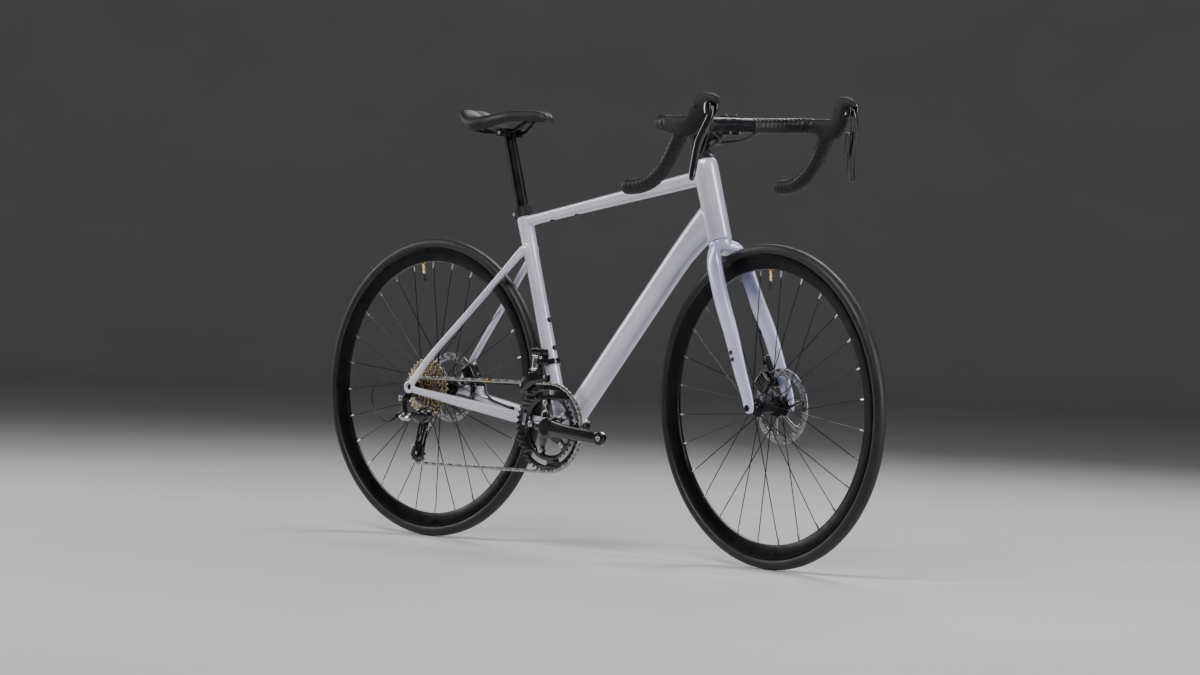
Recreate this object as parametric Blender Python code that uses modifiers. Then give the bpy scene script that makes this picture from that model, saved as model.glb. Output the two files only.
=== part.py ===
"""Road bike with disc brakes, modelled in metres at its real size.

The origin is the rear axle's centre on the middle plane, with X forward, Y to the bike's left and Z up.
The wheels stand on the floor one tyre radius below it. The steered assembly is modelled straight ahead
and then turned about the steering axis by STEER, the way the bike stands.
"""

import math

import bmesh
import bpy
from mathutils import Matrix, Vector

GAP = 0.0003

# Frame geometry, in the middle plane
WHEELBASE = 1.0034
BRACKET_X = 0.409
BRACKET_DROP = 0.072
SEAT_ANGLE = math.radians(73.3)
HEAD_ANGLE = math.radians(73.0)
FORK_OFFSET = 0.049
STEER = math.radians(-7.87)
SEAT_TUBE_LENGTH = 0.492
SEAT_TUBE_RADIUS = 0.0165
SEAT_TUBE_FLARE = 0.0015
HEAD_BOTTOM = 0.3745
HEAD_TOP = 0.553
HEAD_RADIUS = 0.0262
HEAD_BORE = 0.0190
DOWN_TUBE_START = (0.415, -0.077)
DOWN_TUBE_END = (WHEELBASE - 0.1903, 0.4009)
TOP_TUBE_REAR = (0.283, 0.3815)
TOP_TUBE_FRONT = (WHEELBASE - 0.1954, 0.4812)
TOP_TUBE_REAR_HALF = (0.0160, 0.0105)
TOP_TUBE_FRONT_HALF = (0.0180, 0.0165)
BRACKET_HALF = 0.034
BRACKET_RADIUS = 0.0225
BRACKET_BORE = 0.0172

# Rear end
REAR_HUB_HALF = 0.071
DROPOUT_INNER = 0.0745
DROPOUT_OUTER = 0.083
DROPOUT_RADIUS = 0.0140
DROPOUT_RECESS = 0.0088
HUB_SPACE_RADIUS = 0.0165
AXLE_RADIUS = 0.006
AXLE_CLEARANCE = GAP
HANGER_BOLT = (-0.0125, -0.0260)
HANGER_RADIUS = 0.0085

# Wheels
TYRE_RADIUS = 0.339
RIM_INNER = 0.2875
WHEEL_STEPS = 30
SPOKES = 28
SPOKE_RADIUS = 0.0010
SPOKE_TWIST = math.radians(50.0)
FRONT_SPOKE_PHASE = 3.02042
REAR_SPOKE_PHASE = 3.19786
FRONT_HUB_HALF = 0.0497
ROTOR_RADIUS = 0.080
ROTOR_TRACK = 0.066
ROTOR_HALF = 0.0009
FRONT_ROTOR_Y = 0.0345
REAR_ROTOR_Y = 0.0545
HUB_TUBE_RADIUS = 0.0085
ROTOR_SEAT_RADIUS = 0.0175

# Chain and its wheels
PITCH = 0.0127
LARGE_TEETH = 48
SMALL_TEETH = 34
SPROCKET_TEETH = (11, 12, 14, 16, 18, 20, 22, 25, 28, 32)
PULLEY_TEETH = 11
LARGE_RING_Y = -0.047
SMALL_RING_Y = -0.0395
OUTER_SPROCKET_Y = -0.0585
SPROCKET_SPACING = 0.00406
SPROCKET_HALF = 0.0008
RING_HALF = 0.0010
CHAIN_HALF_WIDTH = 0.0028
CHAIN_HALF_HEIGHT = 0.0040
CHAIN_BEND = math.radians(20.0)
TOOTH_HEIGHT = 0.0030
TOOTH_DEPTH = 0.0035
BOLT_CIRCLE = 0.055
FIRST_BOLT_ANGLE = math.radians(30.1)
GUIDE_PULLEY = (0.034, -0.067)
TENSION_PULLEY = (0.014, -0.149)

# Cranks
CRANK_LENGTH = 0.1725
CRANK_ANGLE = math.radians(-5.1)
SPINDLE_RADIUS = 0.012
CUP_OUTER = 0.045
CUP_RADIUS = 0.021
RIGHT_PEDAL_FACE = -0.0735
LEFT_PEDAL_FACE = 0.0735
PEDAL_HOLE_RADIUS = 0.0071
CRANK_END_RADIUS = 0.016
CRANK_BOSS_RADIUS = 0.0215
RIGHT_BOSS_FACE = 0.0605
LEFT_BOSS_FACE = 0.0665
SPINDLE_END = 0.0640
PEDAL_BOSS_INNER = 0.0605

# Seat
POST_RADIUS = 0.0136
POST_BORE = POST_RADIUS + GAP
POST_BOTTOM = 0.255
POST_BORE_BOTTOM = 0.130
COLLAR_RADIUS = 0.0198
COLLAR_TOP = SEAT_TUBE_LENGTH + 0.013
COLLAR_OVERLAP = 0.010
RAIL_RADIUS = 0.0035
RAIL_SPREAD = 0.022

# Steering, as distances along the steering axis
STEERER_RADIUS = 0.0143
BEARING_BORE = STEERER_RADIUS + GAP
LOWER_BEARING_RADIUS = 0.0229
UPPER_BEARING_RADIUS = 0.0204
BEARING_HEIGHT = 0.008
CROWN_BOTTOM = 0.345
COVER_TOP = 0.5765
STEM_CLAMP_HEIGHT = 0.040
STEM_CLAMP_RADIUS = 0.0195
STEM_LENGTH = 0.100
BAR_CLAMP_RADIUS = 0.0159
BAR_RADIUS = 0.0119
STEM_HALF_WIDTH = 0.0225
STEM_WALL = 0.0047
FACEPLATE_EAR = (0.0100, 0.0360, 0.0070)
TAPE_RADIUS = 0.0156
FORK_HALF_SPACING = 0.0500

BODY_COLLECTION = "road_bike"
CUTTER_COLLECTION = "cutters"
STRAIGHT = math.radians(8.0)

LEFT = Vector((0.0, 1.0, 0.0))
UP = Vector((0.0, 0.0, 1.0))

BRACKET = Vector((BRACKET_X, 0.0, -BRACKET_DROP))
FRONT_AXLE = Vector((WHEELBASE, 0.0, 0.0))
SEAT_AXIS = Vector((-math.cos(SEAT_ANGLE), 0.0, math.sin(SEAT_ANGLE)))
HEAD_AXIS = Vector((-math.cos(HEAD_ANGLE), 0.0, math.sin(HEAD_ANGLE)))
HEAD_FORWARD = Vector((math.sin(HEAD_ANGLE), 0.0, math.cos(HEAD_ANGLE)))
HEAD_FOOT = FRONT_AXLE - HEAD_FORWARD * FORK_OFFSET


def seat_point(distance):
    """A point on the seat tube's axis, measured from the bottom bracket."""
    return BRACKET + SEAT_AXIS * distance


def head_point(distance):
    """A point on the steering axis, measured from beside the front axle."""
    return HEAD_FOOT + HEAD_AXIS * distance


def pitch_radius(teeth):
    return PITCH / (2.0 * math.sin(math.pi / teeth))


def finish(name, colour, roughness, metallic):
    """A plain material of one colour."""
    made = bpy.data.materials.new(name)
    made.use_nodes = True
    shader = made.node_tree.nodes["Principled BSDF"]
    shader.inputs["Base Color"].default_value = (*colour, 1.0)
    shader.inputs["Roughness"].default_value = roughness
    shader.inputs["Metallic"].default_value = metallic
    made.diffuse_color = (*colour, 1.0)
    return made


def clear_scene():
    for old in list(bpy.data.objects):
        bpy.data.objects.remove(old)
    for name in (BODY_COLLECTION, CUTTER_COLLECTION):
        made = bpy.data.collections.new(name)
        bpy.context.scene.collection.children.link(made)


def evaluated_mesh(obj):
    """The object's mesh with its modifiers, and the object removed."""
    graph = bpy.context.evaluated_depsgraph_get()
    mesh = bpy.data.meshes.new_from_object(obj.evaluated_get(graph))
    mesh.transform(obj.matrix_world)
    bpy.data.objects.remove(obj)
    return mesh


def scratch(mesh_or_curve):
    """An object for work in progress, kept with the cutters."""
    obj = bpy.data.objects.new("work", mesh_or_curve)
    bpy.data.collections[CUTTER_COLLECTION].objects.link(obj)
    obj.hide_render = True
    obj.display_type = "WIRE"
    return obj


def mesh_from(bm):
    bmesh.ops.recalc_face_normals(bm, faces=bm.faces)
    mesh = bpy.data.meshes.new("shape")
    bm.to_mesh(mesh)
    bm.free()
    return mesh


def turn_to(direction):
    """The rotation that takes +Z to a direction, with +X kept in the middle plane where it can be."""
    z = direction.normalized()
    x = LEFT.cross(z)
    if x.length < 1e-6:
        x = Vector((1.0, 0.0, 0.0))
    x.normalize()
    y = z.cross(x)
    return Matrix((x, y, z)).transposed().to_4x4()


def cylinder(start, end, radius, sides=16, end_radius=None):
    """A cylinder or cone frustum between two points."""
    start = Vector(start)
    end = Vector(end)
    top = radius if end_radius is None else end_radius
    bm = bmesh.new()
    bmesh.ops.create_cone(
        bm, cap_ends=True, segments=sides, radius1=radius, radius2=top, depth=(end - start).length
    )
    place = Matrix.Translation((start + end) / 2.0) @ turn_to(end - start)
    bmesh.ops.transform(bm, matrix=place, verts=bm.verts)
    return mesh_from(bm)


def box(centre, size, turn=None):
    """A box by its centre and its full sizes, turned if a rotation is given."""
    bm = bmesh.new()
    bmesh.ops.create_cube(bm, size=1.0)
    place = Matrix.Translation(Vector(centre)) @ (turn or Matrix.Identity(4)) @ Matrix.Diagonal((*size, 1.0))
    bmesh.ops.transform(bm, matrix=place, verts=bm.verts)
    return mesh_from(bm)


def signed_power(value, power):
    return math.copysign(abs(value) ** power, value)


def section(centre, along, half_width, half_height, sides=12, squareness=2.0):
    """A superellipse around a centre, square to a direction; its width lies along Y as far as it can."""
    along = Vector(along).normalized()
    across = (LEFT - along * LEFT.dot(along)).normalized()
    rise = along.cross(across)
    power = 2.0 / squareness
    points = []
    for i in range(sides):
        angle = 2.0 * math.pi * (i + 0.5) / sides
        sideways = across * half_width * signed_power(math.cos(angle), power)
        upwards = rise * half_height * signed_power(math.sin(angle), power)
        points.append(Vector(centre) + sideways + upwards)
    return points


def loft(rings):
    """A closed solid through rings of the same number of points."""
    bm = bmesh.new()
    rows = [[bm.verts.new(point) for point in ring] for ring in rings]
    count = len(rows[0])
    for near, far in zip(rows, rows[1:]):
        for i in range(count):
            j = (i + 1) % count
            bm.faces.new((near[i], near[j], far[j], far[i]))
    bm.faces.new(rows[0])
    bm.faces.new(rows[-1])
    return mesh_from(bm)


def swept(stations, sides=12, squareness=2.0):
    """A loft along stations of (centre, half width, half height), each square to the path there."""
    centres = [Vector(centre) for centre, _, _ in stations]
    rings = []
    for i, (_, half_width, half_height) in enumerate(stations):
        ahead = centres[min(i + 1, len(centres) - 1)] - centres[max(i - 1, 0)]
        rings.append(section(centres[i], ahead, half_width, half_height, sides, squareness))
    return loft(rings)


def turned(profile, origin, axis, steps=16):
    """A profile of (distance along the axis, radius) points, turned about the axis with a Screw modifier."""
    mesh = bpy.data.meshes.new("profile")
    points = [(radius, 0.0, along) for along, radius in profile]
    edges = [(i, i + 1) for i in range(len(points) - 1)]
    if profile[0][1] > 0.0:
        edges.append((len(points) - 1, 0))
    mesh.from_pydata(points, edges, [])
    obj = scratch(mesh)
    screw = obj.modifiers.new("turn", "SCREW")
    screw.axis = "Z"
    screw.steps = steps
    screw.render_steps = steps
    screw.use_merge_vertices = True
    screw.merge_threshold = 0.00001
    obj.matrix_world = Matrix.Translation(Vector(origin)) @ turn_to(Vector(axis))
    bpy.context.view_layer.update()
    made = evaluated_mesh(obj)
    bm = bmesh.new()
    bm.from_mesh(made)
    return mesh_from(bm)


def ring(origin, axis, bottom, top, inner, outer, steps=16):
    """A plain washer or sleeve about an axis."""
    profile = [(top, inner), (top, outer), (bottom, outer), (bottom, inner)]
    return turned(profile, origin, axis, steps)


def curve_through(points, radius, resolution, cyclic=False, radii=None):
    """A POLY curve with a round bevel and filled caps, made a mesh with its caps welded."""
    curve = bpy.data.curves.new("tube", "CURVE")
    curve.dimensions = "3D"
    curve.bevel_depth = radius
    curve.bevel_resolution = resolution
    curve.use_fill_caps = not cyclic
    spline = curve.splines.new("POLY")
    spline.points.add(len(points) - 1)
    for i, point in enumerate(points):
        spline.points[i].co = (*point, 1.0)
        spline.points[i].radius = radii[i] if radii else 1.0
    spline.use_cyclic_u = cyclic
    mesh = evaluated_mesh(scratch(curve))
    bm = bmesh.new()
    bm.from_mesh(mesh)
    bmesh.ops.remove_doubles(bm, verts=bm.verts, dist=0.000005)
    return mesh_from(bm)


def smooth_route(points, spacing):
    """Points on a smooth curve through a route's own points; a stretch that hardly bends is one piece."""
    route = [Vector(point) for point in points]
    padded = [route[0] * 2.0 - route[1], *route, route[-1] * 2.0 - route[-2]]
    smooth = [route[0]]
    for before, start, end, after in zip(padded, padded[1:], padded[2:], padded[3:]):
        bend = (start - before).angle(after - end)
        pieces = 1 if bend < STRAIGHT else max(1, round((end - start).length / spacing))
        for i in range(1, pieces + 1):
            t = i / pieces
            smooth.append(
                0.5
                * (
                    start * 2.0
                    + (end - before) * t
                    + (before * 2.0 - start * 5.0 + end * 4.0 - after) * t**2
                    + (start * 3.0 - before - end * 3.0 + after) * t**3
                )
            )
    return smooth


def plate(outlines, y, half_thickness):
    """A flat plate in the X-Z plane at a given Y, from closed outlines; outlines inside others are holes."""
    curve = bpy.data.curves.new("plate", "CURVE")
    curve.dimensions = "2D"
    curve.fill_mode = "BOTH"
    curve.extrude = half_thickness
    for outline in outlines:
        spline = curve.splines.new("POLY")
        spline.points.add(len(outline) - 1)
        for i, (x, z) in enumerate(outline):
            spline.points[i].co = (x, z, 0.0, 1.0)
        spline.use_cyclic_u = True
    obj = scratch(curve)
    obj.matrix_world = Matrix.Translation((0.0, y, 0.0)) @ Matrix.Rotation(math.pi / 2.0, 4, "X")
    bpy.context.view_layer.update()
    mesh = evaluated_mesh(obj)
    bm = bmesh.new()
    bm.from_mesh(mesh)
    bmesh.ops.remove_doubles(bm, verts=bm.verts, dist=0.000005)
    return mesh_from(bm)


def circle(centre, radius, sides):
    """A round outline in the X-Z plane."""
    turn = 2.0 * math.pi / sides
    angles = [turn * i for i in range(sides)]
    return [(centre[0] + radius * math.cos(angle), centre[1] + radius * math.sin(angle)) for angle in angles]


def toothed(centre, teeth, phase=0.0):
    """A chainwheel's outline: one root point and one tip point for each tooth."""
    radius = pitch_radius(teeth)
    step = 2.0 * math.pi / teeth
    outline = []
    for i in range(teeth):
        for share, distance in ((0.0, radius - TOOTH_DEPTH), (0.5, radius + TOOTH_HEIGHT)):
            angle = phase + step * (i + share)
            outline.append((centre[0] + distance * math.cos(angle), centre[1] + distance * math.sin(angle)))
    return outline


def combine(mesh, operation, others):
    """The mesh after an exact Boolean with each of the others in turn."""
    obj = scratch(mesh)
    tools = []
    for other in others:
        tool = scratch(other)
        step = obj.modifiers.new("step", "BOOLEAN")
        step.operation = operation
        step.solver = "EXACT"
        step.object = tool
        tools.append(tool)
    bpy.context.view_layer.update()
    made = evaluated_mesh(obj)
    for tool in tools:
        bpy.data.objects.remove(tool)
    return made


def union(first, *others):
    return combine(first, "UNION", others)


def cut(first, *others):
    return combine(first, "DIFFERENCE", others)


def joined(meshes):
    """Several separate shapes as one mesh, for one Boolean with all of them."""
    bm = bmesh.new()
    for mesh in meshes:
        bm.from_mesh(mesh)
    made = bpy.data.meshes.new("joined")
    bm.to_mesh(made)
    bm.free()
    return made


def mirrored(mesh):
    """The mesh's mirror image on the other side of the middle plane."""
    bm = bmesh.new()
    bm.from_mesh(mesh)
    bmesh.ops.scale(bm, vec=(1.0, -1.0, 1.0), verts=bm.verts)
    bmesh.ops.reverse_faces(bm, faces=bm.faces)
    made = bpy.data.meshes.new("mirrored")
    bm.to_mesh(made)
    bm.free()
    return made


def softened(mesh, levels):
    """The mesh rounded by a Subdivision Surface."""
    obj = scratch(mesh)
    soft = obj.modifiers.new("soft", "SUBSURF")
    soft.levels = levels
    soft.render_levels = levels
    bpy.context.view_layer.update()
    return evaluated_mesh(obj)


def bevelled(mesh, width, segments=2, angle=40.0):
    """The mesh with its sharp edges rounded."""
    obj = scratch(mesh)
    bevel = obj.modifiers.new("edges", "BEVEL")
    bevel.width = width
    bevel.segments = segments
    bevel.limit_method = "ANGLE"
    bevel.angle_limit = math.radians(angle)
    bpy.context.view_layer.update()
    return evaluated_mesh(obj)


def pivot(name, location, parent=None):
    """An empty on a joint's axis; its location is where it lies with the steering straight."""
    empty = bpy.data.objects.new(name, None)
    empty.empty_display_size = 0.03
    bpy.data.collections[CUTTER_COLLECTION].objects.link(empty)
    empty.location = Vector(location)
    if parent is not None:
        empty.parent = parent
        empty.matrix_parent_inverse = Matrix.Translation(-parent.location)
    return empty


def part(name, mesh, look, parent=None, sharp=35.0):
    """A finished piece: one object with its material, shaded smooth up to its sharp edges."""
    mesh.name = name
    mesh.materials.clear()
    mesh.materials.append(look)
    mesh.shade_smooth()
    mesh.set_sharp_from_angle(angle=math.radians(sharp))
    obj = bpy.data.objects.new(name, mesh)
    bpy.data.collections[BODY_COLLECTION].objects.link(obj)
    if parent is not None:
        obj.parent = parent
        obj.matrix_parent_inverse = Matrix.Translation(-parent.location)
    return obj


# Where the stays run: (X, distance from the middle plane, Z, half width, half height)
CHAINSTAY = (
    (0.004, 0.0775, -0.0045, 0.0055, 0.0080),
    (0.080, 0.0665, -0.0174, 0.0078, 0.0095),
    (0.130, 0.0585, -0.0258, 0.0085, 0.0109),
    (0.220, 0.0450, -0.0405, 0.0082, 0.0125),
    (0.300, 0.0340, -0.0540, 0.0075, 0.0137),
    (0.375, 0.0240, -0.0660, 0.0085, 0.0140),
    (0.405, 0.0200, -0.0705, 0.0085, 0.0130),
)
SEATSTAY = (
    (0.004, 0.0785, 0.0060, 0.0050, 0.0095),
    (0.060, 0.0690, 0.0755, 0.0072, 0.0074),
    (0.150, 0.0490, 0.1710, 0.0072, 0.0072),
    (0.240, 0.0295, 0.2668, 0.0078, 0.0078),
    (0.2835, 0.0200, 0.3130, 0.0085, 0.0095),
    (0.2930, 0.0120, 0.3230, 0.0085, 0.0100),
)
# Along the down tube: (share of its length, lift of the centre, half width, half height)
DOWN_TUBE = (
    (0.0000, 0.0000, 0.0240, 0.0230),
    (0.0965, 0.0000, 0.0250, 0.0250),
    (0.7235, 0.0000, 0.0255, 0.0255),
    (0.8521, -0.0025, 0.0258, 0.0280),
    (0.9196, -0.0062, 0.0255, 0.0310),
    (1.0000, -0.0095, 0.0235, 0.0325),
)
BOTTLE_BOSSES = (0.177, 0.241)
TOP_TUBE_BOSSES = (0.135, 0.275)
BOSS_RADIUS = 0.0052
BOSS_REACH = 0.0190
MOUNT_PAD_TOP = 0.0060
MOUNT_PAD_START = 0.022
MOUNT_PAD_END = 0.088
MOUNT_PAD_INNER = 0.0600
MOUNT_PAD_OUTER = 0.0740


def seat_tube_radius(distance):
    """The seat tube widens a little over its upper quarter."""
    share = max(0.0, (distance - 0.36) / (SEAT_TUBE_LENGTH - 0.36))
    return SEAT_TUBE_RADIUS + SEAT_TUBE_FLARE * share


def seat_tube():
    collar_start = SEAT_TUBE_LENGTH - COLLAR_OVERLAP
    rings = []
    for distance in (0.0, 0.36, collar_start - 0.004):
        radius = seat_tube_radius(distance)
        rings.append(section(seat_point(distance), SEAT_AXIS, radius, radius))
    for distance in (collar_start, SEAT_TUBE_LENGTH):
        rings.append(section(seat_point(distance), SEAT_AXIS, SEAT_TUBE_RADIUS, SEAT_TUBE_RADIUS))
    return loft(rings)


def head_tube():
    length = HEAD_TOP - HEAD_BOTTOM
    rings = []
    for distance, radius in (
        (0.0, HEAD_RADIUS - 0.0006),
        (length * 0.45, HEAD_RADIUS + 0.0003),
        (length - 0.019, HEAD_RADIUS + 0.0013),
        (length - 0.006, HEAD_RADIUS - 0.0002),
        (length, HEAD_RADIUS - 0.0026),
    ):
        rings.append(section(head_point(HEAD_BOTTOM + distance), HEAD_AXIS, radius, radius, 16))
    return loft(rings)


def down_tube():
    start = Vector((DOWN_TUBE_START[0], 0.0, DOWN_TUBE_START[1]))
    end = Vector((DOWN_TUBE_END[0], 0.0, DOWN_TUBE_END[1]))
    along = (end - start).normalized()
    rise = Vector((-along.z, 0.0, along.x))
    rings = []
    for share, lift, half_width, half_height in DOWN_TUBE:
        rings.append(section(start.lerp(end, share) + rise * lift, along, half_width, half_height, 12, 2.2))
    return loft(rings)


def top_tube():
    rear = Vector((TOP_TUBE_REAR[0], 0.0, TOP_TUBE_REAR[1]))
    front = Vector((TOP_TUBE_FRONT[0], 0.0, TOP_TUBE_FRONT[1]))
    rings = []
    for share in (0.0, 0.5, 1.0):
        half_width = TOP_TUBE_REAR_HALF[0] + (TOP_TUBE_FRONT_HALF[0] - TOP_TUBE_REAR_HALF[0]) * share
        half_height = TOP_TUBE_REAR_HALF[1] + (TOP_TUBE_FRONT_HALF[1] - TOP_TUBE_REAR_HALF[1]) * share
        rings.append(section(rear.lerp(front, share), front - rear, half_width, half_height, 12, 2.6))
    return loft(rings)


def stay(stations, side):
    return swept(
        [((x, side * y, z), half_width, half_height) for x, y, z, half_width, half_height in stations],
        sides=10,
        squareness=2.4,
    )


def dropout(side):
    inner = side * DROPOUT_INNER
    outer = side * DROPOUT_OUTER
    return cylinder((0.0, inner, 0.0), (0.0, outer, 0.0), DROPOUT_RADIUS, 12)


def seat_tube_boss(distance):
    outwards = Vector((math.sin(SEAT_ANGLE), 0.0, math.cos(SEAT_ANGLE)))
    foot = seat_point(distance)
    return cylinder(foot + outwards * 0.012, foot + outwards * BOSS_REACH, BOSS_RADIUS, 8)


def top_tube_boss(share):
    rear = Vector((TOP_TUBE_REAR[0], 0.0, TOP_TUBE_REAR[1]))
    front = Vector((TOP_TUBE_FRONT[0], 0.0, TOP_TUBE_FRONT[1]))
    along = (front - rear).normalized()
    down = Vector((along.z, 0.0, -along.x))
    foot = rear.lerp(front, share)
    depth = TOP_TUBE_REAR_HALF[1] + (TOP_TUBE_FRONT_HALF[1] - TOP_TUBE_REAR_HALF[1]) * share
    return cylinder(foot + down * 0.004, foot + down * (depth + 0.0012), BOSS_RADIUS, 8)


def head_bore():
    """The cutter for the head tube: its bore with a wider pocket for the bearing at each end."""
    pocket = BEARING_HEIGHT + GAP * 4
    lower = LOWER_BEARING_RADIUS + GAP
    upper = UPPER_BEARING_RADIUS + GAP
    profile = [
        (HEAD_BOTTOM - 0.01, 0.0),
        (HEAD_BOTTOM - 0.01, lower),
        (HEAD_BOTTOM + pocket, lower),
        (HEAD_BOTTOM + pocket, HEAD_BORE),
        (HEAD_TOP - pocket, HEAD_BORE),
        (HEAD_TOP - pocket, upper),
        (HEAD_TOP + 0.01, upper),
        (HEAD_TOP + 0.01, 0.0),
    ]
    return turned(profile, HEAD_FOOT, HEAD_AXIS, 16)


def frame_mesh():
    """The welded frame: tubes and stays joined, then bored for what fits inside."""
    shell = cylinder(BRACKET - LEFT * BRACKET_HALF, BRACKET + LEFT * BRACKET_HALF, BRACKET_RADIUS, 16)
    pad_middle = (MOUNT_PAD_INNER + MOUNT_PAD_OUTER) / 2.0
    pad = box(
        ((MOUNT_PAD_START + MOUNT_PAD_END) / 2.0, pad_middle, MOUNT_PAD_TOP / 2.0 - 0.0075),
        (MOUNT_PAD_END - MOUNT_PAD_START, MOUNT_PAD_OUTER - MOUNT_PAD_INNER, MOUNT_PAD_TOP + 0.015),
    )
    pieces = [seat_tube(), top_tube(), down_tube(), head_tube()]
    for side in (-1.0, 1.0):
        pieces += [stay(CHAINSTAY, side), stay(SEATSTAY, side), dropout(side)]
    pieces += [pad]
    pieces += [seat_tube_boss(distance) for distance in BOTTLE_BOSSES]
    pieces += [top_tube_boss(share) for share in TOP_TUBE_BOSSES]
    solid = union(shell, *pieces)
    bores = [
        cylinder(seat_point(POST_BORE_BOTTOM), seat_point(SEAT_TUBE_LENGTH + 0.02), POST_BORE, 16),
        head_bore(),
        cylinder(BRACKET - LEFT * 0.05, BRACKET + LEFT * 0.05, BRACKET_BORE, 16),
        cylinder((0.0, -0.1, 0.0), (0.0, 0.1, 0.0), AXLE_RADIUS + AXLE_CLEARANCE, 12),
        cylinder((0.0, -0.1, 0.0), (0.0, -DROPOUT_OUTER + 0.004, 0.0), DROPOUT_RECESS, 12),
    ]
    for side in (-1.0, 1.0):
        hub_face = side * (DROPOUT_INNER + 0.0002)
        bores.append(cylinder((0.0, side * 0.055, 0.0), (0.0, hub_face, 0.0), HUB_SPACE_RADIUS, 12))
    return cut(solid, *bores)


def hanger_mesh():
    """The derailleur hanger: a plate inside the right dropout that drops to the derailleur's bolt."""
    inner = -REAR_HUB_HALF + GAP
    outer = -DROPOUT_INNER + GAP
    bolt_inner = (HANGER_BOLT[0], inner, HANGER_BOLT[1])
    bolt_outer = (HANGER_BOLT[0], outer, HANGER_BOLT[1])
    eye = cylinder((0.0, inner, 0.0), (0.0, outer, 0.0), 0.0115, 16)
    foot = cylinder(bolt_inner, bolt_outer, HANGER_RADIUS, 16)
    middle = Vector((HANGER_BOLT[0] / 2.0, (inner + outer) / 2.0, HANGER_BOLT[1] / 2.0))
    lean = Matrix.Rotation(math.atan2(-HANGER_BOLT[0], -HANGER_BOLT[1]), 4, "Y")
    web = box(middle, (0.0150, inner - outer - 0.0004, 0.026), lean)
    solid = union(eye, foot, web)
    return cut(solid, cylinder((0.0, -0.09, 0.0), (0.0, -0.06, 0.0), AXLE_RADIUS + AXLE_CLEARANCE, 12))


def seat_collar_mesh():
    start = SEAT_TUBE_LENGTH - COLLAR_OVERLAP
    profile = [
        (COLLAR_TOP, POST_BORE),
        (COLLAR_TOP, COLLAR_RADIUS - 0.0010),
        (COLLAR_TOP - 0.0010, COLLAR_RADIUS),
        (start + GAP, COLLAR_RADIUS),
        (start + GAP, SEAT_TUBE_RADIUS + GAP * 2),
        (SEAT_TUBE_LENGTH + GAP, SEAT_TUBE_RADIUS + GAP * 2),
        (SEAT_TUBE_LENGTH + GAP, POST_BORE),
    ]
    band = turned(profile, BRACKET, SEAT_AXIS, 16)
    back = Vector((-math.sin(SEAT_ANGLE), 0.0, -math.cos(SEAT_ANGLE)))
    lug_centre = seat_point((start + COLLAR_TOP) / 2.0) + back * 0.0215
    lean = Matrix.Rotation(math.pi / 2.0 - SEAT_ANGLE, 4, "Y").inverted()
    lug = box(lug_centre, (0.0070, 0.0130, 0.0180), lean)
    return union(band, lug)


def bracket_cup_mesh(side):
    """A bottom bracket cup: a flange outside the shell and a sleeve inside it."""
    face = BRACKET_HALF + GAP
    sleeve_end = 0.012
    bore = SPINDLE_RADIUS + GAP
    profile = [
        (CUP_OUTER, bore),
        (CUP_OUTER, CUP_RADIUS - 0.0012),
        (CUP_OUTER - 0.0012, CUP_RADIUS),
        (face, CUP_RADIUS),
        (face, BRACKET_BORE - GAP),
        (sleeve_end, BRACKET_BORE - GAP),
        (sleeve_end, bore),
    ]
    return turned(profile, BRACKET, LEFT * side, 16)


def rear_axle_mesh():
    """The through axle: a rod with a flanged head outside the left dropout."""
    head = DROPOUT_OUTER + GAP
    rod = cylinder((0.0, -DROPOUT_OUTER + 0.0045, 0.0), (0.0, head + 0.001, 0.0), AXLE_RADIUS, 12)
    flange = cylinder((0.0, head, 0.0), (0.0, head + 0.0045, 0.0), 0.0100, 16)
    return union(rod, flange)


REAR_CALIPER_ANGLE = math.radians(30.0)
FRONT_CALIPER_ANGLE = math.radians(137.0)
# A caliper's reach either side of its rotor, and how far from the axle it and its slot lie
CALIPER_INNER_REACH = 0.0135
CALIPER_OUTER_REACH = 0.0140
CALIPER_RADII = (0.05595, 0.08845)
CALIPER_SLOT = 0.0120
CALIPER_SLOT_RADII = (0.04575, 0.08225)


def caliper_mesh(rotor_y, radial_angle, low, high):
    """A disc caliper in wheel coordinates: a block astride the rotor with a slot for it and the pads."""
    outwards = Matrix.Rotation(-radial_angle, 4, "Y")
    inner = rotor_y - CALIPER_INNER_REACH
    outer = rotor_y + CALIPER_OUTER_REACH
    middle = (low + high) / 2.0
    start, end = CALIPER_RADII
    centre = ((start + end) / 2.0, (inner + outer) / 2.0, middle)
    block = bevelled(box(centre, (end - start, outer - inner, high - low)), 0.004, 1)
    slot_start, slot_end = CALIPER_SLOT_RADII
    slot_size = (slot_end - slot_start, CALIPER_SLOT, high - low + 0.02)
    slot = box(((slot_start + slot_end) / 2.0, rotor_y, middle), slot_size)
    made = cut(block, slot)
    made.transform(outwards)
    return made


PAD_REST = 0.0008
PAD_THICKNESS = 0.0040
PAD_MIDDLE = 0.0700
PAD_LENGTH = 0.0240
PAD_HEIGHT = 0.0190


def rear_caliper_mesh():
    block = caliper_mesh(REAR_ROTOR_Y, REAR_CALIPER_ANGLE, -0.0200, 0.0180)
    foot_bottom = MOUNT_PAD_TOP + GAP
    foot_inner = REAR_ROTOR_Y + 0.0065
    foot_outer = MOUNT_PAD_OUTER - 0.0005
    foot = box(
        ((MOUNT_PAD_START + MOUNT_PAD_END) / 2.0, (foot_inner + foot_outer) / 2.0, foot_bottom + 0.0050),
        (MOUNT_PAD_END - MOUNT_PAD_START - 0.0010, foot_outer - foot_inner, 0.0100),
    )
    return union(block, bevelled(foot, 0.0015, 1))


def front_caliper_mesh():
    block = caliper_mesh(FRONT_ROTOR_Y, FRONT_CALIPER_ANGLE, -0.0200, 0.0200)
    block.transform(Matrix.Translation(FRONT_AXLE))
    return union(block, front_caliper_foot())


CALIPER_FOOT_HEIGHTS = (0.046, 0.112)


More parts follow.
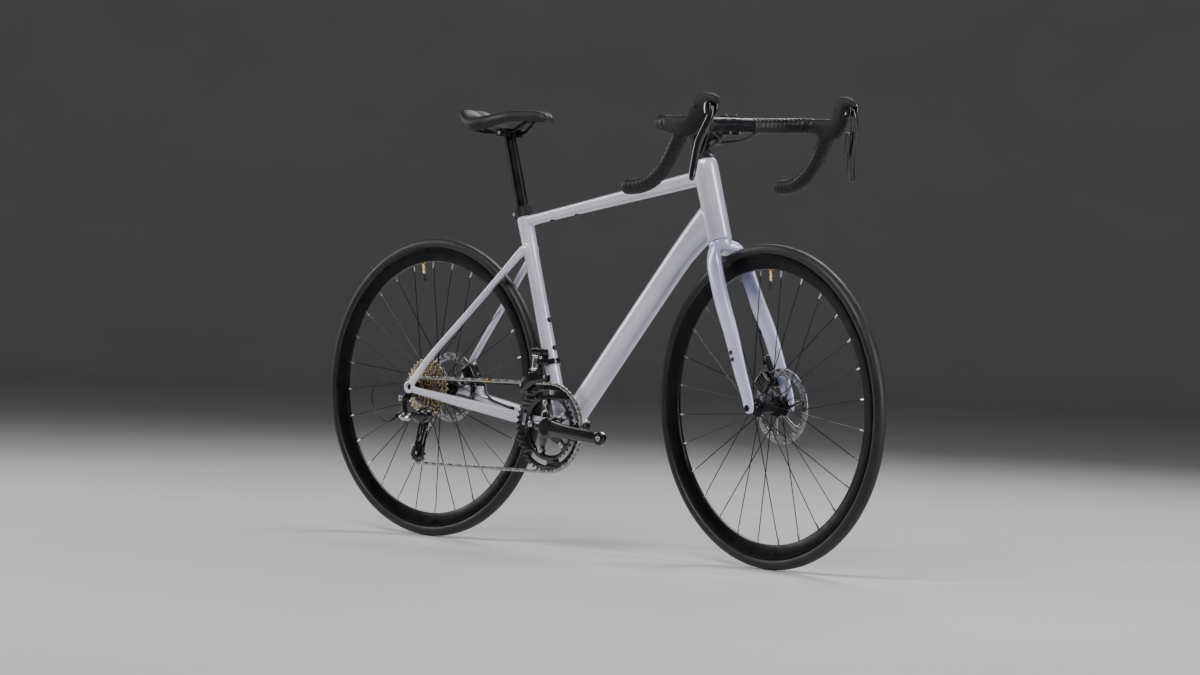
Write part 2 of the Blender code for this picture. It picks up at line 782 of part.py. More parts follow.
def front_caliper_foot():
    """The bar behind the left fork blade that carries the caliper."""
    low, high = [front_blade_point(height) for height in CALIPER_FOOT_HEIGHTS]
    back = blade_back()
    centre = (low + high) / 2.0 + back * 0.0205
    lean = Matrix.Rotation(-math.atan2(low.x - high.x, high.z - low.z), 4, "Y")
    foot = box((centre.x, 0.0512, centre.z), (0.0100, 0.0150, (high - low).length), lean)
    return bevelled(foot, 0.0015, 1)


def front_blade_point(height):
    """A point on a fork blade's centre line, in the middle plane, at a height above the front axle."""
    stations = [(WHEELBASE + x, z) for x, z, _, _, _ in FORK_BLADE]
    for (high_x, high_z), (low_x, low_z) in zip(stations, stations[1:]):
        if low_z <= height <= high_z:
            share = (height - low_z) / (high_z - low_z)
            return Vector((low_x + (high_x - low_x) * share, 0.0, height))
    return Vector((stations[-1][0], 0.0, height))


def blade_back():
    """The direction square to the blade's lower half that points to the rear."""
    low, high = [front_blade_point(height) for height in CALIPER_FOOT_HEIGHTS]
    along = (high - low).normalized()
    return Vector((-along.z, 0.0, along.x))


def pad_mesh(rotor_y, radial_angle, side, axle):
    """A brake pad with its backing plate, one side of the rotor."""
    near = rotor_y + side * (ROTOR_HALF + PAD_REST)
    far = near + side * PAD_THICKNESS
    pad = box((PAD_MIDDLE, (near + far) / 2.0, 0.0), (PAD_HEIGHT, PAD_THICKNESS, PAD_LENGTH))
    pad = bevelled(pad, 0.0012, 1)
    pad.transform(Matrix.Translation(axle) @ Matrix.Rotation(-radial_angle, 4, "Y"))
    return pad


# A fork blade from crown to axle:
# (X from the axle, Z, distance from the middle plane, half width, half depth)
FORK_BLADE = (
    (-0.1434, 0.3330, 0.0300, 0.0085, 0.0180),
    (-0.1274, 0.2950, 0.0405, 0.0088, 0.0180),
    (-0.0954, 0.2200, 0.0468, 0.0080, 0.0165),
    (-0.0597, 0.1510, 0.0515, 0.0070, 0.0148),
    (-0.0284, 0.0750, 0.0545, 0.0057, 0.0125),
    (-0.0084, 0.0300, 0.0556, 0.0052, 0.0112),
    (-0.0004, 0.0020, 0.0556, 0.0050, 0.0108),
    (0.0016, -0.0090, 0.0556, 0.0045, 0.0070),
)
FRONT_TYRE_CLEARANCE = 0.3460


def fork_blade(side):
    rings = []
    points = [FRONT_AXLE + Vector((x, side * y, z)) for x, z, y, _, _ in FORK_BLADE]
    for i, (_, _, _, half_width, half_depth) in enumerate(FORK_BLADE):
        ahead = points[min(i + 1, len(points) - 1)] - points[max(i - 1, 0)]
        rings.append(section(points[i], ahead, half_width, half_depth, 10, 2.3))
    return loft(rings)


def fork_crown():
    """The bridge between the blades under the head tube."""
    rings = []
    middle = head_point(CROWN_BOTTOM + 0.0145)
    blade = FRONT_AXLE + Vector((FORK_BLADE[0][0] + 0.003, 0.0, FORK_BLADE[0][1] - 0.006))
    for y, share, half_up, half_fore in (
        (-0.0390, 1.0, 0.0100, 0.0150),
        (-0.0340, 1.0, 0.0150, 0.0180),
        (-0.0180, 0.4, 0.0148, 0.0225),
        (0.0, 0.0, 0.0143, 0.0245),
        (0.0180, 0.4, 0.0148, 0.0225),
        (0.0340, 1.0, 0.0150, 0.0180),
        (0.0390, 1.0, 0.0100, 0.0150),
    ):
        centre = middle.lerp(blade, share)
        ring_points = []
        for i in range(12):
            angle = 2.0 * math.pi * (i + 0.5) / 12
            fore = HEAD_FORWARD * half_fore * signed_power(math.cos(angle), 0.8)
            rise = HEAD_AXIS * half_up * signed_power(math.sin(angle), 0.8)
            ring_points.append(Vector((centre.x, y, centre.z)) + fore + rise)
        rings.append(ring_points)
    return loft(rings)


def fork_mesh():
    seat_bottom = HEAD_BOTTOM - 0.0165
    steerer_top = COVER_TOP + STEM_CLAMP_HEIGHT - 0.002
    seat = cylinder(head_point(seat_bottom), head_point(HEAD_BOTTOM - GAP * 2), HEAD_RADIUS - 0.0006, 16)
    steerer = cylinder(head_point(seat_bottom - 0.006), head_point(steerer_top), STEERER_RADIUS, 16)
    blades = [fork_blade(-1.0), fork_blade(1.0)]
    solid = union(fork_crown(), seat, steerer, *blades)
    wheel_space = cylinder(FRONT_AXLE - LEFT * 0.0235, FRONT_AXLE + LEFT * 0.0235, FRONT_TYRE_CLEARANCE, 60)
    axle_bore = cylinder(FRONT_AXLE - LEFT * 0.1, FRONT_AXLE + LEFT * 0.1, AXLE_RADIUS + AXLE_CLEARANCE, 12)
    return cut(solid, wheel_space, axle_bore)


def front_axle_mesh():
    outer = FORK_HALF_SPACING + 0.0109
    rod = cylinder((WHEELBASE, -outer + 0.004, 0.0), (WHEELBASE, outer + 0.002, 0.0), AXLE_RADIUS, 12)
    flange = cylinder((WHEELBASE, outer, 0.0), (WHEELBASE, outer + 0.0045, 0.0), 0.0098, 16)
    return union(rod, flange)


def bearing_mesh(bottom, radius):
    return ring(head_point(bottom), HEAD_AXIS, 0.0, BEARING_HEIGHT, BEARING_BORE, radius, 16)


def headset_cover_mesh():
    """The cover over the upper bearing with the spacers above it."""
    profile = [
        (COVER_TOP - GAP, BEARING_BORE),
        (COVER_TOP - GAP, 0.0180),
        (HEAD_TOP + 0.0090, 0.0182),
        (HEAD_TOP + 0.0060, 0.0205),
        (HEAD_TOP + 0.0012, 0.0232),
        (HEAD_TOP + GAP, 0.0232),
        (HEAD_TOP + GAP, BEARING_BORE),
    ]
    return turned(profile, HEAD_FOOT, HEAD_AXIS, 16)


BAR_CENTRE = head_point(COVER_TOP + STEM_CLAMP_HEIGHT * 0.54) + HEAD_FORWARD * STEM_LENGTH


def stem_mesh():
    base = COVER_TOP
    middle = head_point(base + STEM_CLAMP_HEIGHT * 0.54)
    rings = []
    for distance, half_width, half_height in (
        (0.008, 0.0170, 0.0165),
        (0.030, 0.0165, 0.0165),
        (0.070, 0.0170, 0.0155),
        (0.092, 0.0195, 0.0165),
    ):
        centre = middle + HEAD_FORWARD * distance
        rings.append(section(centre, HEAD_FORWARD, half_width, half_height, 12, 2.8))
    body = loft(rings)
    clamp = cylinder(head_point(base), head_point(base + STEM_CLAMP_HEIGHT), STEM_CLAMP_RADIUS, 16)
    half = LEFT * STEM_HALF_WIDTH
    barrel = cylinder(BAR_CENTRE - half, BAR_CENTRE + half, BAR_CLAMP_RADIUS + STEM_WALL, 24)
    rear_lug = box(middle - HEAD_FORWARD * 0.0195, (0.0120, 0.0150, 0.0330), turn_to(HEAD_AXIS))
    solid = union(clamp, body, barrel, bevelled(rear_lug, 0.002, 1))
    face_space = box(BAR_CENTRE + HEAD_FORWARD * 0.03, (0.0600 - GAP, 0.06, 0.06), turn_to(HEAD_AXIS))
    return cut(
        solid,
        cylinder(head_point(base - 0.01), head_point(base + 0.06), BEARING_BORE, 16),
        cylinder(BAR_CENTRE - LEFT * 0.04, BAR_CENTRE + LEFT * 0.04, BAR_CLAMP_RADIUS + GAP, 16),
        face_space,
    )


def faceplate_mesh():
    """The clamp's front half: a half sleeve with an ear above and below."""
    half = LEFT * STEM_HALF_WIDTH
    sleeve = cylinder(BAR_CENTRE - half, BAR_CENTRE + half, BAR_CLAMP_RADIUS + STEM_WALL, 16)
    lean = turn_to(HEAD_AXIS)
    ear_middle = BAR_CENTRE + HEAD_FORWARD * 0.0055
    ears = [box(ear_middle + HEAD_AXIS * rise, FACEPLATE_EAR, lean) for rise in (-0.0195, 0.0195)]
    solid = union(sleeve, *ears)
    stem_space = box(BAR_CENTRE - HEAD_FORWARD * 0.03, (0.0600 + GAP * 2, 0.06, 0.08), lean)
    bore = cylinder(BAR_CENTRE - LEFT * 0.04, BAR_CENTRE + LEFT * 0.04, BAR_CLAMP_RADIUS + GAP, 16)
    return cut(solid, stem_space, bore)


def top_cap_mesh():
    """The cap on the stem with the bolt that reaches into the steerer's plug."""
    top = COVER_TOP + STEM_CLAMP_HEIGHT
    profile = [
        (top + 0.0042, 0.0),
        (top + 0.0042, 0.0150),
        (top + 0.0030, 0.0172),
        (top + GAP, 0.0172),
        (top + GAP, 0.0120),
        (top - 0.0016, 0.0118),
        (top - 0.0016, 0.0),
    ]
    return turned(profile, HEAD_FOOT, HEAD_AXIS, 16)


# Half of the handlebar, from beside the stem to the drop's end:
# (X from the clamp, distance from the middle plane, Z from the clamp)
BAR_ROUTE = (
    (0.0000, 0.0600, 0.0000),
    (0.0015, 0.1720, 0.0020),
    (0.0090, 0.1950, 0.0025),
    (0.0260, 0.2060, 0.0015),
    (0.0450, 0.2070, -0.0012),
    (0.0610, 0.2070, -0.0070),
    (0.0710, 0.2070, -0.0170),
    (0.0735, 0.2070, -0.0300),
    (0.0610, 0.2075, -0.0500),
    (0.0420, 0.2080, -0.0770),
    (0.0180, 0.2092, -0.1010),
    (-0.0120, 0.2110, -0.1190),
    (-0.0420, 0.2132, -0.1275),
    (-0.0790, 0.2157, -0.1300),
)


def bar_points(side, more_length=0.0):
    points = [BAR_CENTRE + Vector((x, side * y, z)) for x, y, z in BAR_ROUTE]
    if more_length:
        points.append(points[-1] + (points[-1] - points[-2]).normalized() * more_length)
    return points


def bar_tube(more_radius, more_length):
    """The whole bar: the clamp width in the middle, narrower from the bends to the ends."""
    halves = [bar_points(side, more_length) for side in (-1.0, 1.0)]
    middle = [BAR_CENTRE + LEFT * y for y in (-0.040, 0.0, 0.040)]
    points = [*reversed(halves[0]), *middle, *halves[1]]
    wide = BAR_CLAMP_RADIUS + more_radius
    taper = (BAR_RADIUS + more_radius) / wide
    radii = [taper] * len(halves[0]) + [1.0] * len(middle) + [taper] * len(halves[1])
    return curve_through(points, wide, 2, radii=radii)


def handlebar_mesh():
    return bar_tube(0.0, 0.0)


def tape_mesh(side):
    """The bar tape on one side: a sleeve over the bar from beside the stem to its end."""
    sleeve = curve_through(bar_points(side), TAPE_RADIUS, 2)
    return cut(sleeve, bar_tube(GAP, 0.004))


# A hood from its rear edge to the tip of its horn, measured from the bar's centre:
# (X and Z of the section's foot, X and Z of its top, distance from the middle plane, half width)
HOOD = (
    (0.0460, -0.0120, 0.0500, 0.0172, 0.2070, 0.0182),
    (0.0660, -0.0250, 0.0700, 0.0160, 0.2072, 0.0182),
    (0.0850, -0.0310, 0.0910, 0.0150, 0.2068, 0.0178),
    (0.1080, -0.0270, 0.1070, 0.0180, 0.2045, 0.0165),
    (0.1230, -0.0170, 0.1130, 0.0350, 0.2015, 0.0155),
    (0.1400, 0.0020, 0.1190, 0.0530, 0.1975, 0.0145),
    (0.1525, 0.0200, 0.1290, 0.0590, 0.1940, 0.0140),
    (0.1610, 0.0365, 0.1440, 0.0610, 0.1920, 0.0135),
    (0.1730, 0.0385, 0.1600, 0.0590, 0.1905, 0.0120),
    (0.1760, 0.0430, 0.1700, 0.0530, 0.1900, 0.0080),
)
# A lever blade from its pivot to its tip: (X, Z, distance from the middle plane, half width, half depth)
LEVER = (
    (0.1655, 0.0330, 0.1970, 0.0055, 0.0050),
    (0.1655, 0.0180, 0.2010, 0.0060, 0.0072),
    (0.1605, -0.0040, 0.2080, 0.0060, 0.0085),
    (0.1500, -0.0280, 0.2140, 0.0060, 0.0088),
    (0.1435, -0.0450, 0.2165, 0.0060, 0.0088),
    (0.1360, -0.0850, 0.2205, 0.0058, 0.0078),
    (0.1350, -0.1080, 0.2245, 0.0055, 0.0070),
    (0.1370, -0.1160, 0.2260, 0.0035, 0.0040),
)
LEVER_PIVOT = (0.1620, 0.0280)
LEVER_BARREL = 0.0044
PADDLE = (
    (0.1505, -0.0150, 0.1970, 0.0028, 0.0045),
    (0.1485, -0.0240, 0.1985, 0.0030, 0.0062),
    (0.1440, -0.0420, 0.2015, 0.0030, 0.0066),
    (0.1390, -0.0580, 0.2040, 0.0028, 0.0060),
    (0.1375, -0.0640, 0.2050, 0.0020, 0.0030),
)
PADDLE_PIVOT = (0.1520, -0.0180)


def hood_mesh(side):
    """The rubber hood over a brake lever's body, hollowed where it sits on the taped bar."""
    rings = []
    for foot_x, foot_z, top_x, top_z, y, half_width in HOOD:
        foot = BAR_CENTRE + Vector((foot_x, side * y, foot_z))
        top = BAR_CENTRE + Vector((top_x, side * y, top_z))
        middle = (foot + top) / 2.0
        half = (top - foot) / 2.0
        ring_points = []
        for i in range(12):
            angle = 2.0 * math.pi * (i + 0.5) / 12
            across = LEFT * half_width * signed_power(math.cos(angle), 0.85)
            ring_points.append(middle + across + half * signed_power(math.sin(angle), 0.85))
        rings.append(ring_points)
    solid = loft(rings)
    return cut(solid, curve_through(bar_points(side), TAPE_RADIUS + GAP, 2))


def blade_loft(stations, side):
    """A slim blade whose sections lie square to its own run."""
    centres = [BAR_CENTRE + Vector((x, side * y, z)) for x, z, y, _, _ in stations]
    rings = []
    for i, (_, _, _, half_width, half_depth) in enumerate(stations):
        ahead = centres[min(i + 1, len(centres) - 1)] - centres[max(i - 1, 0)]
        rings.append(section(centres[i], ahead, half_width, half_depth, 10, 2.6))
    return loft(rings)


def lever_pivot(side):
    return BAR_CENTRE + Vector((LEVER_PIVOT[0], side * LEVER[0][2], LEVER_PIVOT[1]))


def lever_mesh(side):
    blade = blade_loft(LEVER, side)
    centre = lever_pivot(side)
    barrel = cylinder(centre - LEFT * 0.0075, centre + LEFT * 0.0075, LEVER_BARREL, 16)
    return union(blade, barrel)


def paddle_pivot(side):
    return BAR_CENTRE + Vector((PADDLE_PIVOT[0], side * 0.2035, PADDLE_PIVOT[1]))


def paddle_mesh(side):
    """The shift paddle behind the lever, with the tapered boss that it swings on."""
    blade = blade_loft(PADDLE, side)
    foot = BAR_CENTRE + Vector((PADDLE_PIVOT[0], side * 0.1975, PADDLE_PIVOT[1]))
    tip = Vector((foot.x, side * 0.2050, foot.z))
    return union(blade, cylinder(foot, tip, 0.0040, 12, 0.0012))


# A brake hose from the tape's end to the guide under the stem: (X, distance from the middle plane, Z)
BAR_HOSE_ROUTE = (
    (0.0110, 0.0610, -0.0150),
    (0.0120, 0.0500, -0.0215),
    (0.0060, 0.0340, -0.0290),
    (-0.0080, 0.0200, -0.0330),
    (-0.0230, 0.0110, -0.0345),
    (-0.0390, 0.0060, -0.0366),
)
HOSE_RADIUS = 0.0025
CABLE_RADIUS = 0.0020


def bar_hoses_mesh():
    """The two brake hoses at the bar, held by one guide under the stem."""
    hoses = []
    for side in (-1.0, 1.0):
        points = [BAR_CENTRE + Vector((x, side * y, z)) for x, y, z in BAR_HOSE_ROUTE]
        hoses.append(curve_through(smooth_route(points, 0.016), HOSE_RADIUS, 2))
    guide_centre = BAR_CENTRE - HEAD_FORWARD * 0.0480 - HEAD_AXIS * 0.0216
    guide = box(guide_centre, (0.0160, 0.0220, 0.0110), turn_to(HEAD_AXIS))
    return union(bevelled(guide, 0.002, 1), *hoses)


FRONT_HOSE_ROUTE = (
    (0.9340, 0.0500, 0.0840),
    (0.9290, 0.0510, 0.1000),
    (0.9220, 0.0515, 0.1200),
    (0.9180, 0.0510, 0.1400),
    (0.9208, 0.0502, 0.1573),
)
REAR_HOSE_ROUTE = (
    (0.0885, 0.0670, 0.0117),
    (0.0980, 0.0640, 0.0085),
    (0.1080, 0.0580, 0.0000),
    (0.1180, 0.0505, -0.0090),
    (0.1330, 0.0450, -0.0185),
    (0.1600, 0.0410, -0.0270),
    (0.1950, 0.0355, -0.0345),
    (0.2200, 0.0332, -0.0385),
)
GEAR_CABLE_ROUTE = (
    (-0.0147, -0.0788, -0.0020),
    (-0.0215, -0.0800, -0.0005),
    (-0.0320, -0.0825, 0.0035),
    (-0.0560, -0.0860, 0.0085),
    (-0.0820, -0.0890, 0.0085),
    (-0.1010, -0.0920, -0.0025),
    (-0.1075, -0.0940, -0.0220),
    (-0.1025, -0.0950, -0.0440),
    (-0.0880, -0.0952, -0.0640),
    (-0.0680, -0.0945, -0.0775),
    (-0.0500, -0.0935, -0.0805),
    (-0.0400, -0.0922, -0.0768),
    (-0.0313, -0.09056, -0.07025),
)


def hose_mesh(route, radius, spacing):
    return curve_through(smooth_route(route, spacing), radius, 2)


# The tyre's section from bead to tread, outside then inside: (distance from the middle plane, radius)
TYRE_OUTSIDE = (
    (0.0082, 0.3110),
    (0.0082, 0.3162),
    (0.0134, 0.3210),
    (0.0132, 0.3298),
    (0.0068, 0.3374),
)
TYRE_INSIDE = (
    (0.0090, 0.3312),
    (0.0098, 0.3228),
    (0.0064, 0.3110),
)
RIM_SECTION = (
    (0.0052, 0.2875),
    (0.0113, 0.3060),
    (0.0115, 0.3165),
    (0.0092, 0.3165),
    (0.0086, 0.3104),
)


def tyre_mesh(axle):
    """A tyre with its open inner side, from bead to bead."""
    outside = [*TYRE_OUTSIDE, (0.0, TYRE_RADIUS)]
    inside = [(0.0, TYRE_RADIUS - 0.0035), *TYRE_INSIDE]
    loop = [(y, r) for y, r in outside]
    loop += [(-y, r) for y, r in reversed(outside[:-1])]
    loop += [(-y, r) for y, r in reversed(inside[1:])]
    loop += [(y, r) for y, r in inside]
    return turned(list(reversed(loop)), axle, LEFT, WHEEL_STEPS)


def rim_mesh(axle):
    loop = [(y, r) for y, r in RIM_SECTION]
    loop += [(-y, r) for y, r in reversed(RIM_SECTION)]
    return turned(list(reversed(loop)), axle, LEFT, WHEEL_STEPS)


def spoke_mesh(axle, index, phase, flange_y, flange_radius):
    """A spoke from its flange to the rim, leaning ahead or behind by turns."""
    rim_angle = phase - 2.0 * math.pi * index / SPOKES
    lean = SPOKE_TWIST if (index // 2) % 2 else -SPOKE_TWIST
    flange_angle = rim_angle + lean
    inwards = -0.0009 if (index // 2) % 2 else 0.0009
    start = axle + Vector(
        (flange_radius * math.cos(flange_angle), flange_y + inwards, flange_radius * math.sin(flange_angle))
    )
    rim_reach = RIM_INNER * math.cos(math.pi / WHEEL_STEPS) - GAP
    end = axle + Vector((rim_reach * math.cos(rim_angle), 0.0, rim_reach * math.sin(rim_angle)))
    return cylinder(start, end, SPOKE_RADIUS, 3)


def hub_mesh(axle, profile, right_flange, left_flange, phase, axle_reach):
    """A hub turned from one profile, with its spokes joined to the two flanges."""
    shell = turned(profile, axle, LEFT, 12)
    spokes = []
    for index in range(SPOKES):
        flange_y, radius = left_flange if index % 2 else right_flange
        spokes.append(spoke_mesh(axle, index, phase, flange_y, radius - 0.0025))
    solid = union(shell, joined(spokes))
    reach = LEFT * (axle_reach + 0.02)
    return cut(solid, cylinder(axle - reach, axle + reach, AXLE_RADIUS + AXLE_CLEARANCE, 12))


def hub_profile(right_end, left_end, right_flange, left_flange, shell_radius, rotor_y):
    """A hub's outline from right to left: tube, flange, shell, flange, rotor seat, tube."""
    half_flange = 0.0016
    seat_half = 0.0035
    return [
        (left_end, 0.0),
        (left_end, HUB_TUBE_RADIUS),
        (rotor_y + seat_half, HUB_TUBE_RADIUS),
        (rotor_y + seat_half, ROTOR_SEAT_RADIUS),
        (rotor_y - seat_half, ROTOR_SEAT_RADIUS),
        (left_flange[0] + half_flange + 0.006, shell_radius),
        (left_flange[0] + half_flange, shell_radius),
        (left_flange[0] + half_flange, left_flange[1]),
        (left_flange[0] - half_flange, left_flange[1]),
        (left_flange[0] - half_flange, shell_radius),
        (right_flange[0] + half_flange, shell_radius),
        (right_flange[0] + half_flange, right_flange[1]),
        (right_flange[0] - half_flange, right_flange[1]),
        (right_flange[0] - half_flange, HUB_TUBE_RADIUS),
        (right_end, HUB_TUBE_RADIUS),
        (right_end, 0.0),
    ]


REAR_RIGHT_FLANGE = (-0.0165, 0.0235)
REAR_LEFT_FLANGE = (0.0340, 0.0215)
FRONT_RIGHT_FLANGE = (-0.0335, 0.0190)
FRONT_LEFT_FLANGE = (0.0205, 0.0215)


def rotor_mesh(axle, y):
    """A disc rotor: the braking track, six arms and the ring that seats on the hub."""
    middle = (axle.x, axle.z)
    outlines = [circle(middle, ROTOR_RADIUS, 32), circle(middle, ROTOR_SEAT_RADIUS + GAP, 12)]
    arms = 6
    step = 2.0 * math.pi / arms
    hub_radius = 0.0245
    for arm in range(arms):
        window = []
        for share in (0.10, 0.5, 0.90):
            angle = step * (arm + share)
            window.append((axle.x + hub_radius * math.cos(angle), axle.z + hub_radius * math.sin(angle)))
        for share in (1.16, 0.78, 0.38):
            angle = step * (arm + share)
            window.append((axle.x + ROTOR_TRACK * math.cos(angle), axle.z + ROTOR_TRACK * math.sin(angle)))
        outlines.append(window)
    return plate(outlines, y, ROTOR_HALF)


def chain_wheels():
    """Each wheel on the chain's way: (centre, pitch radius, turning sense, its plane's Y)."""
    return (
        ((BRACKET_X, -BRACKET_DROP), pitch_radius(LARGE_TEETH), 1.0, LARGE_RING_Y),
        ((0.0, 0.0), pitch_radius(SPROCKET_TEETH[0]), 1.0, OUTER_SPROCKET_Y),
        (GUIDE_PULLEY, pitch_radius(PULLEY_TEETH), -1.0, OUTER_SPROCKET_Y),
        (TENSION_PULLEY, pitch_radius(PULLEY_TEETH), 1.0, OUTER_SPROCKET_Y),
    )


def chain_run_angle(wheel, following):
    """The direction of the straight run from one wheel to the next."""
    (start, start_radius, start_sense, _), (end, end_radius, end_sense, _) = wheel, following
    across = end[0] - start[0]
    rise = end[1] - start[1]
    offset = start_radius * start_sense - end_radius * end_sense
    return math.atan2(rise, across) + math.asin(offset / math.hypot(across, rise))


def chain_path():
    """Points along the chain's closed way: (X, Y, Z, outward direction in the X-Z plane)."""
    wheels = chain_wheels()
    count = len(wheels)
    runs = [chain_run_angle(wheels[i], wheels[(i + 1) % count]) for i in range(count)]
    path = []
    for i, (centre, radius, sense, y) in enumerate(wheels):
        arrival = runs[i - 1] - sense * math.pi / 2.0
        leaving = runs[i] - sense * math.pi / 2.0
        sweep = ((leaving - arrival) * sense) % (2.0 * math.pi)
        pieces = max(4, round(sweep / CHAIN_BEND))
        for j in range(pieces + 1):
            angle = arrival + sense * sweep * j / pieces
            normal = (math.cos(angle), math.sin(angle))
            outwards = (normal[0] * sense, normal[1] * sense)
            path.append((centre[0] + radius * normal[0], y, centre[1] + radius * normal[1], outwards))
        path += chain_run(path[-1], wheels[(i + 1) % count], runs[i])
    return path


def chain_run(start, following, angle):
    """The points inside a straight run, drifting smoothly to the next wheel's plane."""
    centre, radius, sense, next_y = following
    normal = (math.sin(angle), -math.cos(angle))
    end_x = centre[0] + radius * sense * normal[0]
    end_z = centre[1] + radius * sense * normal[1]
    length = math.hypot(end_x - start[0], end_z - start[2])
    pieces = max(1, round(length / (PITCH * 4.0)))
    points = []
    for j in range(1, pieces):
        share = j / pieces
        drift = share * share * (3.0 - 2.0 * share)
        points.append(
            (
                start[0] + (end_x - start[0]) * share,
                start[1] + (next_y - start[1]) * drift,
                start[2] + (end_z - start[2]) * share,
                normal,
            )
        )
    return points


def chain_mesh():
    """The chain as one loop, slotted where teeth stand in it."""
    bm = bmesh.new()
    rows = []
    for x, y, z, normal in chain_path():
        row = []
        for side, lift in ((1.0, 1.0), (-1.0, 1.0), (-1.0, -1.0), (1.0, -1.0)):
            rise = lift * CHAIN_HALF_HEIGHT
            corner = (x + normal[0] * rise, y + side * CHAIN_HALF_WIDTH, z + normal[1] * rise)
            row.append(bm.verts.new(corner))
        rows.append(row)
    for near, far in zip(rows, [*rows[1:], rows[0]]):
        for i in range(4):
            j = (i + 1) % 4
            bm.faces.new((near[i], near[j], far[j], far[i]))
    loop = mesh_from(bm)
    slots = []
    for centre, radius, _, y in chain_wheels():
        half = RING_HALF + GAP
        start = (centre[0], y - half, centre[1])
        end = (centre[0], y + half, centre[1])
        slots.append(cylinder(start, end, radius + CHAIN_HALF_HEIGHT + 0.0010, 20))
    return cut(loop, *slots)


CASSETTE_CORE = 0.0168


def cassette_mesh():
    """The sprockets and the body that carries them, turned about the rear axle."""
    bore = HUB_TUBE_RADIUS + GAP * 2
    profile = []
    last = len(SPROCKET_TEETH) - 1
    for i in range(last, -1, -1):
        y = OUTER_SPROCKET_Y + SPROCKET_SPACING * i
        tip = pitch_radius(SPROCKET_TEETH[i]) + TOOTH_HEIGHT
        if i < last:
            profile.append((y + SPROCKET_HALF, CASSETTE_CORE))
        profile.append((y + SPROCKET_HALF, tip))
        profile.append((y - SPROCKET_HALF, tip))
        profile.append((y - SPROCKET_HALF, CASSETTE_CORE))
    lockring = OUTER_SPROCKET_Y - 0.0040
    profile.append((lockring, CASSETTE_CORE - 0.0006))
    profile.append((lockring, bore))
    first = profile[0][0]
    profile.append((first, bore))
    return turned(profile, (0.0, 0.0, 0.0), LEFT, 12)


# A window in the large ring's web: (distance from the centre, turns from the bolt's angle)
RING_WINDOW = ((0.0715, (-0.34, 0.0, 0.34)), (0.0835, (0.36, 0.12, -0.12, -0.36)))
RING_TAB_HALF = 0.0085


def spider_angles():
    return [FIRST_BOLT_ANGLE + 2.0 * math.pi * i / 5.0 for i in range(5)]


def ring_mesh(teeth, y, inner_radius, windows):
    """A chainring: teeth outside, five bolt tabs inside and, on the large one, five long windows."""
    centre = (BRACKET_X, -BRACKET_DROP)
    outline = toothed(centre, teeth)
    inner = []
    for angle in spider_angles():
        spread = math.asin(RING_TAB_HALF / inner_radius)
        for offset, distance in (
            (-spread, inner_radius),
            (-0.75 * spread * inner_radius / BOLT_CIRCLE, BOLT_CIRCLE - RING_TAB_HALF * 0.6),
            (0.75 * spread * inner_radius / BOLT_CIRCLE, BOLT_CIRCLE - RING_TAB_HALF * 0.6),
            (spread, inner_radius),
        ):
            turn = angle + offset
            inner.append((centre[0] + distance * math.cos(turn), centre[1] + distance * math.sin(turn)))
        for share in (0.33, 0.67):
            turn = angle + spread + (2.0 * math.pi / 5.0 - 2.0 * spread) * share
            direction = (math.cos(turn), math.sin(turn))
            inner.append((centre[0] + inner_radius * direction[0], centre[1] + inner_radius * direction[1]))
    outlines = [outline, inner]
    if windows:
        for angle in spider_angles():
            window = []
            for distance, turns in RING_WINDOW:
                for turn in turns:
                    direction = (math.cos(angle + turn), math.sin(angle + turn))
                    window.append((centre[0] + distance * direction[0], centre[1] + distance * direction[1]))
            outlines.append(window)
    return plate(outlines, y, RING_HALF)


def crank_direction(side):
    """The right crank points ahead and the left one back."""
    angle = CRANK_ANGLE if side < 0 else CRANK_ANGLE + math.pi
    return Vector((math.cos(angle), 0.0, math.sin(angle)))


# A crank arm from its root to the pedal's axis: (share of the length, distance from the middle plane,
# half width, half height)
RIGHT_ARM = (
    (0.00, 0.0530, 0.0068, 0.0190),
    (0.12, 0.0545, 0.0070, 0.0185),
    (0.35, 0.0595, 0.0072, 0.0155),
    (0.65, 0.0645, 0.0068, 0.0138),
    (0.88, 0.0665, 0.0066, 0.0140),
    (1.00, 0.0668, 0.0067, 0.0145),
)
LEFT_ARM = (
    (0.00, 0.0560, 0.0090, 0.0200),
    (0.12, 0.0575, 0.0080, 0.0180),
    (0.35, 0.0615, 0.0072, 0.0150),
    (0.65, 0.0650, 0.0068, 0.0135),
    (0.88, 0.0665, 0.0066, 0.0140),
    (1.00, 0.0668, 0.0067, 0.0145),
)


def crank_arm(side, stations):
    along = crank_direction(side)
    rise = Vector((-along.z, 0.0, along.x))
    rings = []
    for share, y, half_width, half_height in stations:
        centre = BRACKET + along * CRANK_LENGTH * share + LEFT * side * y
        ring_points = []
        for i in range(10):
            angle = 2.0 * math.pi * (i + 0.5) / 10
            across = LEFT * half_width * signed_power(math.cos(angle), 0.7)
            ring_points.append(centre + across + rise * half_height * signed_power(math.sin(angle), 0.7))
        rings.append(ring_points)
    end = BRACKET + along * CRANK_LENGTH
    inner = end + LEFT * side * PEDAL_BOSS_INNER
    outer = end + LEFT * (RIGHT_PEDAL_FACE if side < 0 else LEFT_PEDAL_FACE)
    return union(loft(rings), cylinder(inner, outer, CRANK_END_RADIUS, 20))


def pedal_hole(side):
    end = BRACKET + crank_direction(side) * CRANK_LENGTH
    return cylinder(end + LEFT * side * 0.05, end + LEFT * side * 0.09, PEDAL_HOLE_RADIUS, 16)


SPIDER_TAB_OUTER = 0.0457
SPIDER_TAB_INNER = 0.0408


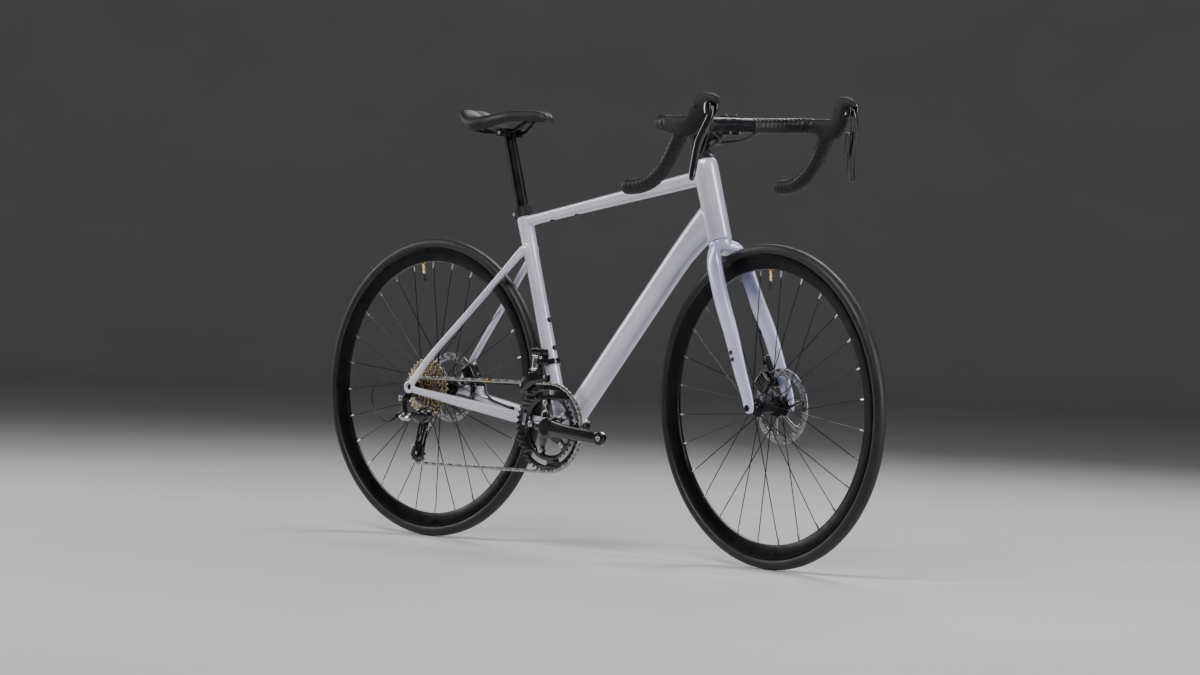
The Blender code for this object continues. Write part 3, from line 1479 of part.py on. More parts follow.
def spider_arm(angle):
    """One spider arm: thick at the boss, thin where it stands between the two rings."""
    out = Vector((math.cos(angle), 0.0, math.sin(angle)))
    around = Vector((-out.z, 0.0, out.x))
    tab = (SPIDER_TAB_OUTER + SPIDER_TAB_INNER) / 2.0
    tab_half = (SPIDER_TAB_OUTER - SPIDER_TAB_INNER) / 2.0
    rings = []
    for distance, y, half_thick, half_width in (
        (0.0150, 0.0530, 0.0060, 0.0120),
        (0.0350, 0.0500, 0.0045, 0.0100),
        (0.0455, tab + 0.0008, tab_half, 0.0080),
        (0.0485, tab, tab_half, 0.0078),
        (0.0610, tab, tab_half, 0.0062),
    ):
        centre = BRACKET + out * distance - LEFT * y
        rings.append(
            [
                centre + LEFT * half_thick * across + around * half_width * turn
                for across, turn in ((1.0, 1.0), (1.0, -1.0), (-1.0, -1.0), (-1.0, 1.0))
            ]
        )
    return loft(rings)


def right_crank_mesh():
    """The right crank with its spider and the spindle that runs through both cups."""
    boss_inner = BRACKET - LEFT * (CUP_OUTER + GAP)
    boss_outer = BRACKET - LEFT * RIGHT_BOSS_FACE
    boss = cylinder(boss_inner, boss_outer, CRANK_BOSS_RADIUS, 16)
    spindle = cylinder(BRACKET - LEFT * 0.0500, BRACKET + LEFT * SPINDLE_END, SPINDLE_RADIUS, 16)
    arms = [spider_arm(angle) for angle in spider_angles()]
    solid = union(boss, spindle, crank_arm(-1.0, RIGHT_ARM), *arms)
    return cut(solid, pedal_hole(-1.0))


def left_crank_mesh():
    """The left crank with its clamp round the spindle's end."""
    inner = BRACKET + LEFT * (CUP_OUTER + GAP)
    outer = BRACKET + LEFT * LEFT_BOSS_FACE
    boss = cylinder(inner, outer, CRANK_BOSS_RADIUS, 16)
    solid = union(boss, crank_arm(1.0, LEFT_ARM))
    bore = cylinder(BRACKET + LEFT * 0.03, BRACKET + LEFT * (SPINDLE_END + 0.0005), SPINDLE_RADIUS + GAP, 16)
    return cut(solid, bore, pedal_hole(1.0))


# The rear derailleur: two knuckles joined by an outer link that swings about a slanted axis
UPPER_PIVOT = Vector((-0.008, -0.088, -0.066))
LINK_REST = Vector((0.038, -0.0185, 0.0))
LINK_END = Vector((0.026, 0.018, -0.028))
LINK_AXIS = LINK_REST.cross(LINK_END).normalized()
LOWER_PIVOT = UPPER_PIVOT + LINK_REST
CAGE_PIVOT = (0.040, -0.063)
KNUCKLE_INNER = -0.0645
KNUCKLE_OUTER = -0.0925
LINK_PIN_RADIUS = 0.0030
CAGE_PLATE_INNER = 0.0040
CAGE_PLATE_OUTER = 0.0052
PULLEY_HALF = 0.0009
PULLEY_BOLT_RADIUS = 0.0025
CAGE_PIN_RADIUS = 0.0040


def link_layer(centre, near, far, radius, sides=12):
    """A disc round one of the link's pivots, between two heights along the slanted axis."""
    return cylinder(centre + LINK_AXIS * near, centre + LINK_AXIS * far, radius, sides)


def upper_knuckle_mesh():
    bolt = Vector((HANGER_BOLT[0], 0.0, HANGER_BOLT[1]))
    barrel = cylinder(bolt - LEFT * (DROPOUT_INNER + GAP), bolt - LEFT * 0.0935, 0.0095, 12)
    lug = link_layer(UPPER_PIVOT, -0.0012, 0.0095, 0.0070)
    arm = cylinder(bolt - LEFT * 0.0850, UPPER_PIVOT + LINK_AXIS * 0.0070, 0.0080, 12, 0.0062)
    cable_stop = cylinder((-0.011, -0.0865, -0.054), (-0.031, -0.0905, -0.070), 0.0036, 12)
    pin = link_layer(UPPER_PIVOT, -0.0082, 0.004, LINK_PIN_RADIUS, 12)
    return union(barrel, arm, lug, cable_stop, pin)


def link_mesh():
    """The outer link between the two slanted pivots."""
    middle = (UPPER_PIVOT + LOWER_PIVOT) / 2.0 - LINK_AXIS * 0.0050
    along = LINK_REST.normalized()
    turn = Matrix((along, LINK_AXIS.cross(along), LINK_AXIS)).transposed().to_4x4()
    web = box(middle, (LINK_REST.length, 0.0110, 0.0064), turn)
    ends = [link_layer(pivot_point, -0.0085, -0.0015, 0.0070) for pivot_point in (UPPER_PIVOT, LOWER_PIVOT)]
    bores = [
        link_layer(pivot_point, -0.02, 0.01, LINK_PIN_RADIUS + GAP, 12)
        for pivot_point in (UPPER_PIVOT, LOWER_PIVOT)
    ]
    return cut(union(web, *ends), *bores)


def lower_knuckle_mesh():
    """The lower knuckle: an oval body with a lug for the link and a bore for the cage's pivot."""
    length = KNUCKLE_INNER - KNUCKLE_OUTER
    profile = [
        (length, 0.0),
        (length, 0.0110),
        (length - 0.004, 0.0160),
        (length - 0.012, 0.0180),
        (0.004, 0.0180),
        (0.0, 0.0165),
        (0.0, 0.0),
    ]
    origin = Vector((CAGE_PIVOT[0] + 0.001, KNUCKLE_INNER, CAGE_PIVOT[1] + 0.001))
    body = turned(profile, (0.0, 0.0, 0.0), -LEFT, 12)
    body.transform(Matrix.Translation(origin) @ Matrix.Diagonal((1.25, 1.0, 1.0, 1.0)))
    lug = link_layer(LOWER_PIVOT, -0.0012, 0.0080, 0.0070)
    neck_end = origin - LEFT * (length - 0.006)
    neck = cylinder(LOWER_PIVOT + LINK_AXIS * 0.0062, neck_end, 0.0068, 12, 0.0100)
    pin = link_layer(LOWER_PIVOT, -0.0082, 0.004, LINK_PIN_RADIUS, 12)
    bore_start = Vector((CAGE_PIVOT[0], KNUCKLE_INNER + 0.004, CAGE_PIVOT[1]))
    bore_end = Vector((CAGE_PIVOT[0], KNUCKLE_INNER - 0.0125, CAGE_PIVOT[1]))
    return cut(union(body, lug, neck, pin), cylinder(bore_start, bore_end, CAGE_PIN_RADIUS + GAP, 12))


def capsule(start, end, start_radius, end_radius, sides=6):
    """A flat outline round two points of unlike radius."""
    along = math.atan2(end[1] - start[1], end[0] - start[0])
    outline = []
    for centre, radius, first in (
        (end, end_radius, along - math.pi / 2.0),
        (start, start_radius, along + math.pi / 2.0),
    ):
        for i in range(sides + 1):
            angle = first + math.pi * i / sides
            outline.append((centre[0] + radius * math.cos(angle), centre[1] + radius * math.sin(angle)))
    return outline


def cage_mesh():
    """The two cage plates with the pulleys' bolts and the pivot that turns in the lower knuckle."""
    middle = (CAGE_PLATE_INNER + CAGE_PLATE_OUTER) / 2.0
    half = (CAGE_PLATE_OUTER - CAGE_PLATE_INNER) / 2.0
    outline = capsule(GUIDE_PULLEY, TENSION_PULLEY, 0.0125, 0.0100)
    plates = [plate([outline], OUTER_SPROCKET_Y + side * middle, half) for side in (-1.0, 1.0)]
    reach = CAGE_PLATE_OUTER + 0.0008
    bolts = []
    for x, z in (GUIDE_PULLEY, TENSION_PULLEY):
        inner, outer = (x, OUTER_SPROCKET_Y + reach, z), (x, OUTER_SPROCKET_Y - reach, z)
        bolts.append(cylinder(outer, inner, PULLEY_BOLT_RADIUS, 12))
    pivot_x, pivot_z = CAGE_PIVOT
    plate_face = (pivot_x, OUTER_SPROCKET_Y - CAGE_PLATE_INNER - 0.0004, pivot_z)
    pivot_pin = cylinder(plate_face, (pivot_x, KNUCKLE_INNER - 0.012, pivot_z), CAGE_PIN_RADIUS, 16)
    return union(plates[0], plates[1], pivot_pin, *bolts)


def pulley_mesh(centre):
    """A derailleur pulley with its hub."""
    wheel = plate([toothed(centre, PULLEY_TEETH)], OUTER_SPROCKET_Y, PULLEY_HALF)
    reach = CAGE_PLATE_INNER - GAP
    low = Vector((centre[0], OUTER_SPROCKET_Y - reach, centre[1]))
    high = Vector((centre[0], OUTER_SPROCKET_Y + reach, centre[1]))
    hub = cylinder(low, high, 0.0060, 12)
    bore = cylinder(low - LEFT * 0.01, high + LEFT * 0.01, PULLEY_BOLT_RADIUS + GAP, 12)
    return cut(union(wheel, hub), bore)


# The front derailleur: a link that hangs from the clamp's housing and carries the cage over the rings
FRONT_LINK_LENGTH = 0.030
FRONT_LINK_LEAN = math.radians(7.4)
FRONT_UPPER_PIVOT = Vector((0.349, -0.0300, 0.082))
FRONT_LOWER_PIVOT = FRONT_UPPER_PIVOT + Vector(
    (0.0, -FRONT_LINK_LENGTH * math.sin(FRONT_LINK_LEAN), -FRONT_LINK_LENGTH * math.cos(FRONT_LINK_LEAN))
)
FRONT_LINK_HALF = 0.0077
FRONT_EAR_OUTER = 0.0130
CLAMP_BAND = (0.1412, 0.1532)
FRONT_CAGE_INNER_Y = -0.0421
FRONT_CAGE_OUTER_Y = -0.0519
FORWARD = Vector((1.0, 0.0, 0.0))


def ears(pivot_point, lift):
    """Two ears beside the link with the pin between them, reaching up or down from a pivot."""
    pieces = []
    for side in (-1.0, 1.0):
        near = pivot_point + FORWARD * side * (FRONT_LINK_HALF + GAP)
        far = pivot_point + FORWARD * side * FRONT_EAR_OUTER
        pieces.append(cylinder(near, far, 0.0052, 12))
        centre = (near + far) / 2.0 + UP * lift / 2.0
        pieces.append(box(centre, ((far - near).length, 0.0090, abs(lift))))
    reach = FORWARD * (FRONT_EAR_OUTER - 0.001)
    pieces.append(cylinder(pivot_point - reach, pivot_point + reach, 0.0025, 12))
    return pieces


def front_mount_mesh():
    """The band round the seat tube with the housing that the front derailleur hangs from."""
    low, high = CLAMP_BAND
    band = ring(BRACKET, SEAT_AXIS, low, high, seat_tube_radius(high) + GAP * 2, 0.0198, 12)
    housing = box((0.3560, -0.0275, 0.0940), (0.0400, 0.0170, 0.0124))
    bridge = box((0.3688, -0.0266, 0.0830), (0.0120, 0.0188, 0.0340))
    return union(band, bevelled(housing, 0.0015, 1), bridge, *ears(FRONT_UPPER_PIVOT, 0.0080))


def front_link_mesh():
    upper, lower = FRONT_UPPER_PIVOT, FRONT_LOWER_PIVOT
    reach = FORWARD * FRONT_LINK_HALF
    ends = [cylinder(point - reach, point + reach, 0.0048, 12) for point in (upper, lower)]
    lean = Matrix.Rotation(-FRONT_LINK_LEAN, 4, "X")
    web = box((upper + lower) / 2.0, (FRONT_LINK_HALF * 2 - 0.0010, 0.0070, FRONT_LINK_LENGTH), lean)
    wide = FORWARD * 0.02
    bores = [cylinder(point - wide, point + wide, 0.0025 + GAP, 12) for point in (upper, lower)]
    return cut(union(web, *ends), *bores)


def front_cage_outline(lowest_radius):
    """A cage plate's outline: its foot follows the large ring, its tail drops behind it."""
    outline = []
    for degrees in (93.0, 104.0, 115.0, 127.0, 138.0):
        angle = math.radians(degrees)
        outline.append(
            (BRACKET_X + lowest_radius * math.cos(angle), -BRACKET_DROP + lowest_radius * math.sin(angle))
        )
    outline += [(0.3235, 0.0030), (0.3250, 0.0220), (0.3340, 0.0370), (0.3600, 0.0420), (0.4040, 0.0430)]
    return outline


def front_cage_mesh():
    inner = plate([front_cage_outline(0.0945)], FRONT_CAGE_INNER_Y, 0.0006)
    outer = plate([front_cage_outline(0.1036)], FRONT_CAGE_OUTER_Y, 0.0006)
    bridges = [
        cylinder((x, FRONT_CAGE_OUTER_Y, z), (x, FRONT_CAGE_INNER_Y, z), 0.0020, 10)
        for x, z in ((0.3960, 0.0390), (0.3300, 0.0070))
    ]
    carrier = box((0.3490, -0.0372, 0.0410), (0.0260, 0.0104, 0.0120))
    return union(inner, outer, carrier, *bridges, *ears(FRONT_LOWER_PIVOT, -0.0085))


HEAD_BARREL_DISTANCE = 0.678
HEAD_BARREL_RADIUS = 0.0105
HEAD_BARREL_HALF = 0.0160
CLAMP_BOLT_RADIUS = 0.0030
# One saddle rail from its rear end to the middle of the nose: (X, distance from the middle plane, Z)
RAIL_ROUTE = (
    (0.1080, 0.0220, 0.5895),
    (0.1300, 0.0220, 0.5835),
    (0.1650, 0.0220, 0.5775),
    (0.2000, 0.0220, 0.5775),
    (0.2350, 0.0220, 0.5775),
    (0.2600, 0.0175, 0.5900),
    (0.2800, 0.0120, 0.6020),
    (0.2980, 0.0090, 0.6070),
    (0.3070, 0.0060, 0.6090),
    (0.3105, 0.0000, 0.6096),
)
# The saddle from tail to nose: (X, top, half width, foot of the skirt)
SADDLE = (
    (0.0840, 0.6190, 0.0350, 0.6050),
    (0.1000, 0.6295, 0.0540, 0.5980),
    (0.1340, 0.6135, 0.0680, 0.5865),
    (0.1600, 0.6135, 0.0715, 0.5810),
    (0.1900, 0.6180, 0.0645, 0.5825),
    (0.2150, 0.6225, 0.0485, 0.5925),
    (0.2480, 0.6265, 0.0315, 0.6010),
    (0.3100, 0.6250, 0.0220, 0.6025),
    (0.3330, 0.6185, 0.0185, 0.6010),
    (0.3415, 0.6120, 0.0120, 0.6025),
)
SADDLE_SHELL = 0.0190


def post_mesh():
    """The seatpost with the barrel on its head that the clamp turns on."""
    tube = cylinder(seat_point(POST_BOTTOM), seat_point(HEAD_BARREL_DISTANCE - 0.004), POST_RADIUS, 16)
    centre = seat_point(HEAD_BARREL_DISTANCE)
    barrel = cylinder(
        centre - LEFT * HEAD_BARREL_HALF, centre + LEFT * HEAD_BARREL_HALF, HEAD_BARREL_RADIUS, 16
    )
    bore = cylinder(centre - LEFT * 0.03, centre + LEFT * 0.03, CLAMP_BOLT_RADIUS + GAP, 12)
    return cut(union(tube, barrel), bore)


def rails_route():
    right = [(x, -y, z) for x, y, z in RAIL_ROUTE]
    left = [(x, y, z) for x, y, z in reversed(RAIL_ROUTE[:-1])]
    return smooth_route([*right, *left], 0.022)


def rails_mesh():
    return curve_through(rails_route(), RAIL_RADIUS, 2)


def saddle_clamp_mesh():
    """Two ears that hold the rails, joined by the bolt through the post's head."""
    centre = seat_point(HEAD_BARREL_DISTANCE)
    pieces = []
    for side in (-1.0, 1.0):
        inner = HEAD_BARREL_HALF + GAP
        outer = RAIL_SPREAD + 0.0075
        ear_centre = centre + LEFT * side * (inner + outer) / 2.0
        pieces.append(bevelled(box(ear_centre, (0.0340, outer - inner, 0.0190)), 0.002, 1))
    bolt = cylinder(
        centre - LEFT * (RAIL_SPREAD + 0.0090), centre + LEFT * (RAIL_SPREAD + 0.0090), CLAMP_BOLT_RADIUS, 12
    )
    solid = union(bolt, *pieces)
    return cut(solid, curve_through(rails_route(), RAIL_RADIUS + GAP, 2))


def saddle_section(x, top, half_width, foot):
    """One section of the saddle: crown, side, skirt and the hollow underneath."""
    depth = top - foot
    under = top - min(SADDLE_SHELL, depth * 0.9)
    half = (
        (0.50, top),
        (0.86, top - depth * 0.12),
        (1.00, top - depth * 0.50),
        (0.95, foot),
        (0.72, under),
    )
    points = [Vector((x, 0.0, top - 0.0015))]
    points += [Vector((x, half_width * share, z)) for share, z in half]
    points += [Vector((x, 0.0, under))]
    points += [Vector((x, -half_width * share, z)) for share, z in reversed(half)]
    return points


def saddle_mesh():
    """The padded saddle, with sockets for the rails."""
    body = softened(loft([saddle_section(*station) for station in SADDLE]), 1)
    lugs = [box((0.1085, side * 0.0220, 0.5985), (0.0190, 0.0130, 0.0270)) for side in (-1.0, 1.0)]
    sockets = curve_through(rails_route(), RAIL_RADIUS + GAP, 2)
    return cut(union(body, *lugs), sockets)


def finishes():
    return {
        "pearl": finish("pearl_paint", (0.78, 0.78, 0.83), 0.28, 0.15),
        "lilac": finish("lilac_paint", (0.74, 0.73, 0.83), 0.28, 0.15),
        "black": finish("black_metal", (0.025, 0.026, 0.03), 0.35, 0.8),
        "gloss": finish("gloss_black", (0.012, 0.012, 0.014), 0.15, 0.3),
        "plastic": finish("black_plastic", (0.03, 0.03, 0.032), 0.5, 0.0),
        "rubber": finish("black_rubber", (0.035, 0.034, 0.036), 0.75, 0.0),
        "tyre": finish("tyre_rubber", (0.045, 0.044, 0.046), 0.8, 0.0),
        "rim": finish("rim_black", (0.02, 0.02, 0.023), 0.3, 0.5),
        "steel": finish("steel", (0.6, 0.6, 0.6), 0.3, 1.0),
        "chrome": finish("bright_steel", (0.75, 0.76, 0.78), 0.12, 1.0),
        "sprocket": finish("nickel", (0.62, 0.56, 0.46), 0.3, 1.0),
        "leather": finish("saddle_cover", (0.03, 0.029, 0.03), 0.55, 0.0),
    }


def build_frame(look):
    part("frame", frame_mesh(), look["pearl"])
    part("derailleur_hanger", hanger_mesh(), look["black"])
    part("seat_collar", seat_collar_mesh(), look["black"])
    part("bottom_bracket_cup_right", bracket_cup_mesh(-1.0), look["black"])
    part("bottom_bracket_cup_left", bracket_cup_mesh(1.0), look["black"])
    part("rear_axle", rear_axle_mesh(), look["black"])
    part("rear_caliper", rear_caliper_mesh(), look["gloss"])
    part("headset_bearing_lower", bearing_mesh(HEAD_BOTTOM + GAP, LOWER_BEARING_RADIUS), look["steel"])
    upper = HEAD_TOP - BEARING_HEIGHT - GAP
    part("headset_bearing_upper", bearing_mesh(upper, UPPER_BEARING_RADIUS), look["steel"])
    part("front_derailleur_mount", front_mount_mesh(), look["gloss"])
    part("chain", chain_mesh(), look["chrome"])
    part("rear_derailleur_upper_knuckle", upper_knuckle_mesh(), look["gloss"])
    part("gear_cable", hose_mesh(GEAR_CABLE_ROUTE, CABLE_RADIUS, 0.020), look["rubber"])
    part("rear_brake_hose", hose_mesh(REAR_HOSE_ROUTE, HOSE_RADIUS, 0.012), look["rubber"])


def build_seat(look):
    slide = pivot("seatpost_slide", seat_point(SEAT_TUBE_LENGTH))
    part("seatpost", post_mesh(), look["black"], slide)
    part("saddle_clamp", saddle_clamp_mesh(), look["black"], slide)
    part("saddle_rails", rails_mesh(), look["steel"], slide)
    part("saddle", saddle_mesh(), look["leather"], slide)


def build_steering(look):
    steering = pivot("steering_axis", head_point(HEAD_BOTTOM))
    steering.rotation_mode = "AXIS_ANGLE"
    steering.rotation_axis_angle = (STEER, *HEAD_AXIS)
    part("fork", fork_mesh(), look["lilac"], steering)
    part("headset_cover", headset_cover_mesh(), look["black"], steering)
    part("stem", stem_mesh(), look["black"], steering)
    part("stem_faceplate", faceplate_mesh(), look["black"], steering)
    part("stem_top_cap", top_cap_mesh(), look["black"], steering)
    part("handlebar", handlebar_mesh(), look["black"], steering)
    part("front_caliper", front_caliper_mesh(), look["gloss"], steering)
    part("front_axle", front_axle_mesh(), look["black"], steering)
    part("front_brake_hose", hose_mesh(FRONT_HOSE_ROUTE, HOSE_RADIUS, 0.012), look["rubber"], steering)
    part("bar_hoses", bar_hoses_mesh(), look["rubber"], steering)
    for side, word in ((-1.0, "right"), (1.0, "left")):
        part(f"bar_tape_{word}", tape_mesh(side), look["rubber"], steering)
        part(f"hood_{word}", hood_mesh(side), look["rubber"], steering)
        lever_axis = pivot(f"brake_lever_{word}_axis", lever_pivot(side), steering)
        part(f"brake_lever_{word}", lever_mesh(side), look["gloss"], lever_axis)
        paddle_axis = pivot(f"shift_paddle_{word}_axis", paddle_pivot(side), lever_axis)
        part(f"shift_paddle_{word}", paddle_mesh(side), look["gloss"], paddle_axis)
    return steering


def build_pads(look, steering):
    rear_axle = Vector((0.0, 0.0, 0.0))
    for side, word in ((-1.0, "right"), (1.0, "left")):
        for wheel, axle, rotor_y, angle, parent in (
            ("front", FRONT_AXLE, FRONT_ROTOR_Y, FRONT_CALIPER_ANGLE, steering),
            ("rear", rear_axle, REAR_ROTOR_Y, REAR_CALIPER_ANGLE, None),
        ):
            name = f"{wheel}_pad_{word}"
            place = axle + Vector((0.07 * math.cos(angle), rotor_y, 0.07 * math.sin(angle)))
            slide = pivot(f"{name}_slide", place, parent)
            part(name, pad_mesh(rotor_y, angle, side, axle), look["steel"], slide)


def build_wheel(look, name, axle, parent, phase, right_flange, left_flange, ends, shell_radius, rotor_y):
    """One wheel on its joint's empty: tyre, rim, hub with spokes and rotor."""
    turn = pivot(f"{name}_wheel_axis", axle, parent)
    part(f"{name}_tyre", tyre_mesh(axle), look["tyre"], turn)
    part(f"{name}_rim", rim_mesh(axle), look["rim"], turn)
    profile = hub_profile(ends[0], ends[1], right_flange, left_flange, shell_radius, rotor_y)
    hub = hub_mesh(axle, profile, right_flange, left_flange, phase, max(abs(end) for end in ends))
    part(f"{name}_hub_and_spokes", hub, look["black"], turn)
    part(f"{name}_rotor", rotor_mesh(axle, rotor_y), look["chrome"], turn)


def build_wheels(look, steering):
    build_wheel(
        look, "front", FRONT_AXLE, steering, FRONT_SPOKE_PHASE, FRONT_RIGHT_FLANGE, FRONT_LEFT_FLANGE,
        (-FRONT_HUB_HALF, FRONT_HUB_HALF), 0.0125, FRONT_ROTOR_Y,
    )
    build_wheel(
        look, "rear", Vector((0.0, 0.0, 0.0)), None, REAR_SPOKE_PHASE, REAR_RIGHT_FLANGE, REAR_LEFT_FLANGE,
        (-REAR_HUB_HALF + GAP * 2, DROPOUT_INNER - GAP), 0.0150, REAR_ROTOR_Y,
    )


def build_drivetrain(look):
    cassette_axis = pivot("cassette_axis", (0.0, 0.0, 0.0))
    part("cassette", cassette_mesh(), look["sprocket"], cassette_axis)
    crank_axis = pivot("crank_axis", BRACKET)
    part("crank_right", right_crank_mesh(), look["gloss"], crank_axis)
    part("crank_left", left_crank_mesh(), look["gloss"], crank_axis)
    part("chainring_large", ring_mesh(LARGE_TEETH, LARGE_RING_Y, 0.0640, True), look["gloss"], crank_axis)
    part("chainring_small", ring_mesh(SMALL_TEETH, SMALL_RING_Y, 0.0610, False), look["black"], crank_axis)

    link_axis = pivot("rear_derailleur_link_axis", UPPER_PIVOT)
    part("rear_derailleur_link", link_mesh(), look["chrome"], link_axis)
    knuckle_axis = pivot("rear_derailleur_knuckle_axis", LOWER_PIVOT, link_axis)
    part("rear_derailleur_lower_knuckle", lower_knuckle_mesh(), look["gloss"], knuckle_axis)
    cage_axis = pivot("cage_axis", (CAGE_PIVOT[0], OUTER_SPROCKET_Y, CAGE_PIVOT[1]), knuckle_axis)
    part("rear_derailleur_cage", cage_mesh(), look["black"], cage_axis)
    for name, centre in (("guide_pulley", GUIDE_PULLEY), ("tension_pulley", TENSION_PULLEY)):
        turn = pivot(f"{name}_axis", (centre[0], OUTER_SPROCKET_Y, centre[1]), cage_axis)
        part(name, pulley_mesh(centre), look["plastic"], turn)

    front_link_axis = pivot("front_derailleur_link_axis", FRONT_UPPER_PIVOT)
    part("front_derailleur_link", front_link_mesh(), look["black"], front_link_axis)
    front_cage_axis = pivot("front_derailleur_cage_axis", FRONT_LOWER_PIVOT, front_link_axis)
    part("front_derailleur_cage", front_cage_mesh(), look["steel"], front_cage_axis)


def main():
    clear_scene()
    look = finishes()
    build_frame(look)
    build_seat(look)
    steering = build_steering(look)
    build_pads(look, steering)
    build_wheels(look, steering)
    build_drivetrain(look)


main()
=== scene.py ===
"""Dressing for a road bike with disc brakes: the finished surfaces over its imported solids.

The origin is the rear axle's centre on the middle plane, with X forward, Y to the bike's left and Z up.
The steered pieces are modelled straight ahead and then turned about the steering axis, as the solids are.
"""

import math

import bpy
from mathutils import Matrix, Vector


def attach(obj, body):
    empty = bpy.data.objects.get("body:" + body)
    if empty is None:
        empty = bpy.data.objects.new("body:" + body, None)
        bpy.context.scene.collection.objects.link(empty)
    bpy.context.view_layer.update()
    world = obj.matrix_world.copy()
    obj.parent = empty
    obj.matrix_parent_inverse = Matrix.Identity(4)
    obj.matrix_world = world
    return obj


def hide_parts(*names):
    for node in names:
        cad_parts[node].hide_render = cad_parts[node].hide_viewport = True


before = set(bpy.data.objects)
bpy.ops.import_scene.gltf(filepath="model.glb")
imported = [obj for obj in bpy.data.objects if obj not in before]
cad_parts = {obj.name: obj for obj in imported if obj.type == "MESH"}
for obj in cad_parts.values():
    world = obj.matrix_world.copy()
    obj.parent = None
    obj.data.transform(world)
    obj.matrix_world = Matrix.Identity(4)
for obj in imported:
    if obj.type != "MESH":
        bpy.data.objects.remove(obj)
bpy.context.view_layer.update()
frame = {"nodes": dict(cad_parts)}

bl_info = {
    "name": "Road Bike Dressing", "version": (1, 0, 0), "blender": (4, 5, 0),
    "location": "View3D > Sidebar > Road Bike",
    "description": "Models the frame, wheels, drivetrain, controls and saddle of a road bike",
    "category": "Add Mesh"
}

GAP = 0.0003
LEFT = Vector((0.0, 1.0, 0.0))
UP = Vector((0.0, 0.0, 1.0))
ORIGIN = Vector((0.0, 0.0, 0.0))
SIDES = ((-1.0, "right"), (1.0, "left"))

# The frame's layout in the middle plane, as the solids have it
BRACKET = Vector((0.409, 0.0, -0.072))
FRONT_AXLE = Vector((1.0034, 0.0, 0.0))
SEAT_ANGLE = math.radians(73.3)
HEAD_ANGLE = math.radians(73.0)
STEER = math.radians(-7.87)
SEAT_AXIS = Vector((-math.cos(SEAT_ANGLE), 0.0, math.sin(SEAT_ANGLE)))
SEAT_FORWARD = Vector((math.sin(SEAT_ANGLE), 0.0, math.cos(SEAT_ANGLE)))
HEAD_AXIS = Vector((-math.cos(HEAD_ANGLE), 0.0, math.sin(HEAD_ANGLE)))
HEAD_FORWARD = Vector((math.sin(HEAD_ANGLE), 0.0, math.cos(HEAD_ANGLE)))
HEAD_FOOT = FRONT_AXLE - HEAD_FORWARD * 0.049
HEAD_BOTTOM = 0.3745
FRONT_ROTOR_Y = 0.0345
REAR_ROTOR_Y = 0.0545
COVER_TOP = 0.5765
STEM_HEIGHT = 0.04
STEM_MIDDLE = COVER_TOP + STEM_HEIGHT * 0.54
BAR_CENTRE = HEAD_FOOT + HEAD_AXIS * STEM_MIDDLE + HEAD_FORWARD * 0.1


def seat_point(distance, forward=0.0):
    """A point on the seat tube's axis, measured from the bottom bracket."""
    return BRACKET + SEAT_AXIS * distance + SEAT_FORWARD * forward


def head_point(distance):
    """A point on the steering axis, measured from beside the front axle."""
    return HEAD_FOOT + HEAD_AXIS * distance


def bar_point(x, y, z):
    """A point given from the handlebar's centre."""
    return BAR_CENTRE + Vector((x, y, z))


STEER_FOOT = head_point(HEAD_BOTTOM)
STEERED = Matrix.Translation(STEER_FOOT) @ Matrix.Rotation(
    STEER, 4, HEAD_AXIS
) @ Matrix.Translation(-STEER_FOOT)


# Modelling helpers


def deselect():
    if bpy.context.mode != "OBJECT":
        bpy.ops.object.mode_set(mode="OBJECT")
    bpy.ops.object.select_all(action="DESELECT")


def pick(*objs):
    """Selects these objects alone, the first of them active."""
    deselect()
    for obj in objs:
        obj.select_set(True)
    bpy.context.view_layer.objects.active = objs[0]
    return objs[0]


def tidy_mesh(obj, merge=0.000002):
    """Merges doubled points, fills open ends and turns every face outwards."""
    pick(obj)
    bpy.ops.object.mode_set(mode="EDIT")
    bpy.ops.mesh.select_all(action="SELECT")
    bpy.ops.mesh.remove_doubles(threshold=merge)
    bpy.ops.mesh.fill_holes(sides=0)
    bpy.ops.mesh.select_all(action="SELECT")
    bpy.ops.mesh.normals_make_consistent(inside=False)
    bpy.ops.object.mode_set(mode="OBJECT")
    return obj


def skin(rings, closed=False):
    """A grid laid over rings of points and rolled into a tube, with its ends filled."""
    deselect()
    rows = [*rings, rings[0]] if closed else rings
    count = len(rings[0])
    bpy.ops.mesh.primitive_grid_add(x_subdivisions=count, y_subdivisions=len(rows) - 1, size=1.0)
    obj = bpy.context.active_object
    places = [value for row in rows for point in (*row, row[0]) for value in point]
    obj.data.vertices.foreach_set("co", places)
    return tidy_mesh(obj)


def basis(direction):
    """Two unit vectors square to a direction, the first along Y as far as it can be."""
    along = Vector(direction).normalized()
    across = LEFT - along * LEFT.dot(along)
    if across.length < 0.001:
        across = Vector((1.0, 0.0, 0.0)) - along * along.x
    across.normalize()
    return across, along.cross(across)


def outward(angle):
    """A direction of the X-Z plane, by its angle from X towards Z."""
    return Vector((math.cos(angle), 0.0, math.sin(angle)))


def quarter_turn(direction):
    """A direction of the X-Z plane, turned by a right angle from X towards Z."""
    return Vector((-direction.z, 0.0, direction.x))


def signed_power(value, power):
    return math.copysign(abs(value) ** power, value)


def oval(centre, across, rise, sides, power):
    """A superellipse from its two half axes; the power is 1 for an ellipse and less for a squarer one."""
    points = []
    for i in range(sides):
        angle = 2.0 * math.pi * (i + 0.5) / sides
        sideways = across * signed_power(math.cos(angle), power)
        points.append(centre + sideways + rise * signed_power(math.sin(angle), power))
    return points


def section(centre, direction, half_width, half_height, sides=32, squareness=2.0):
    """A superellipse square to a direction; its width lies along Y as far as it can."""
    across, rise = basis(direction)
    return oval(Vector(centre), across * half_width, rise * half_height, sides, 2.0 / squareness)


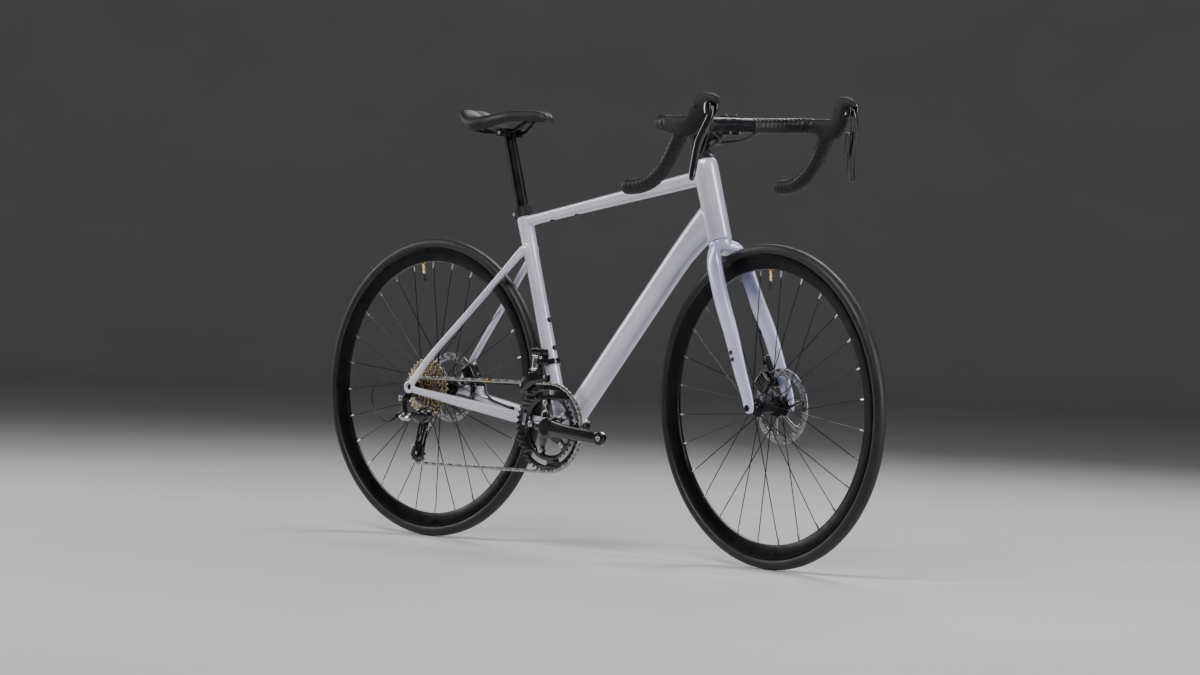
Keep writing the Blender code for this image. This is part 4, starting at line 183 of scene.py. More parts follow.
def smooth_value(b, s, e, a, t):
    """The value at t from s to e, on a curve that comes from b and goes on to a."""
    return 0.5 * (2 * s + (e - b) * t + (2 * b - 5 * s + 4 * e - a) * t**2 + (a - b + 3 * (s - e)) * t**3)


def finer(stations, pieces):
    """More stations between the given ones, on a smooth curve through them all."""
    rows = [tuple(row) for row in stations]
    first = tuple(2.0 * a - b for a, b in zip(rows[0], rows[1]))
    last = tuple(2.0 * a - b for a, b in zip(rows[-1], rows[-2]))
    padded = [first, *rows, last]
    made = [rows[0]]
    for before, start, end, after in zip(padded, padded[1:], padded[2:], padded[3:]):
        for i in range(1, pieces + 1):
            t = i / pieces
            made.append(tuple(smooth_value(*four, t) for four in zip(before, start, end, after)))
    return made


def swept(stations, pieces=6, sides=32, squareness=2.0, rounded=0.0):
    """A tube along stations of (X, Y, Z, half width, half height), each square to the path there.

    With rounded, its two ends close in domes of that length."""
    rows = finer(stations, pieces)
    centres = [Vector(row[:3]) for row in rows]
    rings = []
    for i, row in enumerate(rows):
        ahead = centres[min(i + 1, len(rows) - 1)] - centres[max(i - 1, 0)]
        rings.append(section(centres[i], ahead, row[3], row[4], sides, squareness))
    if rounded:
        for end, out in ((0, centres[0] - centres[1]), (-1, centres[-1] - centres[-2])):
            middle, ring = centres[end], rings[end]
            for step in (1, 2, 3, 4):
                angle = math.pi / 2.0 * step / 4
                shift = out.normalized() * rounded * math.sin(angle)
                smaller = [middle + (p - middle) * max(0.02, math.cos(angle)) + shift for p in ring]
                rings.insert(0 if end == 0 else len(rings), smaller)
    return skin(rings)


def turned(profile, origin, axis, steps=48, closed=False):
    """A profile of (distance along the axis, radius) points, turned about the axis."""
    direction = Vector(axis).normalized()
    across, rise = basis(direction)
    rings = []
    for along, radius in profile:
        ring = []
        for i in range(steps):
            angle = 2.0 * math.pi * i / steps
            ring.append(
                origin + direction * along + (across * math.cos(angle) + rise * math.sin(angle)) * radius
            )
        rings.append(ring)
    return skin(rings, closed)


def drum(start, end, radius, inner=0.0):
    """The profile of a plain disc or ring between two distances along its axis."""
    return [(start, inner), (start, radius), (end, radius), (end, inner)]


def rounded_profile(points, radius):
    """The profile with each inner corner replaced by a short arc."""
    made = [points[0]]
    for before, corner, after in zip(points, points[1:], points[2:]):
        corner = Vector(corner)
        back, ahead = Vector(before) - corner, Vector(after) - corner
        reach = min(radius, back.length * 0.45, ahead.length * 0.45)
        start, end = corner + back.normalized() * reach, corner + ahead.normalized() * reach
        for t in (0.0, 1.0 / 3.0, 2.0 / 3.0, 1.0):
            made.append(tuple(start * (1 - t) ** 2 + corner * 2 * t * (1 - t) + end * t**2))
    return [*made, points[-1]]


def rod(start, end, radius, sides=24, end_radius=None, edge=0.0):
    """A cylinder or cone between two points, its rims bevelled."""
    deselect()
    start, end = Vector(start), Vector(end)
    direction = end - start
    across, rise = basis(direction)
    turn = Matrix((across, rise, direction.normalized())).transposed().to_euler()
    bpy.ops.mesh.primitive_cone_add(
        vertices=sides, radius1=radius, radius2=radius if end_radius is None else end_radius,
        depth=direction.length, location=(start + end) / 2.0, rotation=turn
    )
    obj = bpy.context.active_object
    bpy.ops.object.transform_apply(location=True, rotation=True, scale=True)
    return bevelled(obj, edge) if edge else obj


def crosswise(point, start, end, radius, sides=24, edge=0.0):
    """A rod along Y between two distances to the left of a point."""
    return rod(point + LEFT * start, point + LEFT * end, radius, sides, edge=edge)


def block(centre, size, turn=None, edge=0.0, segments=3):
    """A box by its centre and full sizes, turned if a rotation is given, its edges bevelled."""
    deselect()
    bpy.ops.mesh.primitive_cube_add(size=1.0)
    obj = bpy.context.active_object
    turn = turn or Matrix.Identity(4)
    obj.data.transform(Matrix.Translation(Vector(centre)) @ turn @ Matrix.Diagonal((*size, 1.0)))
    return bevelled(obj, edge, segments) if edge else obj


def lean(direction):
    """The rotation that takes +Z to a direction in the middle plane."""
    across, rise = basis(direction)
    return Matrix((rise, -across, Vector(direction).normalized())).transposed().to_4x4()


def apply_modifier(obj, kind, **settings):
    """Adds one modifier with its settings and applies it."""
    pick(obj)
    made = obj.modifiers.new("step", kind)
    for name, value in settings.items():
        setattr(made, name, value)
    bpy.ops.object.modifier_apply(modifier=made.name)
    return obj


def bevelled(obj, width, segments=3):
    return apply_modifier(
        obj, "BEVEL", width=width, segments=segments, limit_method="ANGLE", angle_limit=math.radians(35.0)
    )


def rounder(obj):
    return apply_modifier(obj, "SUBSURF", levels=1, render_levels=1)


def joined(objs):
    """Several shapes made one object."""
    pick(*objs)
    if len(objs) > 1:
        bpy.ops.object.join()
    return objs[0]


def fused(objs, voxel, rounds=4):
    """Several closed shapes grown into one skin, with a small fillet where they meet."""
    obj = joined(objs)
    apply_modifier(obj, "REMESH", mode="VOXEL", voxel_size=voxel, adaptivity=0.0)
    return apply_modifier(obj, "SMOOTH", factor=0.5, iterations=rounds)


def drilled(obj, tools, solver="EXACT"):
    """The object with the tools cut out of it."""
    tool = joined(tools)
    apply_modifier(
        obj, "BOOLEAN", operation="DIFFERENCE", solver=solver, object=tool, use_self=len(tools) > 1
    )
    bpy.data.objects.remove(tool)
    return obj


def bored(obj, *tools):
    """The object with tools cut out one after another by the quick solver."""
    for tool in tools:
        drilled(obj, [tool], "FAST")
    return obj


def copied(obj, place):
    """A copy with its own mesh, moved by a matrix."""
    twin = obj.copy()
    twin.data = obj.data.copy()
    bpy.context.collection.objects.link(twin)
    twin.data.transform(place)
    if place.is_negative:
        twin.data.flip_normals()
    return twin


def around(obj, count, origin):
    """The shape repeated round an axle."""
    copies = []
    for i in range(1, count):
        turn = Matrix.Rotation(2.0 * math.pi * i / count, 4, LEFT)
        copies.append(copied(obj, Matrix.Translation(origin) @ turn @ Matrix.Translation(-origin)))
    return joined([obj, *copies])


def path_frames(points):
    """At each point of a path its direction and two square vectors that turn as little as possible."""
    frames = []
    across = None
    for i, point in enumerate(points):
        ahead = (points[min(i + 1, len(points) - 1)] - points[max(i - 1, 0)]).normalized()
        if across is None:
            across = basis(ahead)[0]
        across = (across - ahead * across.dot(ahead)).normalized()
        frames.append((point, ahead, across, ahead.cross(across)))
    return frames


def tube(points, radius, sides=12, swell=None):
    """A round tube along points; swell gives the radius at each share of its length and turn."""
    rings = []
    frames = path_frames([Vector(point) for point in points])
    travelled = 0.0
    for i, (point, _, across, rise) in enumerate(frames):
        if i:
            travelled += (point - frames[i - 1][0]).length
        ring = []
        for j in range(sides):
            angle = 2.0 * math.pi * j / sides
            reach = radius if swell is None else swell(travelled, angle)
            ring.append(point + (across * math.cos(angle) + rise * math.sin(angle)) * reach)
        rings.append(ring)
    return skin(rings)


def plate(outlines, y, half, edge=0.0003):
    """A flat plate in the X-Z plane at a given Y with rounded edges; outlines inside others are holes."""
    deselect()
    curve = bpy.data.curves.new("plate", "CURVE")
    curve.dimensions = "2D"
    curve.fill_mode = "BOTH"
    curve.extrude = half - edge
    curve.bevel_depth = edge
    curve.bevel_resolution = 1
    curve.offset = -edge
    for outline in outlines:
        spline = curve.splines.new("POLY")
        spline.points.add(len(outline) - 1)
        for i, (x, z) in enumerate(outline):
            spline.points[i].co = (x, z, 0.0, 1.0)
        spline.use_cyclic_u = True
    obj = bpy.data.objects.new("plate", curve)
    bpy.context.collection.objects.link(obj)
    pick(obj)
    bpy.ops.object.convert(target="MESH")
    obj = bpy.context.active_object
    obj.data.transform(Matrix.Translation((0.0, y, 0.0)) @ Matrix.Rotation(math.pi / 2.0, 4, "X"))
    return tidy_mesh(obj)


def flat(points):
    """Points as an outline in the X-Z plane."""
    return [(point.x, point.z) for point in points]


def circle(centre, radius, sides=24):
    """A round outline in the X-Z plane."""
    turn = 2.0 * math.pi / sides
    return [
        (centre[0] + radius * math.cos(turn * i), centre[1] + radius * math.sin(turn * i))
        for i in range(sides)
    ]


def socket_bolt(centre, direction, radius, height):
    """A socket-head bolt that stands on a face: a rounded rim round a round recess."""
    direction = Vector(direction).normalized()
    centre = Vector(centre)
    depth = height * 0.7
    profile = rounded_profile(
        [(-0.001, 0.0), (-0.001, radius), (height, radius), (height, radius * 0.62)], radius * 0.18
    )
    rings = [*profile, (height - depth, radius * 0.56), (height - depth, 0.0)]
    return turned(rings, centre, direction, 18)


# Finishes


def look(name, colour, roughness, metallic=0.0, coat=0.0, coat_roughness=0.06):
    """A Principled finish; what is the same all over stands on the shader's own sockets."""
    made = bpy.data.materials.new(name)
    made.use_nodes = True
    shader = made.node_tree.nodes["Principled BSDF"]
    shader.inputs["Base Color"].default_value = (*colour, 1.0)
    shader.inputs["Roughness"].default_value = roughness
    shader.inputs["Metallic"].default_value = metallic
    shader.inputs["Coat Weight"].default_value = coat
    shader.inputs["Coat Roughness"].default_value = coat_roughness
    made.diffuse_color = (*colour, 1.0)
    return made


def node(made, kind, **settings):
    """A node with its settings; a value for a socket is given by the socket's name."""
    new = made.node_tree.nodes.new(kind)
    for name, value in settings.items():
        if hasattr(new, name):
            setattr(new, name, value)
        else:
            new.inputs[name.replace("_", " ")].default_value = value
    return new


def wire(made, start, end):
    made.node_tree.links.new(start, end)


def place_on(made, scale=(1.0, 1.0, 1.0), location=(0.0, 0.0, 0.0), source="Object"):
    """Object coordinates or the piece's own UV map, through a Mapping node."""
    coordinates = node(made, "ShaderNodeTexCoord")
    mapping = node(made, "ShaderNodeMapping")
    mapping.inputs["Location"].default_value = location
    mapping.inputs["Scale"].default_value = scale
    wire(made, coordinates.outputs[source], mapping.inputs["Vector"])
    return mapping.outputs["Vector"]


def texture(made, kind, vector=None, **settings):
    """A texture node on the piece's object coordinates, or on the vector given."""
    new = node(made, kind, **settings)
    wire(made, vector or place_on(made), new.inputs["Vector"])
    return new


def ramp(made, factor, stops):
    """A colour ramp over a factor; each stop is (position, colour)."""
    band = node(made, "ShaderNodeValToRGB")
    band.color_ramp.elements[0].position = stops[0][0]
    band.color_ramp.elements[0].color = (*stops[0][1], 1.0)
    band.color_ramp.elements[1].position = stops[-1][0]
    band.color_ramp.elements[1].color = (*stops[-1][1], 1.0)
    for position, colour in stops[1:-1]:
        band.color_ramp.elements.new(position).color = (*colour, 1.0)
    wire(made, factor, band.inputs["Fac"])
    return band.outputs["Color"]


def shader_of(made):
    return made.node_tree.nodes["Principled BSDF"]


def shade(colour, factor):
    """The colour made darker or lighter."""
    return tuple(c * factor for c in colour)


def cloudy(made, scale, low, high, vector=None):
    """The base colour drifts between two colours."""
    noise = texture(made, "ShaderNodeTexNoise", vector, Scale=scale, Detail=4.0)
    colours = ramp(made, noise.outputs["Fac"], [(0.35, low), (0.65, high)])
    wire(made, colours, shader_of(made).inputs["Base Color"])
    return made


def uneven(made, scale, low, high):
    """The roughness varies between two values, as wear and wiping leave it."""
    noise = texture(made, "ShaderNodeTexNoise", Scale=scale, Detail=6.0)
    spread = node(made, "ShaderNodeMapRange", To_Min=low, To_Max=high)
    spread.inputs["From Min"].default_value = 0.3
    spread.inputs["From Max"].default_value = 0.7
    wire(made, noise.outputs["Fac"], spread.inputs["Value"])
    wire(made, spread.outputs["Result"], shader_of(made).inputs["Roughness"])
    return made


def bumped(made, height, strength, depth):
    """One bump laid over those before it."""
    shader = shader_of(made)
    bump = node(made, "ShaderNodeBump", Strength=strength, Distance=depth)
    wire(made, height, bump.inputs["Height"])
    before = shader.inputs["Normal"].links
    if before:
        wire(made, before[0].from_socket, bump.inputs["Normal"])
    wire(made, bump.outputs["Normal"], shader.inputs["Normal"])
    return made


def grained(made, scale, strength, depth):
    noise = texture(made, "ShaderNodeTexNoise", Scale=scale, Detail=3.0)
    return bumped(made, noise.outputs["Fac"], strength, depth)


def pebbled(made, scale, strength):
    """Small rounded cells, as on moulded rubber, leather grain or fine leatherette."""
    cells = texture(made, "ShaderNodeTexVoronoi", Scale=scale, feature="SMOOTH_F1")
    return bumped(made, cells.outputs["Distance"], strength, 0.0003)


def pearl_paint(name, low, high, settings):
    """Gloss pearl: a bright base with fine flake under a clear coat."""
    made = look(name, high, settings.paint_roughness, 0.22, 1.0, 0.05)
    flake = texture(made, "ShaderNodeTexVoronoi", Scale=2600.0)
    drift = texture(made, "ShaderNodeTexNoise", Scale=7.0, Detail=3.0)
    mixed = node(made, "ShaderNodeMath", operation="MULTIPLY_ADD")
    wire(made, flake.outputs["Distance"], mixed.inputs[0])
    mixed.inputs[1].default_value = 0.3
    wire(made, drift.outputs["Fac"], mixed.inputs[2])
    stops = [(0.4, low), (0.78, high)]
    wire(made, ramp(made, mixed.outputs["Value"], stops), shader_of(made).inputs["Base Color"])
    return grained(made, 260.0, 0.05, 0.00008)


def anodised(name, colour, roughness, grain=1800.0):
    made = look(name, colour, roughness, 0.85)
    cloudy(made, 30.0, shade(colour, 0.75), shade(colour, 1.3))
    uneven(made, 45.0, roughness - 0.06, roughness + 0.08)
    return grained(made, grain, 0.1, 0.00005)


def gloss_black(name):
    made = look(name, (0.006, 0.006, 0.007), 0.2, 0.0, 1.0, 0.04)
    shader_of(made).inputs["Specular IOR Level"].default_value = 0.3
    cloudy(made, 40.0, (0.004, 0.004, 0.005), (0.01, 0.01, 0.012))
    uneven(made, 60.0, 0.16, 0.28)
    return grained(made, 700.0, 0.04, 0.00004)


def bare_metal(name, low, high, roughness):
    made = look(name, high, roughness, 1.0)
    cloudy(made, 12.0, low, high, place_on(made, (60.0, 60.0, 60.0)))
    uneven(made, 90.0, max(0.05, roughness - 0.08), roughness + 0.1)
    return grained(made, 1400.0, 0.1, 0.00003)


def rubber(name, colour, cells, strength, roughness=0.62):
    made = look(name, colour, roughness)
    shader_of(made).inputs["Specular IOR Level"].default_value = 0.38
    cloudy(made, 22.0, shade(colour, 0.8), shade(colour, 1.25))
    uneven(made, 35.0, roughness - 0.07, roughness + 0.09)
    pebbled(made, cells, strength)
    return made


def tyre_looks():
    """The slick crown and the threaded sidewall of a tyre, both read from the tyre's own UV map."""
    looks = []
    for name, colour, roughness in (
        ("tyre_tread", (0.012, 0.012, 0.013), 0.52), ("tyre_sidewall", (0.01, 0.01, 0.011), 0.46)
    ):
        made = look(name, colour, roughness)
        shader_of(made).inputs["Specular IOR Level"].default_value = 0.42
        cloudy(made, 16.0, shade(colour, 0.75), shade(colour, 1.3))
        uneven(made, 24.0, roughness - 0.08, roughness + 0.08)
        looks.append(made)
    around_tyre = place_on(looks[0], (260.0, 48.0, 1.0), source="UV")
    cut_marks = texture(looks[0], "ShaderNodeTexChecker", around_tyre, Scale=1.0)
    bumped(looks[0], cut_marks.outputs["Fac"], 0.1, 0.00008)
    grained(looks[0], 900.0, 0.15, 0.00008)
    around_tyre = place_on(looks[1], (420.0, 140.0, 1.0), source="UV")
    threads = texture(looks[1], "ShaderNodeTexWave", around_tyre, Scale=1.0, Distortion=0.6)
    threads.bands_direction = "DIAGONAL"
    bumped(looks[1], threads.outputs["Fac"], 0.2, 0.0001)
    return looks


def rotor_look(name, centre):
    """Stainless steel with the fine rings that the pads polish into it."""
    made = look(name, (0.36, 0.37, 0.38), 0.22, 1.0)
    shader_of(made).inputs["Anisotropic"].default_value = 0.35
    around_hub = place_on(made, location=-centre)
    waves = texture(made, "ShaderNodeTexWave", around_hub, Scale=420.0, Distortion=2.0, Detail=3.0)
    waves.wave_type = "RINGS"
    waves.rings_direction = "Y"
    stops = [(0.2, (0.2, 0.2, 0.21)), (0.8, (0.46, 0.46, 0.48))]
    wire(made, ramp(made, waves.outputs["Fac"], stops), shader_of(made).inputs["Base Color"])
    uneven(made, 70.0, 0.16, 0.34)
    return bumped(made, waves.outputs["Fac"], 0.12, 0.00003)


LOOKS = {}


def make_looks():
    """Every finish on the bike, made once."""
    colours = bpy.context.scene.bike_colours
    LOOKS.update(
        frame_paint=pearl_paint("frame_paint", tuple(colours.frame_shade), tuple(colours.frame), colours),
        fork_paint=pearl_paint("fork_paint", tuple(colours.fork_shade), tuple(colours.fork), colours),
        satin_black=anodised("satin_black", (0.014, 0.014, 0.016), 0.36),
        bead_black=anodised("bead_blasted_black", (0.026, 0.026, 0.029), 0.5, 900.0),
        rim_black=anodised("rim_black", (0.01, 0.01, 0.012), 0.32), gloss_black=gloss_black("gloss_black"),
        hood_rubber=rubber("hood_rubber", (0.009, 0.009, 0.009), 900.0, 0.2),
        hose_black=rubber("hose_black", (0.016, 0.016, 0.017), 1500.0, 0.08, 0.42),
        plastic_black=rubber("plastic_black", (0.02, 0.02, 0.022), 1600.0, 0.12, 0.45),
        pulley_plastic=rubber("pulley_plastic", (0.03, 0.03, 0.033), 1200.0, 0.12, 0.5),
        tape=rubber("bar_tape", (0.009, 0.009, 0.009), 1250.0, 0.16, 0.44),
        saddle_cover=rubber("saddle_cover", (0.013, 0.0125, 0.014), 1050.0, 0.2, 0.5),
        steel=bare_metal("brushed_steel", (0.42, 0.42, 0.43), (0.62, 0.62, 0.63), 0.3),
        bolt_steel=bare_metal("bolt_steel", (0.5, 0.5, 0.52), (0.72, 0.72, 0.74), 0.24),
        dark_steel=bare_metal("dark_steel", (0.1, 0.1, 0.11), (0.2, 0.2, 0.21), 0.34),
        chain_steel=bare_metal("chain_steel", (0.34, 0.33, 0.31), (0.62, 0.6, 0.57), 0.28),
        nickel=bare_metal("sprocket_nickel", (0.34, 0.29, 0.21), (0.58, 0.5, 0.37), 0.26),
        gold=bare_metal("link_gold", (0.6, 0.42, 0.16), (0.8, 0.58, 0.24), 0.22),
        brass=bare_metal("valve_brass", (0.52, 0.34, 0.16), (0.72, 0.5, 0.26), 0.26),
        spoke_black=anodised("spoke_black", (0.016, 0.016, 0.018), 0.3),
        lining=rubber("pad_lining", (0.1, 0.08, 0.07), 2200.0, 0.4, 0.85),
        screw_red=anodised("screw_red", (0.42, 0.02, 0.02), 0.3),
        front_rotor=rotor_look("front_rotor_steel", STEERED @ (FRONT_AXLE + LEFT * FRONT_ROTOR_Y)),
        rear_rotor=rotor_look("rear_rotor_steel", LEFT * REAR_ROTOR_Y)
    )
    LOOKS["tread"], LOOKS["sidewall"] = tyre_looks()


TURNED_WITH_BAR = ("steering", "front_wheel", "front_pad", "brake_lever", "shift_paddle")


def finished(obj, name, finish, body, stands_for=(), sharp=35.0):
    """Names a piece, gives it its finish and its shading, and sets it riding on its body."""
    if body.startswith(TURNED_WITH_BAR):
        obj.data.transform(STEERED)
    obj.name = name
    obj.data.name = name
    if finish is not None:
        obj.data.materials.clear()
        obj.data.materials.append(LOOKS[finish])
    pick(obj)
    bpy.ops.object.shade_smooth_by_angle(angle=math.radians(sharp))
    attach(obj, body)
    if stands_for:
        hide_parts(*([stands_for] if isinstance(stands_for, str) else stands_for))
    return obj


# The frame and the fork

# The stays from axle to frame: (X, distance from the middle plane, Z, half width, half height)
CHAINSTAY = (
    (0.004, 0.0775, -0.0045, 0.0055, 0.008), (0.08, 0.0665, -0.0174, 0.0078, 0.0095),
    (0.13, 0.0585, -0.0258, 0.0085, 0.0109), (0.22, 0.045, -0.0405, 0.0082, 0.0125),
    (0.3, 0.034, -0.054, 0.0075, 0.0137), (0.375, 0.024, -0.066, 0.0085, 0.014),
    (0.405, 0.02, -0.0705, 0.0085, 0.013)
)
SEATSTAY = (
    (0.004, 0.0785, 0.006, 0.005, 0.0095), (0.06, 0.069, 0.0755, 0.0072, 0.0074),
    (0.15, 0.049, 0.171, 0.0072, 0.0072), (0.24, 0.0295, 0.2668, 0.0078, 0.0078),
    (0.2835, 0.02, 0.313, 0.0085, 0.0095), (0.293, 0.012, 0.323, 0.0085, 0.01)
)
# Along the down tube: (distance, lift of the centre, half width, half height)
DOWN_TUBE = (
    (0.0, 0.0, 0.024, 0.023), (0.06, 0.0, 0.025, 0.025), (0.45, 0.0, 0.0255, 0.0255),
    (0.53, -0.0025, 0.0258, 0.028), (0.572, -0.0062, 0.0255, 0.031), (0.622, -0.0095, 0.0235, 0.0325)
)
DOWN_START = Vector((0.415, 0.0, -0.077))
DOWN_ANGLE = math.radians(50.2)
TOP_REAR = Vector((0.283, 0.0, 0.3815))
TOP_FRONT = Vector((0.808, 0.0, 0.4812))
TOP_ALONG = (TOP_FRONT - TOP_REAR).normalized()
TOP_UNDER = Vector((TOP_ALONG.z, 0.0, -TOP_ALONG.x))
DROPOUT_INNER = 0.0745
DROPOUT_OUTER = 0.083
# The seat collar: the middle of its height on the seat tube, and its lug's distance behind the axis
COLLAR_MIDDLE = 0.4937
COLLAR_LUG = -0.0212


def frame_tubes():
    """The tubes and stays as separate closed skins."""
    seat = [
        (*seat_point(d), r, r) for d, r in ((0.0, 0.0165), (0.2, 0.0165), (0.36, 0.0165), (0.478, 0.018))
    ]
    tubes = [swept(seat, 3, 48), turned(drum(0.474, 0.4915, 0.0163), BRACKET, SEAT_AXIS)]
    along = outward(DOWN_ANGLE)
    rise = quarter_turn(along)
    down = [(*(DOWN_START + along * d + rise * lift), w, h) for d, lift, w, h in DOWN_TUBE]
    tubes.append(swept(down, 6, 64, 2.2))
    top = [(*TOP_REAR.lerp(TOP_FRONT, s), 0.016 + 0.002 * s, 0.0105 + 0.006 * s) for s in (0.0, 0.5, 1.0)]
    tubes.append(swept(top, 6, 56, 2.6))
    head = [
        (0.0, 0.0), (0.0, 0.0254), (0.0015, 0.026), (0.03, 0.0262), (0.08, 0.0265), (0.14, 0.0272),
        (0.16, 0.0275), (0.166, 0.0272), (0.1725, 0.026), (0.178, 0.0242), (0.1785, 0.0)
    ]
    tubes.append(turned(head, head_point(HEAD_BOTTOM), HEAD_AXIS, 72))
    shell = [
        (-0.034, 0.0), (-0.034, 0.0222), (-0.0335, 0.0225), (0.0335, 0.0225), (0.034, 0.0222), (0.034, 0.0)
    ]
    tubes.append(turned(shell, BRACKET, LEFT, 64))
    for side in (-1.0, 1.0):
        for stations in (CHAINSTAY, SEATSTAY):
            rows = [(x, side * y, z, w, h) for x, y, z, w, h in stations]
            tubes.append(swept(rows, 6, 32, 2.4))
    return tubes


def frame_bores():
    seat = rod(seat_point(0.13), seat_point(0.52), 0.0139, 48)
    head = turned(
        [
            (0.36, 0.0), (0.36, 0.0232), (0.3837, 0.0232), (0.3837, 0.019), (0.5438, 0.019),
            (0.5438, 0.0207), (0.56, 0.0207), (0.56, 0.0)
        ],
        HEAD_FOOT, HEAD_AXIS, 48
    )
    bracket = crosswise(BRACKET, -0.05, 0.05, 0.0174, 48)
    return [seat, head, bracket]


def dropout_shape(side):
    """A ring-shaped dropout plate, dished on the right where the axle's end shows."""
    inner, outer = side * DROPOUT_INNER, side * DROPOUT_OUTER
    profile = [
        (inner, 0.0065), (inner, 0.0136), (inner + side * 0.0006, 0.014), (outer - side * 0.0016, 0.014),
        (outer - side * 0.0005, 0.0136), (outer, 0.0124), (outer, 0.0096), (outer - side * 0.0008, 0.0089)
    ]
    if side < 0.0:
        profile += [(outer - side * 0.004, 0.0086), (outer - side * 0.0042, 0.0065)]
    else:
        profile = [*profile[:-2], (outer, 0.0072), (outer, 0.0065)]
    return turned(profile, ORIGIN, LEFT, 48, closed=True)


def weld_bead(centre, direction, half_width, half_height, thick, squareness=2.2):
    """A low rounded bead round a tube where it is welded."""
    along = Vector(direction).normalized()
    rings = []
    for i in range(8):
        angle = 2.0 * math.pi * i / 8
        grow = thick * math.cos(angle)
        middle = Vector(centre) + along * thick * 1.6 * math.sin(angle)
        rings.append(section(middle, along, half_width + grow, half_height + grow, 48, squareness))
    return skin(rings, closed=True)


def bolted(name, body, place, direction, radius, height, finish="bolt_steel"):
    """A finished bolt as a piece of its own."""
    finished(socket_bolt(place, direction, radius, height), name, finish, body)


def boss_bolt(foot, direction, name):
    """A bottle boss: a low flange with a small socket bolt in it."""
    flange = turned(rounded_profile(drum(-0.001, 0.0018, 0.0056), 0.0006), foot, direction, 24)
    finished(flange, f"{name}_flange", "satin_black", "frame")
    bolted(f"{name}_bolt", "frame", foot + direction * 0.0016, direction, 0.0038, 0.0022, "dark_steel")


# A fork blade from crown to axle: (X, Z, distance from the middle plane, half width, half depth)
FORK_BLADE = (
    (0.8625, 0.327, 0.03, 0.0085, 0.0185), (0.876, 0.295, 0.0412, 0.0102, 0.021),
    (0.908, 0.22, 0.0484, 0.0102, 0.0205), (0.9437, 0.151, 0.0538, 0.0095, 0.019),
    (0.975, 0.075, 0.0568, 0.0082, 0.0168), (0.995, 0.03, 0.0576, 0.0072, 0.015),
    (1.003, 0.002, 0.0573, 0.0067, 0.0136), (1.005, -0.0095, 0.0571, 0.006, 0.0085)
)


def fork_crown():
    middle = head_point(0.3595)
    blade = Vector((0.863, 0.0, 0.327))
    stations = [
        (-0.0368, 1.2, 0.0045, 0.01), (-0.0325, 1.1, 0.0105, 0.016), (-0.018, 0.45, 0.0142, 0.0225),
        (0.0, 0.0, 0.0143, 0.0245), (0.018, 0.45, 0.0142, 0.0225), (0.0325, 1.1, 0.0105, 0.016),
        (0.0368, 1.2, 0.0045, 0.01)
    ]
    rings = []
    for y, share, half_up, half_fore in finer(stations, 5):
        centre = middle.lerp(blade, share)
        centre.y = y
        rings.append(oval(centre, HEAD_FORWARD * half_fore, HEAD_AXIS * half_up, 40, 0.85))
    return skin(rings)


class BIKE_OT_frame(bpy.types.Operator):
    """Model the welded frame with its dropouts, weld beads and bosses"""

    bl_idname = "bike.frame"
    bl_label = "Frame"

    def execute(self, context):
        shell = fused(frame_tubes(), context.scene.bike_sizes.frame_voxel, 10)
        drilled(shell, frame_bores(), "FAST")
        plates = [dropout_shape(-1.0), dropout_shape(1.0)]
        pad = block((0.055, 0.067, -0.0045), (0.066, 0.014, 0.021), edge=0.003)
        beads = [
            weld_bead(seat_point(0.0215), SEAT_AXIS, 0.016, 0.016, 0.0016, 2.0),
            weld_bead(TOP_REAR + TOP_ALONG * 0.0185, TOP_ALONG, 0.0155, 0.0102, 0.0014, 2.6),
            weld_bead(TOP_FRONT - TOP_ALONG * 0.03, TOP_ALONG, 0.0175, 0.016, 0.0014, 2.6)
        ]
        piece = joined([shell, *plates, pad, *beads])
        finished(piece, "welded_frame", "frame_paint", "frame", "frame", sharp=40.0)
        for name, distance in (("bottle_lower", 0.177), ("bottle_upper", 0.241)):
            boss_bolt(seat_point(distance, 0.0172), SEAT_FORWARD, name)
        for name, share in (("bag_rear", 0.135), ("bag_front", 0.275)):
            foot = TOP_REAR.lerp(TOP_FRONT, share) + TOP_UNDER * (0.0107 + 0.006 * share)
            boss_bolt(foot, TOP_UNDER, name)
        for name, (x, z) in (("stay_screw_upper", (0.0905, 0.111)), ("stay_screw_lower", (0.0805, 0.1))):
            bolted(name, "frame", (x, 0.069, z), LEFT, 0.0027, 0.0014, "screw_red")
        return {"FINISHED"}


